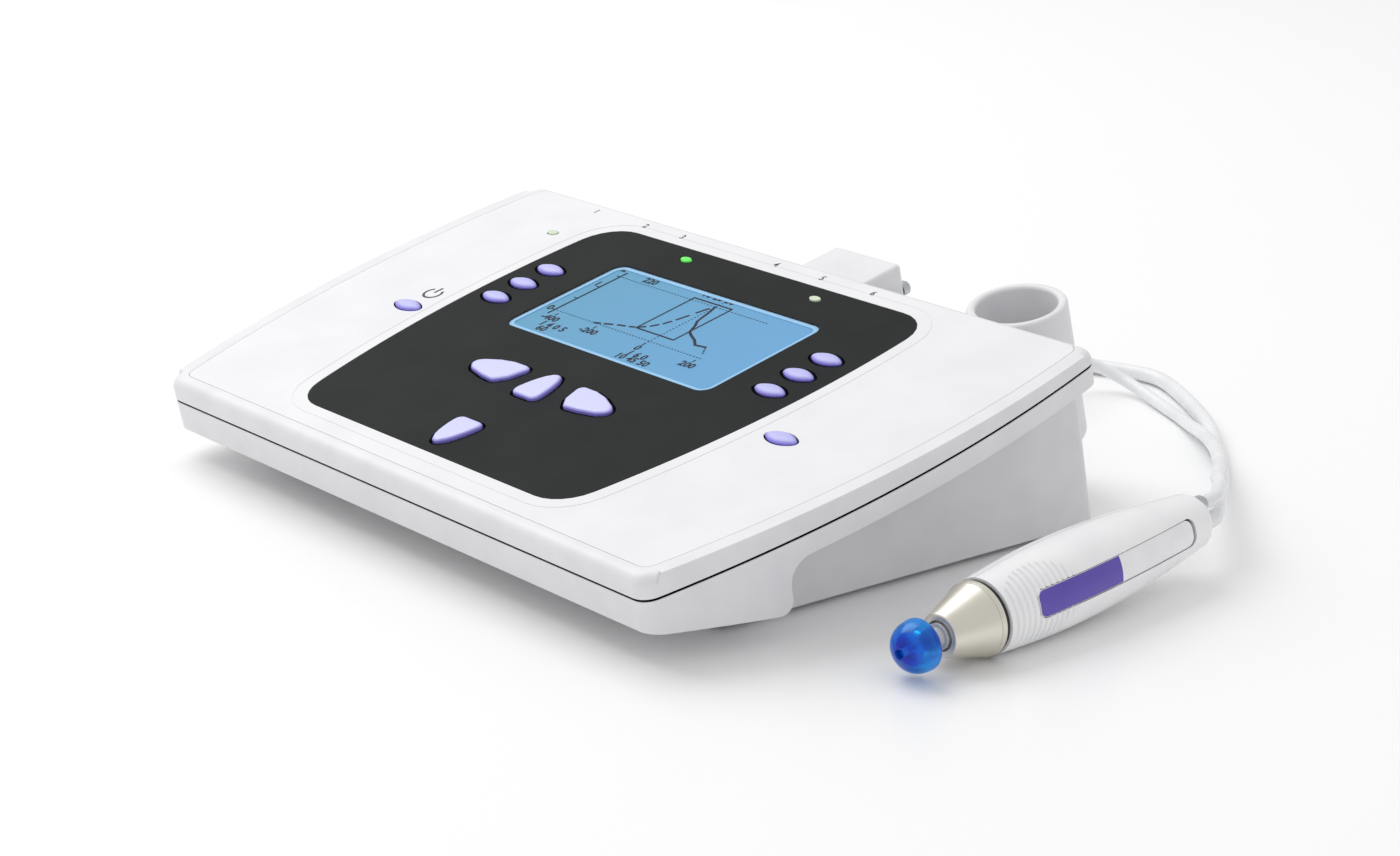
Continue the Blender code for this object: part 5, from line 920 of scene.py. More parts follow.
def window_outline(extra=0.0):
    """The screen window's outline, moved outwards."""
    return rectangle(WINDOW_SIZE[0] + 2 * extra, WINDOW_SIZE[1] + 2 * extra, WINDOW_CORNER + extra,
                     (PANEL_CENTRE_U, WINDOW_CENTRE_V))


def cover_bottom(place):
    """The height of the cover's lower edge, in the tilted frame."""
    return -SEAM_FRONT_DEPTH + (SEAM_FRONT_DEPTH - SEAM_REAR_DEPTH) * place.y / CASE_LENGTH


def band_bottom(place):
    """The lower edge of the rim band."""
    return cover_bottom(place) - BAND_HEIGHT


print("the console is", round(2 * case_half_width(CASE_LENGTH / 2) / MM), "mm wide at the middle")

# %% [markdown]
# ## Key shapes
# The eight small keys are shaped like an eye. The up and down keys are pointed arches, and the back and next
# keys are leaves that mirror each other. They could be traced freely, but arcs and a few measured corners
# keep both halves of each shape alike.

# %% Key shapes
LENS_LENGTH, LENS_WIDTH, LENS_TIP = 13.6 * MM, 6.3 * MM, 1.4 * MM
ARCH_WIDTH, ARCH_LENGTH, ARCH_CORNER = 11.8 * MM, 16.0 * MM, 2.4 * MM
LENS_STEPS = 10


def lens_outline(length, width, tip):
    """A key shaped like an eye: two arcs that meet in rounded tips."""
    half = length / 2
    radius = (half * half + (width / 2) ** 2) / width
    swing = math.asin(half / radius)
    corners = []
    for side in (1, -1):
        for step in range(LENS_STEPS):
            angle = swing * (1 - 2 * step / LENS_STEPS) * side
            corners.append((radius * math.sin(angle), side * (radius * math.cos(angle) - radius + width / 2)))
    return rounded(corners, ([tip] + [0.0] * (LENS_STEPS - 1)) * 2, 4)


def arch_outline(width, length, corner):
    """A pointed arch with a flat foot at zero, rising along +v."""
    right = [(width / 2 * a, length * b) for a, b in
             ((1.0, 0.0), (0.985, 0.2), (0.93, 0.35), (0.84, 0.5), (0.71, 0.66), (0.55, 0.8), (0.28, 0.93))]
    corners = right + [(0.0, length)] + [(-u, v) for u, v in reversed(right)]
    side = [0.0] * (len(right) - 1)
    return rounded(corners, [corner] + side + [corner] + side + [corner], 4)


lens = lens_outline(LENS_LENGTH, LENS_WIDTH, LENS_TIP)
arch = arch_outline(ARCH_WIDTH, ARCH_LENGTH, ARCH_CORNER)
print("a small key has", len(lens), "points round it, and an arched one", len(arch))

# %% [markdown]
# ## Where the keys and lights are
# Three keys stand at each side of the screen and one at each far side. Four lie in a cross below it, and
# the lights are small ovals above. All the sheets and the cover need the same holes, so each outline is
# kept under its node's name.

# %% Places of the keys and lights
LIGHT_HALF_LENGTH, LIGHT_HALF_WIDTH = 2.3 * MM, 1.45 * MM
ROW_PITCH = 11.8
NEXT_CORNERS = ((14.1, 60.2, 0.0), (17.5, 56.2, 2.6), (23.6, 56.8, 0.0), (30.7, 58.4, 0.0), (35.0, 61.8, 2.4),
                (31.3, 64.6, 0.0), (25.6, 67.2, 0.0), (19.9, 68.5, 0.0), (11.7, 68.6, 2.0))
leaf = rounded([(u * MM, v * MM) for u, v, r in NEXT_CORNERS], [r * MM for u, v, r in NEXT_CORNERS], 4)
KEYS = {"key_power": placed(lens, -90.6 * MM, 78.0 * MM),
        "key_display_mode": placed(lens, 91.6 * MM, 78.0 * MM),
        "key_up": placed(arch, 0.0, 54.2 * MM), "key_down": placed(arch, 0.0, 35.6 * MM, flipped=True),
        "key_next": leaf, "key_back": placed(leaf, 0.0, 0.0, mirrored=True)}
for row in range(3):
    for side, u in (("left", -68.0 * MM), ("right", 65.6 * MM)):
        KEYS["key_" + side + "_" + str(row + 1)] = placed(lens, u, (121.4 - ROW_PITCH * row) * MM)
SIDE_KEYS = ("key_power", "key_display_mode")
LARGE_KEYS = ("key_up", "key_down", "key_back", "key_next")
LIGHTS = {"light_left": (-31.6 * MM, 150.4 * MM), "light_right": (30.4 * MM, 150.4 * MM),
          "light_power": (-92.6 * MM, 142.6 * MM)}


def light_outline(place, extra=0.0):
    """A small oval round a place."""
    points = []
    for step in range(24):
        angle = math.tau * step / 24
        points.append((place[0] + (LIGHT_HALF_LENGTH + extra) * math.cos(angle),
                       place[1] + (LIGHT_HALF_WIDTH + extra) * math.sin(angle)))
    return points


def key_hole(name, inset=0.0):
    """The outline of a key's hole."""
    return grown(KEYS[name], (SIDE_HOLE_GAP if name in SIDE_KEYS else KEY_HOLE_GAP) - inset)


def holes(names, low):
    """Cutting shapes for the keys and lights that a sheet or cover lets through."""
    outlines = [key_hole(n) if n in KEYS else light_outline(LIGHTS[n], GAP) for n in names]
    return together(*[prism(outline, OVER, low - OVER) for outline in outlines])


print("outlines of", len(KEYS), "keys and", len(LIGHTS), "lights")

# %% [markdown]
# ## The top cover
# The cover is a shallow tray with a crisp lower edge and a soft upper one. It has a pocket for the printed
# sheets, an opening for the screen, a hole for each key and light, and four posts for the case screws. It
# is made as its mould makes it: one rounded slab, from which the hollow and the holes are taken.

# %% Top cover
TOP_ROUND = 3.4 * MM
POCKET_INSET, POCKET_REAR_INSET, POCKET_CORNER = 5.1 * MM, 2.6 * MM, 4.3 * MM
cover = prism(case_outline(0.0, 0.0, 0.0, PLAN_CORNER), 0.0, cover_bottom, TOP_ROUND, 8)
cover = combined(cover, prism(case_outline(WALL, WALL, WALL, PLAN_CORNER - WALL), COVER_UNDERSIDE,
                              -SEAM_FRONT_DEPTH - OVER))
for u, v in PILLARS:
    post = rod(PILLAR_RADIUS, KEY_BOARD_TOP + GAP, COVER_UNDERSIDE + 0.8 * MM, centre=(u, v))
    bore = rod(PILLAR_BORE, KEY_BOARD_TOP, COVER_UNDERSIDE - GAP, centre=(u, v), segments=16)
    cover = combined(combined(cover, post, 'UNION'), bore)
cover = combined(cover, prism(case_outline(POCKET_INSET, POCKET_INSET, POCKET_REAR_INSET, POCKET_CORNER),
                              OVER, -POCKET))
cover = combined(cover, prism(window_outline(-WINDOW_LEDGE), OVER, COVER_UNDERSIDE - GAP))
cover = combined(cover, holes(list(KEYS) + list(LIGHTS), COVER_UNDERSIDE))
add_piece("cover_moulding", cover, CONSOLE, "console", moulded_abs, "white_abs", "top_cover")

# %% [markdown]
# ## The printed sheets and the window
# A white sheet lies in the cover's pocket, with a fine groove round the charcoal sheet that is let into it.
# A clear window lies over the screen. One sheet with painted colours would do from afar, but the photograph
# shows the sheets' edges as fine lines. So they are separate, and their top edges are eased to catch light.

# %% Printed sheets and window
FIT, FILM_FIT, SHEET_EASE = 0.12 * MM, 0.2 * MM, 0.1 * MM
GROOVE_INNER, GROOVE_OUTER, GROOVE_FLOOR = 4.35 * MM, 4.75 * MM, -0.13 * MM


def top_rim(edge):
    """True for an edge between a level top face and a wall."""
    return sorted(abs(f.normal.z) > 0.9 for f in edge.link_faces) == [False, True] and max(
        f.normal.z for f in edge.link_faces) > 0.9


film = prism(case_outline(POCKET_INSET + FILM_FIT, POCKET_INSET + FILM_FIT, POCKET_REAR_INSET + FILM_FIT,
                          POCKET_CORNER - FILM_FIT), 0.0, -SHEET)
film = combined(film, prism(panel_outline(FIT), OVER, -OVER))
film = combined(film, holes([*SIDE_KEYS, "light_power"], -SHEET))
groove = combined(prism(panel_outline(GROOVE_OUTER), OVER, GROOVE_FLOOR),
                  prism(panel_outline(GROOVE_INNER), 2 * OVER, -OVER))
film = soften(combined(film, groove), SHEET_EASE, top_rim)
add_piece("white_film", film, CONSOLE, "console", printed_film, "overlay_white", "overlay_sheet")

panel_names = [n for n in (*KEYS, *LIGHTS) if n not in (*SIDE_KEYS, "light_power")]
panel = combined(prism(panel_outline(), 0.0, -SHEET), prism(window_outline(FIT), OVER, -OVER))
panel = soften(combined(panel, holes(panel_names, -SHEET)), SHEET_EASE, top_rim)
add_piece("charcoal_film", panel, CONSOLE, "console", charcoal_film, "panel_charcoal", "keypad_panel")

pane = prism(window_outline(), -0.02 * MM, -SHEET, SHEET_EASE, 2)
add_piece("window_pane", pane, CONSOLE, "console", clear_film, "clear_window", "display_window")

# %% [markdown]
# ## The keys
# Each key is a lacquered rubber cap with a flange that keeps it in the cover. The small ones are plump all
# over, and the large ones have a flat top with a round edge. A bevel can't be wider than the sharp tips
# allow, so the flat top is drawn in ring by ring instead, and each ring lies a little higher. Each hole is
# lined with black: painted shade, standing for the shadow in the gap round the key.

# %% Keys
PLUMP = ((0.985, 0.12), (0.96, 0.24), (0.91, 0.42), (0.83, 0.60), (0.72, 0.76), (0.57, 0.89), (0.38, 0.97),
         (0.18, 1.0))
FLAT = ((0.992, 0.14), (0.98, 0.30), (0.96, 0.50), (0.93, 0.68), (0.89, 0.82), (0.84, 0.92), (0.76, 0.97),
        (0.50, 1.0))
LARGE_RISE, SMALL_RISE, FLANGE_REACH = 0.9 * MM, 1.3 * MM, 1.6 * MM
GAP_SHADE_TOP, SIDE_GAP_SHADE_TOP = -0.25 * MM, -SHEET - 0.02 * MM


def pillow(outline, rise, rings):
    """A cap whose top swells in rings, each a share of the outline's size and of the whole rise."""
    key = prism(outline, KEY_HEIGHT - rise, FLANGE_TOP - 0.2 * MM)
    top = max(key.faces, key=lambda f: f.calc_center_median().z)
    to_middle = Matrix.Translation(-top.calc_center_bounds())
    size = height = 0.0
    for share, lift in rings:
        bmesh.ops.inset_region(key, faces=[top], thickness=0.0)
        scale = share / (size or 1.0)
        bmesh.ops.scale(key, vec=(scale, scale, 1.0), space=to_middle, verts=list(top.verts))
        bmesh.ops.translate(key, vec=(0.0, 0.0, (lift - height) * rise), verts=list(top.verts))
        size, height = share, lift
    return key


# Painted shade: a black lining in each key's hole stands for the shadow in the gap round the key.
gap_shade_rings = []
for name, outline in KEYS.items():
    large = name in LARGE_KEYS
    key = pillow(outline, LARGE_RISE if large else SMALL_RISE, FLAT if large else PLUMP)
    flange = prism(grown(outline, FLANGE_REACH), FLANGE_TOP, FLANGE_BOTTOM)
    add_piece(name + "_cap", combined(key, flange, 'UNION'), CONSOLE, name,
              large_key_rubber_painted_shade if large else small_key_rubber_deeper_painted_shade, "key_lavender", name)
    gap_shade_top = SIDE_GAP_SHADE_TOP if name in SIDE_KEYS else GAP_SHADE_TOP
    shade_lining = prism(key_hole(name, 0.02 * MM), gap_shade_top, COVER_UNDERSIDE)
    gap_shade_rings.append(combined(shade_lining, prism(grown(outline, FIT), OVER, COVER_UNDERSIDE - OVER)))
add_piece("key_dust_gaskets", together(*gap_shade_rings), CONSOLE, "console", black_foam, "black_rubber")

# %% [markdown]
# ## Strokes on the screen
# The screen module keeps its solid and gets a lit blue face. What it shows could be an image, but lines of
# ink stay sharp up close. So each line is a thin bar on the glass, and a dotted line is a row of them.

# %% Strokes on the screen
INK_W = -0.76 * MM
INK_DEPTH = 0.04 * MM


def stroke(a, b, width):
    """A thin bar between two places on the glass, in millimetres."""
    start, end = Vector(a) * MM, Vector(b) * MM
    middle, along = (start + end) / 2, end - start
    bm = block((along.length + width * MM / 2, width * MM, INK_DEPTH))
    return moved(bm, (middle.x, middle.y, INK_W), Matrix.Rotation(math.atan2(along.y, along.x), 3, 'Z'))


def dotted(a, b, step, size=0.5):
    """Square dots in a row between two places."""
    start, end = Vector(a), Vector(b)
    count = max(1, round((end - start).length / step))
    direction = (end - start).normalized() * size / 2
    spots = [start.lerp(end, i / count) for i in range(count + 1)]
    return [stroke(spot - direction / 2, spot + direction / 2, size) for spot in spots]


print("ink on the screen is", round(INK_DEPTH / MM, 2), "mm thick")

# %% [markdown]
# ## The measurement on the screen
# The screen shows two axes with ticks, dotted lines, a box, and the two traces of a middle ear measurement:
# a curve that climbs to a peak and falls again. The left one is drawn in dashes. Places are in millimetres
# on the top face.

# %% Axes and traces
AXIS_U, FOOT_V, HEAD_V = -43.1, 102.8, 134.1
LEFT_TRACE = ((-23.1, 102.8), (-19.4, 104.0), (-14.7, 105.7), (-10.1, 106.8), (-7.4, 107.8), (-4.1, 110.5),
              (-1.7, 113.9), (-0.1, 118.0), (1.9, 124.9), (3.8, 131.7))
RIGHT_TRACE = ((4.1, 131.0), (5.3, 127.6), (6.9, 120.8), (8.9, 118.0), (10.6, 114.3), (12.6, 112.9),
               (16.6, 110.9), (19.6, 108.5), (23.9, 109.1))
BOX = ((-7.5, 107.4), (10.5, 107.4), (10.5, 132.5), (-7.5, 132.5))
TICK_FOOT, TOP_LINE_V, RIGHT_END, PEAK_U = 99.9, 131.0, 28.3, 4.1
AXIS_WIDTH, TICK_WIDTH, BOX_WIDTH, TRACE_WIDTH = 0.8, 0.5, 0.7, 0.95
DASH_SHARE = 0.62
marks = [stroke((AXIS_U, TICK_FOOT), (AXIS_U, HEAD_V), AXIS_WIDTH)]
marks += [stroke((AXIS_U - 1.6, v), (AXIS_U, v), TICK_WIDTH) for v in (FOOT_V, 112.4, 122.0, TOP_LINE_V)]
for v in (FOOT_V, TOP_LINE_V):
    marks += dotted((AXIS_U, v), (RIGHT_END, v), 1.45)
marks += dotted((PEAK_U, TICK_FOOT), (PEAK_U, HEAD_V), 1.3)
marks += [stroke(a, b, BOX_WIDTH) for a, b in zip(BOX, BOX[1:] + BOX[:1])]
for a, b in zip(LEFT_TRACE, LEFT_TRACE[1:]):
    marks += [stroke(a, Vector(a).lerp(Vector(b), DASH_SHARE), TRACE_WIDTH)]
marks += [stroke(a, b, TRACE_WIDTH) for a, b in zip(RIGHT_TRACE, RIGHT_TRACE[1:])]
marks += dotted(RIGHT_TRACE[-1], (26.3, 105.7), 1.1, 0.6)
marks += [stroke((u, TICK_FOOT), (u, 101.2), TICK_WIDTH)
          for u in [AXIS_U - 0.3 + x for x in (3.9, 23.4, 47.5, 71.3)]]
print("the drawing has", len(marks), "strokes so far")

# %% [markdown]
# ## Numbers, and the screen's border
# Plain numbers stand by the axes. Blender's own text could stay text, but a piece has its place in its mesh,
# so each number is made a mesh first. A light blue band on the underside of the window hides the edge of
# the lit face; it is painted light, for the lighter rim where the window's edge catches the light.

# %% Numbers and border of the screen
def lettering(text, size, centre, low, depth, boldness):
    """Plain text as a thin solid, centred on a place of the top face."""
    curve = bpy.data.curves.new("text", 'FONT')
    curve.body = text
    curve.size = size
    curve.extrude = depth / 2
    curve.offset = boldness
    curve.align_x = 'CENTER'
    curve.align_y = 'CENTER'
    curve.resolution_u = 2
    source = bpy.data.objects.new("text", curve)
    bm = bmesh.new()
    mesh = bpy.data.meshes.new_from_object(source)
    bm.from_mesh(mesh)
    bpy.data.objects.remove(source)
    bpy.data.curves.remove(curve)
    bpy.data.meshes.remove(mesh)
    bmesh.ops.remove_doubles(bm, verts=bm.verts[:], dist=0.002 * MM)
    bmesh.ops.translate(bm, vec=(centre[0], centre[1], low + depth / 2), verts=bm.verts[:])
    return bm


NUMBER_SIZE, NUMBER_BOLDNESS = 4.3 * MM, 0.13 * MM
BORDER_WIDTH = 1.6 * MM
SCREEN_NUMBERS = (("-400", -39.4, 97.6), ("-200", -20.0, 97.6), ("0", 4.4, 97.6), ("200", 27.9, 97.6),
                  ("0", -45.8, 103.1), ("1", -45.8, 123.5), ("2", -45.8, 135.6), ("220", -30.6, 133.6),
                  ("10 20 30", 0.6, 136.0), ("1 4 0 5", -33.4, 93.9), ("60", -35.6, 90.9),
                  ("1 6 0", 8.4, 93.9), ("10 45 50", 9.4, 90.9))
marks += [lettering(number, NUMBER_SIZE, (u * MM, v * MM), INK_W - INK_DEPTH / 2, INK_DEPTH,
                    NUMBER_BOLDNESS) for number, u, v in SCREEN_NUMBERS]
add_piece("screen_drawing", together(*marks), CONSOLE, "console", screen_ink, "black_plastic")
# Painted light: a light blue band under the window's edge, for the rim where the edge catches the light.
border = combined(prism(window_outline(-0.1 * MM), -SHEET - 0.04 * MM, -POCKET + 0.04 * MM),
                  prism(window_outline(-0.1 * MM - BORDER_WIDTH), OVER, -OVER))
add_piece("screen_border", border, CONSOLE, "console", window_edge_painted_light, "lcd_blue")

# %% [markdown]
# ## The status lights
# The three lights are the ends of clear green light pipes that stand a little proud of the sheets; one of
# them is lit. Each is an oval with a round rim, and a flange under the cover keeps it from falling out.

# %% Status lights
LIGHT_RISE, LIGHT_FOOT, LIGHT_ROUND, LIGHT_FLANGE = 0.5 * MM, -5.0 * MM, 0.42 * MM, 1.0 * MM
for name, place in LIGHTS.items():
    oval = prism(light_outline(place), LIGHT_RISE, LIGHT_FOOT, LIGHT_ROUND, 4)
    flange = prism(light_outline(place, LIGHT_FLANGE), FLANGE_TOP, FLANGE_BOTTOM)
    add_piece(name + "_lens", combined(oval, flange, 'UNION'), CONSOLE, "console",
              lit_lens if name == "light_left" else pale_lens, "light_green", name)

# %% [markdown]
# ## Printing on the white sheet
# Plain numbers, one to six, stand over the ports along the rear edge. By its key lies a power symbol, an
# open ring with a bar. The ring could be cut from a disc, but one outline is enough: it runs round the outer
# arc and back along the inner one.

# %% Printing on the white sheet
PRINT_DEPTH = 0.04 * MM
NUMBERS_V, NUMBERS_U = 162.7 * MM, (-92.8, -66.4, -47.2, -0.8, 21.0, 44.2)
POWER_U, POWER_V = -90.6 * MM, 88.6 * MM
POWER_OUTER, POWER_INNER = 3.7 * MM, 2.8 * MM
prints = [lettering(str(number + 1), 3.8 * MM, (u * MM, NUMBERS_V), 0.0, PRINT_DEPTH, 0.05 * MM)
          for number, u in enumerate(NUMBERS_U)]
outer_arc = [(POWER_OUTER, math.radians(40 + 10 * i)) for i in range(29)]
inner_arc = [(POWER_INNER, math.radians(320 - 10 * i)) for i in range(29)]
ring = [(POWER_U + r * math.sin(a), POWER_V + r * math.cos(a)) for r, a in outer_arc + inner_arc]
ring.reverse()
prints.append(prism(ring, PRINT_DEPTH, 0.0))
prints.append(block((0.9 * MM, 3.8 * MM, PRINT_DEPTH), (POWER_U, POWER_V + 2.4 * MM, PRINT_DEPTH / 2)))
add_piece("sheet_printing", together(*prints), CONSOLE, "console", dark_print, "black_plastic")

# %% [markdown]
# ## Measures of the bottom case
# Seen from the side, the lower housing is a slim band along the rim, a deep nose at the front and a stand
# set in under the rest. Its measures, and the places of the pump and the sockets, are the CAD source's own,
# for the same reason as the console's.

# %% Bottom case measures
NOSE_LENGTH, NOSE_FRONT_DEPTH, NOSE_REAR_DEPTH = 43.0 * MM, 17.4 * MM, 29.0 * MM
STAND_FRONT_V, STAND_REAR_V = 30.0 * MM, 173.4 * MM
STAND_HALF_FRONT, STAND_HALF_REAR, STAND_CORNER = 111.7 * MM, 120.0 * MM, 4.0 * MM
FLOOR_THICKNESS, FOOT_HEIGHT, FOOT_RADIUS, FOOT_RECESS = 2.2 * MM, 1.5 * MM, 6.0 * MM, 1.0 * MM
BOARD_TOP = -28.4 * MM
BOARD_BOTTOM = BOARD_TOP - 1.6 * MM
PUMP_PLACE = (-40.0 * MM, 66.0 * MM, -26.0 * MM)
PORTS = {"dc_jack": (-92.7 * MM, (9.0 * MM, 11.0 * MM)), "usb_port": (-66.0 * MM, (12.0 * MM, 11.0 * MM)),
         "printer_port": (-46.0 * MM, (14.0 * MM, 13.0 * MM)), "probe_socket": (0.0, (24.0 * MM, 11.0 * MM)),
         "contra_jack": (44.4 * MM, (11.0 * MM, 11.0 * MM))}
CASE_LOW, SLAB_HALF = -34.0 * MM, 150.0 * MM
print("the nose is", round(NOSE_LENGTH / MM), "mm long, with", len(PORTS) + 1, "openings in the rear wall")

# %% [markdown]
# ## Heights and outlines of the bottom case
# The rim slopes with the seam, while the underside stays level with the table. Because the frame is tilted
# and the table is not, a level height is a function of the place, too. The side view is a shape of its own
# that one function pushes out to both sides.

# %% Heights and outlines of the case
def floor_plane(height):
    """The depth, in the tilted frame, of a level plane at a height over the table."""
    return lambda place: (height - FRONT_TOP_HEIGHT - place.y * SINE) / COSINE


def case_top(place):
    """The upper edge of the rim band, a shadow gap under the cover."""
    return cover_bottom(place) - SEAM_GAP


def nose_underside(place):
    """The depth of the sloping underside of the nose."""
    return -NOSE_FRONT_DEPTH - (NOSE_REAR_DEPTH - NOSE_FRONT_DEPTH) * place.y / NOSE_LENGTH


def stand_outline(inset, rear_v=STAND_REAR_V):
    """The stand's outline, a trapezoid set in from the rim."""
    front, rear = STAND_FRONT_V + inset, rear_v - inset
    corners = [(STAND_HALF_FRONT - inset, front), (STAND_HALF_REAR - inset, rear),
               (-STAND_HALF_REAR + inset, rear), (-STAND_HALF_FRONT + inset, front)]
    return rounded(corners, [STAND_CORNER] * 4)


def nose_outline(inset):
    """The outline of the hollow of the nose."""
    front, rear = inset, NOSE_LENGTH - inset
    corners = [(case_half_width(front) - inset, front), (case_half_width(rear) - inset, rear),
               (-case_half_width(rear) + inset, rear), (-case_half_width(front) + inset, front)]
    return rounded(corners, [PLAN_CORNER - WALL, STAND_CORNER, STAND_CORNER, PLAN_CORNER - WALL])


def slab(profile, half_width):
    """Push a side view's outline of (v, w) points out to both sides."""
    bm = bmesh.new()
    base = bm.faces.new([bm.verts.new((-half_width, v, w)) for v, w in profile])
    raised = bmesh.ops.extrude_face_region(bm, geom=[base])
    bmesh.ops.translate(bm, vec=(2 * half_width, 0.0, 0.0),
                        verts=[v for v in raised["geom"] if isinstance(v, bmesh.types.BMVert)])
    bmesh.ops.recalc_face_normals(bm, faces=bm.faces[:])
    return bm


print("the seam is", round(SEAM_GAP / MM, 1), "mm wide")

# %% [markdown]
# ## The case shell
# The side view is pushed across the whole width and trimmed to the console's own outline, because the two
# views together give every slope at once. The stand joins it from below, and the inside is taken out. The
# rim's upper edge is eased on the way: the light shows it as a fine line along the seam.

# %% Case shell
def at(v):
    """A place on the middle line, for the height functions."""
    return Vector((0.0, v, 0.0))


def rear_corner_edge(edge):
    """True for a lower edge of the rim where the rear wall begins to turn into the side."""
    walls = [f.normal for f in edge.link_faces if abs(f.normal.z) < 0.05]
    turning = any(n.y > 0.9 and abs(n.x) >= 0.02 for n in walls)
    return turning and min(f.normal.z for f in edge.link_faces) < -0.4


NOSE_FILLET, STAND_FILLET, CORNER_EASE, SEAM_EASE = 4.0 * MM, 8.0 * MM, 1.3 * MM, 0.35 * MM
rear = CASE_LENGTH + OVER
side_view = rounded(
    [(-OVER, 4 * OVER), (-OVER, nose_underside(at(-OVER))), (NOSE_LENGTH, nose_underside(at(NOSE_LENGTH))),
     (NOSE_LENGTH, band_bottom(at(NOSE_LENGTH))), (rear, band_bottom(at(rear))), (rear, 4 * OVER)],
    [0.0, 0.0, NOSE_FILLET, STAND_FILLET, 0.0, 0.0], 8)
case = combined(prism(case_outline(0.0, 0.0, 0.0, PLAN_CORNER), case_top, CASE_LOW),
                slab(side_view, SLAB_HALF), 'INTERSECT')
soften(case, CORNER_EASE, rear_corner_edge, 4)
soften(case, SEAM_EASE, top_rim)
stand = prism(stand_outline(0.0), lambda p: band_bottom(p) + WALL, floor_plane(FOOT_HEIGHT),
              round_bottom=1.0 * MM, round_steps=3)
case = combined(case, stand, 'UNION')
case = combined(case, prism(case_outline(WALL, WALL, WALL, PLAN_CORNER - WALL), OVER,
                            lambda p: band_bottom(p) + FLOOR_THICKNESS))
case = combined(case, prism(nose_outline(WALL + GAP), OVER, lambda p: nose_underside(p) + FLOOR_THICKNESS))
case = combined(case, prism(stand_outline(WALL), lambda p: band_bottom(p) + GAP,
                            floor_plane(FOOT_HEIGHT + FLOOR_THICKNESS)))
case = combined(case, prism(stand_outline(WALL, CASE_LENGTH), 2 * OVER, lambda p: band_bottom(p) - OVER))
print("case shell has", len(case.faces), "faces")

# %% [markdown]
# ## Posts inside the case
# Four pillars carry the cover's screws, four posts carry the main board, and a block carries the pump. Each
# is sunk half into the floor before it is joined, so that no thin crack is left between them.

# %% Posts inside the case
BOARD_POSTS = [(u * MM, v * MM) for u in (-78.0, 78.0) for v in (100.0, 160.0)]
SEAT_LENGTH, SEAT_WIDTH, SEAT_DROP = 22.0 * MM, 9.0 * MM, 8.3 * MM
inside_floor = floor_plane(FOOT_HEIGHT + FLOOR_THICKNESS)
pillar_top = KEY_BOARD_BOTTOM - GAP
posts = [rod(PILLAR_RADIUS, inside_floor(at(v)) - FLOOR_THICKNESS / 2, pillar_top, centre=(u, v))
         for u, v in PILLARS]
posts += [rod(PILLAR_RADIUS, inside_floor(at(v)) - FLOOR_THICKNESS / 2, BOARD_BOTTOM - GAP, centre=(u, v),
              segments=24) for u, v in BOARD_POSTS]
seat_low = inside_floor(at(PUMP_PLACE[1])) - FLOOR_THICKNESS / 2
seat_top = PUMP_PLACE[2] - SEAT_DROP
posts.append(block((SEAT_LENGTH, SEAT_WIDTH, seat_top - seat_low),
                   (PUMP_PLACE[0], PUMP_PLACE[1], (seat_top + seat_low) / 2)))
case = combined(case, together(*posts), 'UNION')
print("posts joined:", len(PILLARS) + len(BOARD_POSTS) + 1)

# %% [markdown]
# ## Openings and recesses of the case
# Each pillar is bored from below for its screw and its screw's head. The rear wall gets an opening for each
# socket, and the floor a recess for each foot. The feet stand straight on the table, so their recesses are
# cut once the case has been turned upright.

# %% Openings and recesses of the case
HEAD_BORE, SCREW_WEB, AIR_HOLE = 3.2 * MM, 5.0 * MM, 4.5 * MM
bores = [rod(HEAD_BORE, inside_floor(at(v)) - FLOOR_THICKNESS - 4.0 * MM, pillar_top - SCREW_WEB,
             centre=(u, v), segments=24) for u, v in PILLARS]
case = combined(case, together(*bores))
bores = [rod(PILLAR_BORE, pillar_top - SCREW_WEB - 0.5 * MM, pillar_top + OVER, centre=(u, v), segments=24)
         for u, v in PILLARS]
for u, size in PORTS.values():
    bores.append(block((size[0] + 2 * GAP, 3 * WALL, size[1] + 2 * GAP),
                       (u, STAND_REAR_V - WALL / 2, BOARD_TOP + GAP + size[1] / 2)))
bores.append(rod(AIR_HOLE, STAND_REAR_V - 3 * WALL, STAND_REAR_V + WALL, 'Y', AIR_PORT, 40))
case = combined(case, together(*bores))
bmesh.ops.transform(case, matrix=TABLE.inverted() @ CONSOLE, verts=case.verts[:])
FEET = {"foot_front_left": (-92.2 * MM, -20.0 * MM), "foot_front_right": (92.2 * MM, -20.0 * MM),
        "foot_rear_left": (-92.2 * MM, 78.0 * MM), "foot_rear_right": (92.2 * MM, 78.0 * MM)}
recesses = [rod(FOOT_RADIUS + GAP, FOOT_HEIGHT - OVER, FOOT_HEIGHT + FOOT_RECESS, centre=place, segments=40)
            for place in FEET.values()]
case = combined(case, together(*recesses))
add_piece("case_moulding", case, TABLE, "console", moulded_abs, "white_abs", "bottom_case")

# %% [markdown]
# ## The seam's painted shade and the feet
# The seam shows as a crisp black line. An empty gap between white walls would fill with light, so a black
# strip lies a little way inside it: painted shade, standing for the dark of the gap. The rubber feet are
# turned pads with a round lower edge.

# %% Seam shade and feet
# Painted shade: a black strip inside the seam stands for the shadow in the gap.
SEAM_SHADE_OUTER, SEAM_SHADE_INNER = 0.25 * MM, 1.8 * MM
seam_shade_strip = combined(prism(case_outline(SEAM_SHADE_OUTER, SEAM_SHADE_OUTER, SEAM_SHADE_OUTER, PLAN_CORNER - SEAM_SHADE_OUTER),
                       cover_bottom, case_top),
                 prism(case_outline(SEAM_SHADE_INNER, SEAM_SHADE_INNER, SEAM_SHADE_INNER, PLAN_CORNER - SEAM_SHADE_INNER),
                       OVER, -4 * OVER))
add_piece("seam_seal", seam_shade_strip, CONSOLE, "console", black_foam, "black_rubber")

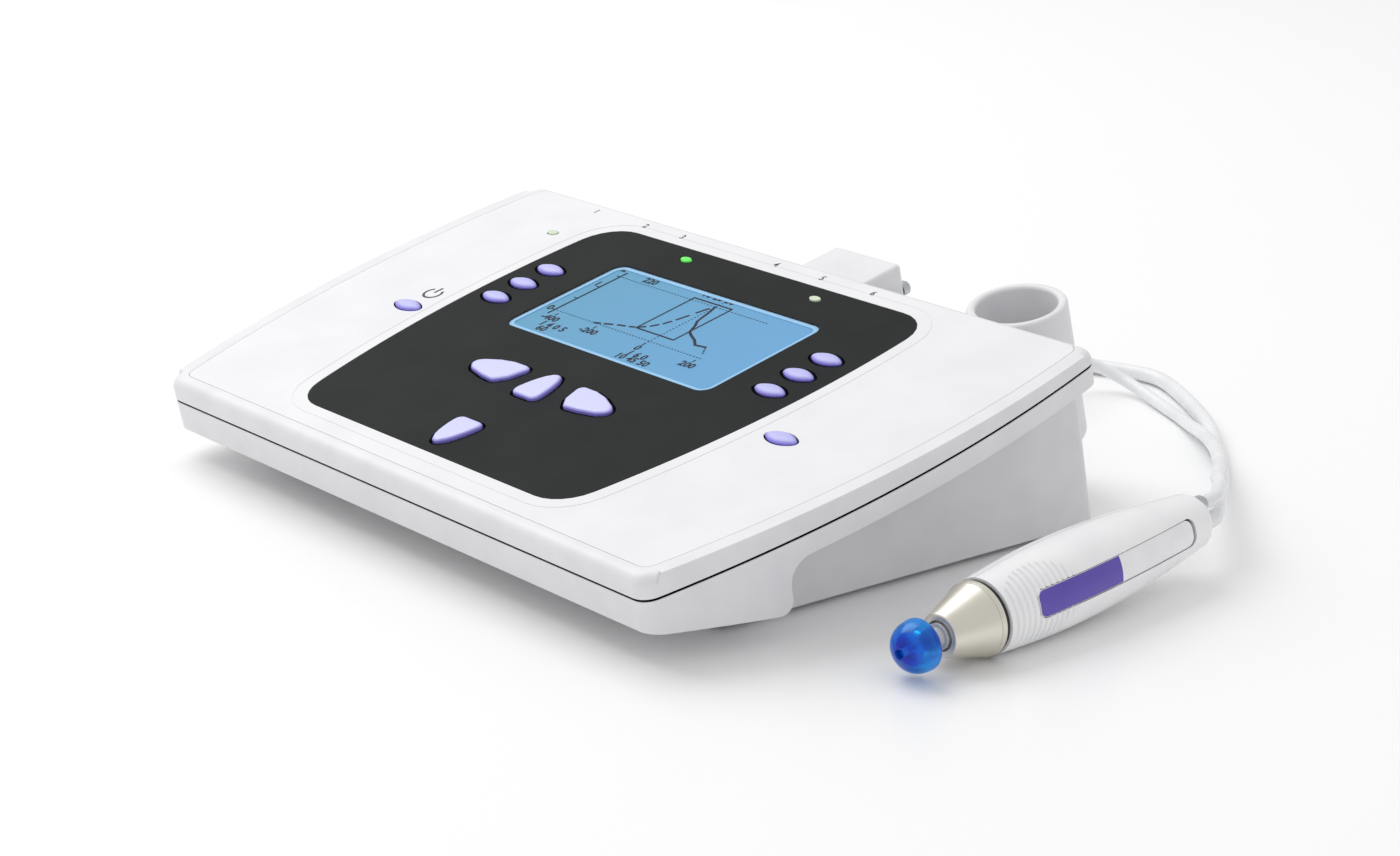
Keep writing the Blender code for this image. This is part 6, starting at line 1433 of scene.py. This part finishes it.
for name, place in FEET.items():
    foot = prism([(place[0] + FOOT_RADIUS * math.cos(a), place[1] + FOOT_RADIUS * math.sin(a))
                  for a in [math.tau * i / 40 for i in range(40)]], FOOT_HEIGHT + FOOT_RECESS - GAP, 0.0,
                 round_bottom=0.6 * MM, round_steps=3)
    add_piece(name + "_pad", foot, TABLE, "console", foot_rubber, "black_rubber", name)

# %% [markdown]
# ## The cup
# The cup holds the probe, nose down, while it isn't in use. It stands behind the rear wall, a turned shape
# with a soft lip on a flat flange. It is spun in one piece, then the flange joins it, and the side towards
# the console is cut flat to meet the wall.

# %% Cup
CUP_PLACE = (81.5 * MM, 187.9 * MM)
CUP_TOP, CUP_BOTTOM, CUP_INNER, CUP_WALL = -5.5 * MM, -52.5 * MM, 12.9 * MM, 3.0 * MM
CUP_FOOT, CUP_FLOOR, CUP_LIP = 17.5 * MM, 2.6 * MM, 1.3 * MM
FLANGE_WIDTH, FLANGE_DEPTH, FLANGE_HEAD = 24.0 * MM, 2.4 * MM, -11.0 * MM
CUT_WIDTH, CUT_DEPTH, CUT_HEIGHT = 80.0 * MM, 16.0 * MM, 100.0 * MM


def spun(profile, segments=64, upright=False):
    """Spin an open profile whose ends lie on the axis; the axis is X, or Z when upright."""
    bm = bmesh.new()
    points = [bm.verts.new((a, r, 0.0)) for a, r in profile]
    edges = [bm.edges.new(pair) for pair in zip(points, points[1:])]
    bmesh.ops.spin(bm, geom=points + edges, cent=(0.0, 0.0, 0.0), axis=(1.0, 0.0, 0.0), angle=math.tau,
                   steps=segments, use_merge=True)
    bmesh.ops.remove_doubles(bm, verts=bm.verts[:], dist=MERGE)
    bmesh.ops.recalc_face_normals(bm, faces=bm.faces[:])
    return moved(bm, (0.0, 0.0, 0.0), Matrix.Rotation(-math.pi / 2, 3, 'Y')) if upright else bm


cup_section = rounded([(CUP_BOTTOM, 0.0), (CUP_BOTTOM, CUP_FOOT), (CUP_TOP, CUP_INNER + CUP_WALL),
                       (CUP_TOP, CUP_INNER), (CUP_BOTTOM + CUP_FLOOR, CUP_INNER),
                       (CUP_BOTTOM + CUP_FLOOR, 0.0)],
                      [0.0, 2.2 * MM, CUP_LIP, CUP_LIP, 2.0 * MM, 0.0], 6)
cup = spun(cup_section, 72, True)
flange_front = STAND_REAR_V + GAP - CUP_PLACE[1]
flange = block((FLANGE_WIDTH, FLANGE_DEPTH, FLANGE_HEAD - CUP_BOTTOM),
               (0.0, flange_front + FLANGE_DEPTH / 2, (FLANGE_HEAD + CUP_BOTTOM) / 2))
soften(flange, 0.8 * MM, lambda edge: all(f.normal.y > -0.5 for f in edge.link_faces), 3)
hollow = rod(CUP_INNER, CUP_BOTTOM + 6.0 * MM, CUP_TOP - 4.0 * MM, segments=72)
cup = combined(cup, combined(flange, hollow), 'UNION')
cup = combined(cup, block((CUT_WIDTH, CUT_DEPTH, CUT_HEIGHT),
                          (0.0, flange_front - CUT_DEPTH / 2, CUP_BOTTOM / 2)))
add_piece("cup_moulding", moved(cup, (*CUP_PLACE, 0.0)), CONSOLE, "console", moulded_abs, "white_abs",
          "probe_cup")

# %% [markdown]
# ## The probe's plug
# The plug has a white hood with rounded edges, and the lead leaves it downwards through a ringed boot that
# keeps it from kinking. The hood is a rounded prism and the boot is turned. They are moulded as one on the
# real plug, so they are joined here.

# %% Plug hood
HOOD_TOP, HOOD_BOTTOM, HOOD_START = -12.2 * MM, -28.4 * MM, STAND_REAR_V + GAP
HOOD_HALF, HOOD_END = 15.5 * MM, HOOD_START + 28.6 * MM
PLUG_W = BOARD_TOP + GAP + 5.5 * MM
PLUG_SCREW_U, PLUG_MOUTH = 12.6 * MM, (17.6 * MM, 11.6 * MM, 8.6 * MM)
HOOD_CORNER, HOOD_ROUND, HOOD_EASE = 1.8 * MM, 1.6 * MM, 0.8 * MM
BOOT_RADIUS, RING_PITCH, RING_TAPER = 5.2 * MM, 2.3 * MM, 0.42 * MM
hood = prism(rounded([(-HOOD_HALF, HOOD_START), (HOOD_HALF, HOOD_START), (HOOD_HALF, HOOD_END),
                      (-HOOD_HALF, HOOD_END)], [0.0, 0.0, HOOD_CORNER, HOOD_CORNER], 6),
             HOOD_TOP, HOOD_BOTTOM, HOOD_ROUND, 6, HOOD_EASE)
boot_section = [(HOOD_BOTTOM + OVER, 0.0), (HOOD_BOTTOM + OVER, BOOT_RADIUS)]
for ring_number in range(5):
    low = HOOD_BOTTOM - 1.0 * MM - RING_PITCH * ring_number
    radius = BOOT_RADIUS - RING_TAPER * ring_number
    boot_section += [(low, radius), (low - 1.4 * MM, radius - 0.25 * MM), (low - 1.5 * MM, radius - 0.8 * MM),
                     (low - 2.2 * MM, radius - 0.9 * MM)]
boot_end = HOOD_BOTTOM - 13.0 * MM
boot_section += [(boot_end, 2.9 * MM), (boot_end, 0.0)]
boot = moved(spun(boot_section, 40, True), (0.0, BOOT_V, 0.0))
hood = combined(hood, boot, 'UNION')
bores = [rod(PILLAR_BORE, HOOD_START - OVER, HOOD_END + OVER, 'Y', (side * PLUG_SCREW_U, PLUG_W), 24)
         for side in (-1, 1)]
mouth = block(PLUG_MOUTH, (0.0, STAND_REAR_V, PLUG_W))
hood = combined(hood, together(mouth, *bores))
add_piece("plug_moulding", hood, CONSOLE, "console", moulded_abs, "white_abs", "probe_plug_hood")

# %% [markdown]
# ## The plug's thumb screws
# A knurled thumb screw at each side, slotted for a screwdriver, holds the plug to its socket. A knurl cut by
# Booleans would be slow, so every second point of the turned head's rim is drawn in a little.

# %% Thumb screws
SCREW_SEGMENTS, KNURL_SHARE = 32, 0.94
SLOT_SIZE = (0.6 * MM, 1.2 * MM, 6.0 * MM)
head_start = HOOD_END + GAP
section = [(HOOD_START, 0.0), (HOOD_START, 1.3 * MM), (HOOD_START + 0.3 * MM, 1.5 * MM),
           (head_start, 1.5 * MM), (head_start, 2.2 * MM), (head_start + 0.2 * MM, 2.4 * MM),
           (head_start + 2.7 * MM, 2.4 * MM), (head_start + 3.0 * MM, 2.1 * MM), (head_start + 3.0 * MM, 0.0)]
for name, side in (("plug_screw_left", -1), ("plug_screw_right", 1)):
    screw = spun(section, SCREW_SEGMENTS)
    rim = [v for v in screw.verts if head_start < v.co.x < head_start + 2.9 * MM
           and math.hypot(v.co.y, v.co.z) > 2.3 * MM]
    for vert in rim:
        if round(math.atan2(vert.co.z, vert.co.y) / math.tau * SCREW_SEGMENTS) % 2:
            vert.co.y *= KNURL_SHARE
            vert.co.z *= KNURL_SHARE
    screw = moved(screw, (0.0, 0.0, 0.0), Matrix.Rotation(math.pi / 2, 3, 'Z'))
    screw = combined(screw, block(SLOT_SIZE, (0.0, head_start + 3.0 * MM, 0.0)))
    add_piece(name + "_steel", moved(screw, (side * PLUG_SCREW_U, 0.0, PLUG_W)), CONSOLE, name, bright_zinc,
              "screw_steel", name)

# %% [markdown]
# ## Measures of the hand probe
# The probe is round about its own axis: two white body halves with a fine gap between them, fine grip
# grooves on both sides of the nose end, a label plate let into one side, and a satin nickel nose cone.
# Places are measured along its axis from the cone's rear.

# %% Probe measures
BODY_START, BODY_LENGTH, BODY_WALL, TAIL_ROUND = 1.6 * MM, 92.4 * MM, 1.8 * MM, 3.0 * MM
FRONT_RADIUS, BELLY_RADIUS, TAIL_RADIUS, BELLY_SHARE = 11.2 * MM, 13.0 * MM, 8.3 * MM, 0.34
TAIL_PLUG_RADIUS, BODY_BORE = 6.4 * MM, 5.2 * MM
LABEL_START, LABEL_END, LABEL_WIDTH, LABEL_CORNER = 12.7 * MM, 82.6 * MM, 7.8 * MM, 2.4 * MM
LABEL_THICKNESS, LABEL_SINK = 0.9 * MM, 0.15 * MM
GROOVE_PITCH, GROOVE_DEPTH, GROOVE_HALF = 2.15 * MM, 0.95 * MM, 0.5 * MM
GROOVES = [2.2 * MM + GROOVE_PITCH * i for i in range(12)]
PATCH_CENTRE, PATCH_LENGTH, PATCH_HEIGHT, PATCH_FADE = 13.0 * MM, 14.5 * MM, 13.0 * MM, 0.08
BODY_STEPS = 19
print("the probe body is", round(BODY_LENGTH / MM, 1), "mm long with", len(GROOVES), "grip grooves")

# %% [markdown]
# ## The probe's side
# The body swells to a belly and falls to the tail without a kink. A curve through points would do, but two
# parts of a sine wave do it with four radii. The closed section of a half also has its rounded tail, its
# wall and its bore, and extra points where the grip grooves will be.

# %% Side of the probe
def body_radius(share):
    """The probe body's outer radius at a share of its length."""
    if share < BELLY_SHARE:
        return FRONT_RADIUS + (BELLY_RADIUS - FRONT_RADIUS) * math.sin(math.pi / 2 * share / BELLY_SHARE)
    fall = 1 - math.cos(math.pi / 2 * (share - BELLY_SHARE) / (1 - BELLY_SHARE))
    return BELLY_RADIUS - (BELLY_RADIUS - TAIL_RADIUS) * fall


def body_side(places, shrink=0.0):
    """Points of the body's side at places along it."""
    return [(a, body_radius((a - BODY_START) / BODY_LENGTH) - shrink) for a in places]


def half_shell():
    """The closed section of a body half: outside, tail wall and inside."""
    places = {BODY_START}
    for groove in GROOVES:
        places |= {groove + BODY_START + GROOVE_HALF * k for k in (-1.0, -0.5, 0.0, 0.5, 1.0)}
    places |= {BODY_START + (30.0 + 3.2 * i) * MM for i in range(BODY_STEPS)}
    end = BODY_START + BODY_LENGTH
    outer = body_side(sorted(places) + [end - TAIL_ROUND])
    tail_radius = outer[-1][1]
    for step in range(1, 7):
        angle = math.pi / 2 * step / 6
        outer.append((end - TAIL_ROUND * (1 - math.sin(angle)),
                      tail_radius - TAIL_ROUND * (1 - math.cos(angle))))
    outer.append((end, TAIL_PLUG_RADIUS - BODY_WALL))
    inner = body_side([BODY_START + BODY_WALL + 8.0 * MM * i for i in range(12)] + [end - 2 * BODY_WALL],
                      BODY_WALL)
    inner = [p for p in inner if p[0] <= end - 2 * BODY_WALL]
    return outer + [(end - 2 * BODY_WALL, TAIL_PLUG_RADIUS - BODY_WALL)] + list(reversed(inner)) + [
        (BODY_START + BODY_WALL, BODY_BORE), (BODY_START, BODY_BORE)]


print("a body half's section has", len(half_shell()), "points")

# %% [markdown]
# ## Grip grooves and label
# The grooves are fine and fade out at the rim of an oval patch. Cutting each with a Boolean would need many
# thin cutters, so the skin's own points, which lie at the grooves, are pressed in instead. The label follows
# the body's curve, so it is a band of the same skin, trimmed to the label's outline.

# %% Grip grooves and label
LABEL_STEPS = 30


def grooved(bm):
    """Press the grip grooves into the outer skin, within an oval patch on each side."""
    for vert in bm.verts:
        radius = math.hypot(vert.co.y, vert.co.z)
        along = vert.co.x - BODY_START
        skin = body_radius(along / BODY_LENGTH) if 0.0 < along < 0.9 * BODY_LENGTH else math.inf
        if abs(radius - skin) > 0.01 * MM:
            continue
        around = radius * math.asin(max(-1.0, min(1.0, vert.co.z / radius)))
        reach = math.hypot((along - PATCH_CENTRE) / PATCH_LENGTH, around / PATCH_HEIGHT)
        nearest = min(abs(along - groove) for groove in GROOVES)
        fade = max(0.0, min(1.0, (1.0 - reach) / PATCH_FADE))
        depth = GROOVE_DEPTH * max(0.0, 1.0 - nearest / GROOVE_HALF) * fade
        vert.co.y *= 1 - depth / radius
        vert.co.z *= 1 - depth / radius
    return bm


def label_outline(extra, end=LABEL_END):
    """The label's outline, seen from its own side."""
    return rectangle(end - LABEL_START + 2 * extra, LABEL_WIDTH + 2 * extra, LABEL_CORNER + extra,
                     ((LABEL_START + end) / 2, 0.0), 6)


def label_layer(outer_shrink, inner_shrink, outline):
    """A band of the body's skin, trimmed to an outline on the label's side."""
    start, length = LABEL_START - 4.0 * MM, LABEL_END - LABEL_START + 8.0 * MM
    places = [start + length * i / LABEL_STEPS for i in range(LABEL_STEPS + 1)]
    section = body_side(places, outer_shrink) + list(reversed(body_side(places, inner_shrink)))
    band = turned(section, 40, math.pi / 2, math.pi * 3 / 4)
    trim = moved(prism(outline, 2 * BELLY_RADIUS, 0.0), (0.0, 0.0, 0.0), Matrix.Rotation(math.pi / 2, 3, 'X'))
    return combined(band, trim, 'INTERSECT')


print("the label is", round((LABEL_END - LABEL_START) / MM, 1), "mm long")

# %% [markdown]
# ## The probe's body and label
# Each half is a profile turned through half a circle. The label plate lies in a recess of the right half,
# which is a little longer than the plate. A black layer under the plate shows as a dark crescent at its end:
# painted shade, for the shadow in the gap there. A purple film covers the front part of the plate. All three
# are bands of the body's own skin, so each follows its curve.

# %% Probe body and label
LABEL_FIT, TAIL_SHADE_GAP, RECESS_END = 0.02 * MM, 0.03 * MM, LABEL_END + 0.9 * MM
COLOUR_END, COLOUR_BLOCK = 47.0 * MM, 40.0 * MM
for name, start, side in (("left", -math.pi / 2, 1), ("right", math.pi / 2, -1)):
    half = moved(grooved(turned(half_shell(), 60, math.pi, start)), (0.0, side * GAP / 2, 0.0))
    if name == "right":
        half = combined(half, label_layer(-OVER, LABEL_THICKNESS + GAP, label_outline(GAP, RECESS_END)))
    add_piece("probe_half_" + name, half, PROBE, "console", gloss_abs, "white_abs", "probe_body_" + name)
plate = label_layer(LABEL_SINK, LABEL_THICKNESS, label_outline(0.0))
add_piece("label_plate", plate, PROBE, "console", label_abs, "grey_plastic", "probe_label")
# Painted shade: a black layer under the label plate shows at its end, for the shadow in the gap.
shade_layer = label_layer(LABEL_THICKNESS + LABEL_FIT, LABEL_THICKNESS + GAP - TAIL_SHADE_GAP,
                   label_outline(GAP - TAIL_SHADE_GAP, RECESS_END - TAIL_SHADE_GAP))
add_piece("label_tape", shade_layer, PROBE, "console", black_foam, "black_rubber")
purple = label_layer(LABEL_SINK - 0.06 * MM, LABEL_SINK - 0.01 * MM, label_outline(-FIT))
front_part = block((COLOUR_BLOCK, COLOUR_BLOCK, COLOUR_BLOCK), (COLOUR_END - COLOUR_BLOCK / 2, 0.0, 0.0))
purple = combined(purple, front_part, 'INTERSECT')
add_piece("label_colour_block", purple, PROBE, "console", purple_film, "key_lavender")

# %% [markdown]
# ## The nose cone and its seal
# The metal cone unscrews, so that the stem can be cleaned. It has a soft front edge and a narrow band at its
# rear, and a black ring seals it to the body. Both are turned from their whole section, inside and out, so
# that they stay closed when the cone is looked at from behind.

# %% Nose cone and seal
TIP = -15.7 * MM
cone = rounded([(TIP, 4.4 * MM), (TIP, 6.3 * MM), (-1.75 * MM, 10.6 * MM), (-1.7 * MM, 10.9 * MM),
                (0.0, 11.0 * MM), (0.0, 9.4 * MM), (-2.4 * MM, 9.4 * MM), (TIP + 5.0 * MM, 4.4 * MM),
                (TIP + 5.0 * MM, 3.5 * MM), (TIP + 3.0 * MM, 3.5 * MM), (TIP + 3.0 * MM, 4.4 * MM)],
               [0.3 * MM, 1.1 * MM, 0.0, 0.12 * MM, 0.2 * MM, 0.0, 0.0, 0.0, 0.0, 0.0, 0.0], 6)
add_piece("cone_metal", turned(cone, 96), PROBE, "nose_cone", satin_nickel, "satin_nickel", "nose_cone")
seal = rounded([(0.3 * MM, 7.5 * MM), (0.3 * MM, 10.7 * MM), (1.3 * MM, 10.7 * MM), (1.3 * MM, 7.5 * MM)],
               [0.0, 0.35 * MM, 0.35 * MM, 0.0], 4)
add_piece("seal_ring", turned(seal, 72), PROBE, "console", seal_rubber, "black_rubber", "nose_seal")

# %% [markdown]
# ## The stem
# The clear stem comes out through the middle of the cone, and its ribs hold the ear tip. Each rib is two
# close pairs of points in the section, so that its edges stay crisp when it is turned.

# %% Stem
STEM_END = TIP - 10.0 * MM
stem = [(STEM_END, 1.1 * MM), (STEM_END, 2.9 * MM), (STEM_END + 0.3 * MM, 3.2 * MM)]
for place, radius in ((-4.4, 3.2), (-4.3, 3.6), (-3.7, 3.6), (-3.6, 2.9), (-0.9, 2.9), (-0.8, 3.9),
                      (-0.2, 3.9), (-0.1, 3.3), (2.4, 3.3), (2.5, 4.1), (2.9, 4.1), (2.95, 3.2)):
    stem.append((TIP + place * MM, radius * MM))
stem += [(-2.4 * MM, 3.2 * MM), (-2.4 * MM, 7.2 * MM), (-0.3 * MM, 7.2 * MM), (-0.3 * MM, 4.9 * MM),
         (3.1 * MM, 4.9 * MM), (3.1 * MM, 1.1 * MM)]
add_piece("stem_clear", turned(stem, 64), PROBE, "console", clear_plastic, "clear_plastic", "probe_tip")

# %% [markdown]
# ## The ear tip
# The ear tip is a soft mushroom of blue silicone that seals the ear canal. It has no straight line in its
# side, so a few measured points are joined by the same smooth curve as the cords, and the hole and the
# socket for the stem follow with plain corners. The whole section is then turned.

# %% Ear tip
EAR_SIDE = ((0.0, 0.50), (0.0, 0.86), (0.04, 0.97), (0.12, 1.0), (0.30, 0.985), (0.50, 0.93), (0.70, 0.80),
            (0.85, 0.60), (0.95, 0.38), (0.995, 0.22))
EAR_START, EAR_LENGTH, EAR_HOLE, EAR_SOCKET = TIP - 6.4 * MM, 9.4 * MM, 1.3 * MM, 3.7 * MM
side_points = smooth_route([(EAR_START - EAR_LENGTH * a, EAR_RADIUS * r, 0.0) for a, r in EAR_SIDE], 40)
ear = [(p.x, p.y) for p in side_points]
front = EAR_START - EAR_LENGTH
ear += [(front, EAR_HOLE + 0.35 * MM), (front + 0.15 * MM, EAR_HOLE + 0.08 * MM),
        (front + 0.5 * MM, EAR_HOLE), (STEM_END - GAP, EAR_HOLE), (STEM_END - GAP, EAR_SOCKET),
        (EAR_START, EAR_SOCKET)]
add_piece("ear_tip_soft", turned(ear, 72), PROBE, "ear_tip", ear_silicone, "ear_tip_blue", "ear_tip")

# %% [markdown]
# ## The tail
# The tail fitting plugs the body and holds the lead. The air tube slides over a spigot, and a bright ferrule
# round it keeps it tight. Fitting and spigot are turned, each about its own axis, and joined.

# %% Tail fitting
TAIL = BODY_START + BODY_LENGTH
inner_tail = TAIL - 2 * BODY_WALL
neck = TAIL_PLUG_RADIUS - BODY_WALL - GAP
fitting = spun([(inner_tail - BODY_WALL - GAP, 0.0), (inner_tail - BODY_WALL - GAP, TAIL_PLUG_RADIUS),
                (inner_tail - GAP, TAIL_PLUG_RADIUS), (inner_tail - GAP, neck), (TAIL + GAP, neck),
                (TAIL + GAP, TAIL_PLUG_RADIUS), (TAIL + 1.1 * MM, TAIL_PLUG_RADIUS),
                (TAIL + 1.5 * MM, TAIL_PLUG_RADIUS - 0.3 * MM),
                (TAIL + 1.6 * MM, TAIL_PLUG_RADIUS - 0.7 * MM), (TAIL + 1.6 * MM, 0.0)], 64)
spigot = spun([(TAIL + 1.3 * MM, 0.0), (TAIL + 1.3 * MM, 1.9 * MM), (TAIL + 4.9 * MM, 1.9 * MM),
               (TAIL + 5.2 * MM, 1.6 * MM), (TAIL + 5.2 * MM, 0.0)], 40)
fitting = combined(fitting, moved(spigot, (0.0, 0.0, TUBE_OFF_AXIS)), 'UNION')
add_piece("tail_moulding", fitting, PROBE, "console", lead_vinyl, "lead_grey", "tail_fitting")
ferrule = rounded([(TAIL + 1.65 * MM, 1.95 * MM), (TAIL + 1.65 * MM, 2.7 * MM), (TAIL + 5.0 * MM, 2.7 * MM),
                   (TAIL + 5.0 * MM, 1.95 * MM)], [0.0, 0.25 * MM, 0.25 * MM, 0.0], 4)
add_piece("tail_ferrule", moved(turned(ferrule, 48), (0.0, 0.0, TUBE_OFF_AXIS)), PROBE, "console",
          bright_zinc, "screw_steel")

# %% [markdown]
# ## The air plug
# A ribbed rubber sleeve joins the tube to the console's air nipple. The ribs give the fingers a hold when it
# is pulled off. They are part of the turned section, so they cost no cuts.

# %% Air plug
sleeve_start = STAND_REAR_V + GAP
sleeve_end = sleeve_start + 14.0 * MM
nipple_end = STAND_REAR_V + 9.3 * MM
sleeve = [(sleeve_start, 2.2 * MM), (sleeve_start, 3.5 * MM), (sleeve_start + 0.3 * MM, 3.8 * MM)]
for number in range(4):
    groove = sleeve_start + (2.0 + 1.8 * number) * MM
    sleeve += [(groove, 3.8 * MM), (groove + 0.15 * MM, 3.5 * MM), (groove + 0.65 * MM, 3.5 * MM),
               (groove + 0.8 * MM, 3.8 * MM)]
sleeve += [(sleeve_end - 3.8 * MM, 3.8 * MM), (sleeve_end - 0.3 * MM, 2.7 * MM), (sleeve_end, 2.4 * MM),
           (sleeve_end, 0.9 * MM), (nipple_end, 0.9 * MM), (nipple_end, 2.2 * MM)]
sleeve = moved(turned(sleeve, 48), (AIR_PORT[0], 0.0, AIR_PORT[1]), Matrix.Rotation(math.pi / 2, 3, 'Z'))
add_piece("air_plug_sleeve", sleeve, CONSOLE, "console", mat_silicone, "grey_plastic", "air_plug")

# %% [markdown]
# ## Finishes of the remaining solids
# The boards, the pump, the sockets and the case screws are hidden or seen only end on. Their solids have the
# right shape already, so they keep it, and only get the finish of the real part.

# %% Finishes of kept solids
KEPT = {"lcd_module": lcd_face, "key_mat": mat_silicone, "key_board": board_mask, "main_board": board_mask,
        "air_pump": mat_silicone, "pump_crank": bright_zinc, "dc_jack": socket_nylon, "usb_port": bright_zinc,
        "printer_port": socket_nylon, "contra_jack": socket_nylon, "air_port": satin_nickel,
        "probe_socket": socket_nylon, "probe_core": socket_nylon, "case_screw_front_left": bright_zinc,
        "case_screw_front_right": bright_zinc, "case_screw_rear_left": bright_zinc,
        "case_screw_rear_right": bright_zinc}
for name, finish in KEPT.items():
    nodes[name].material_slots[0].material = finish
print("kept solids:", len(KEPT))
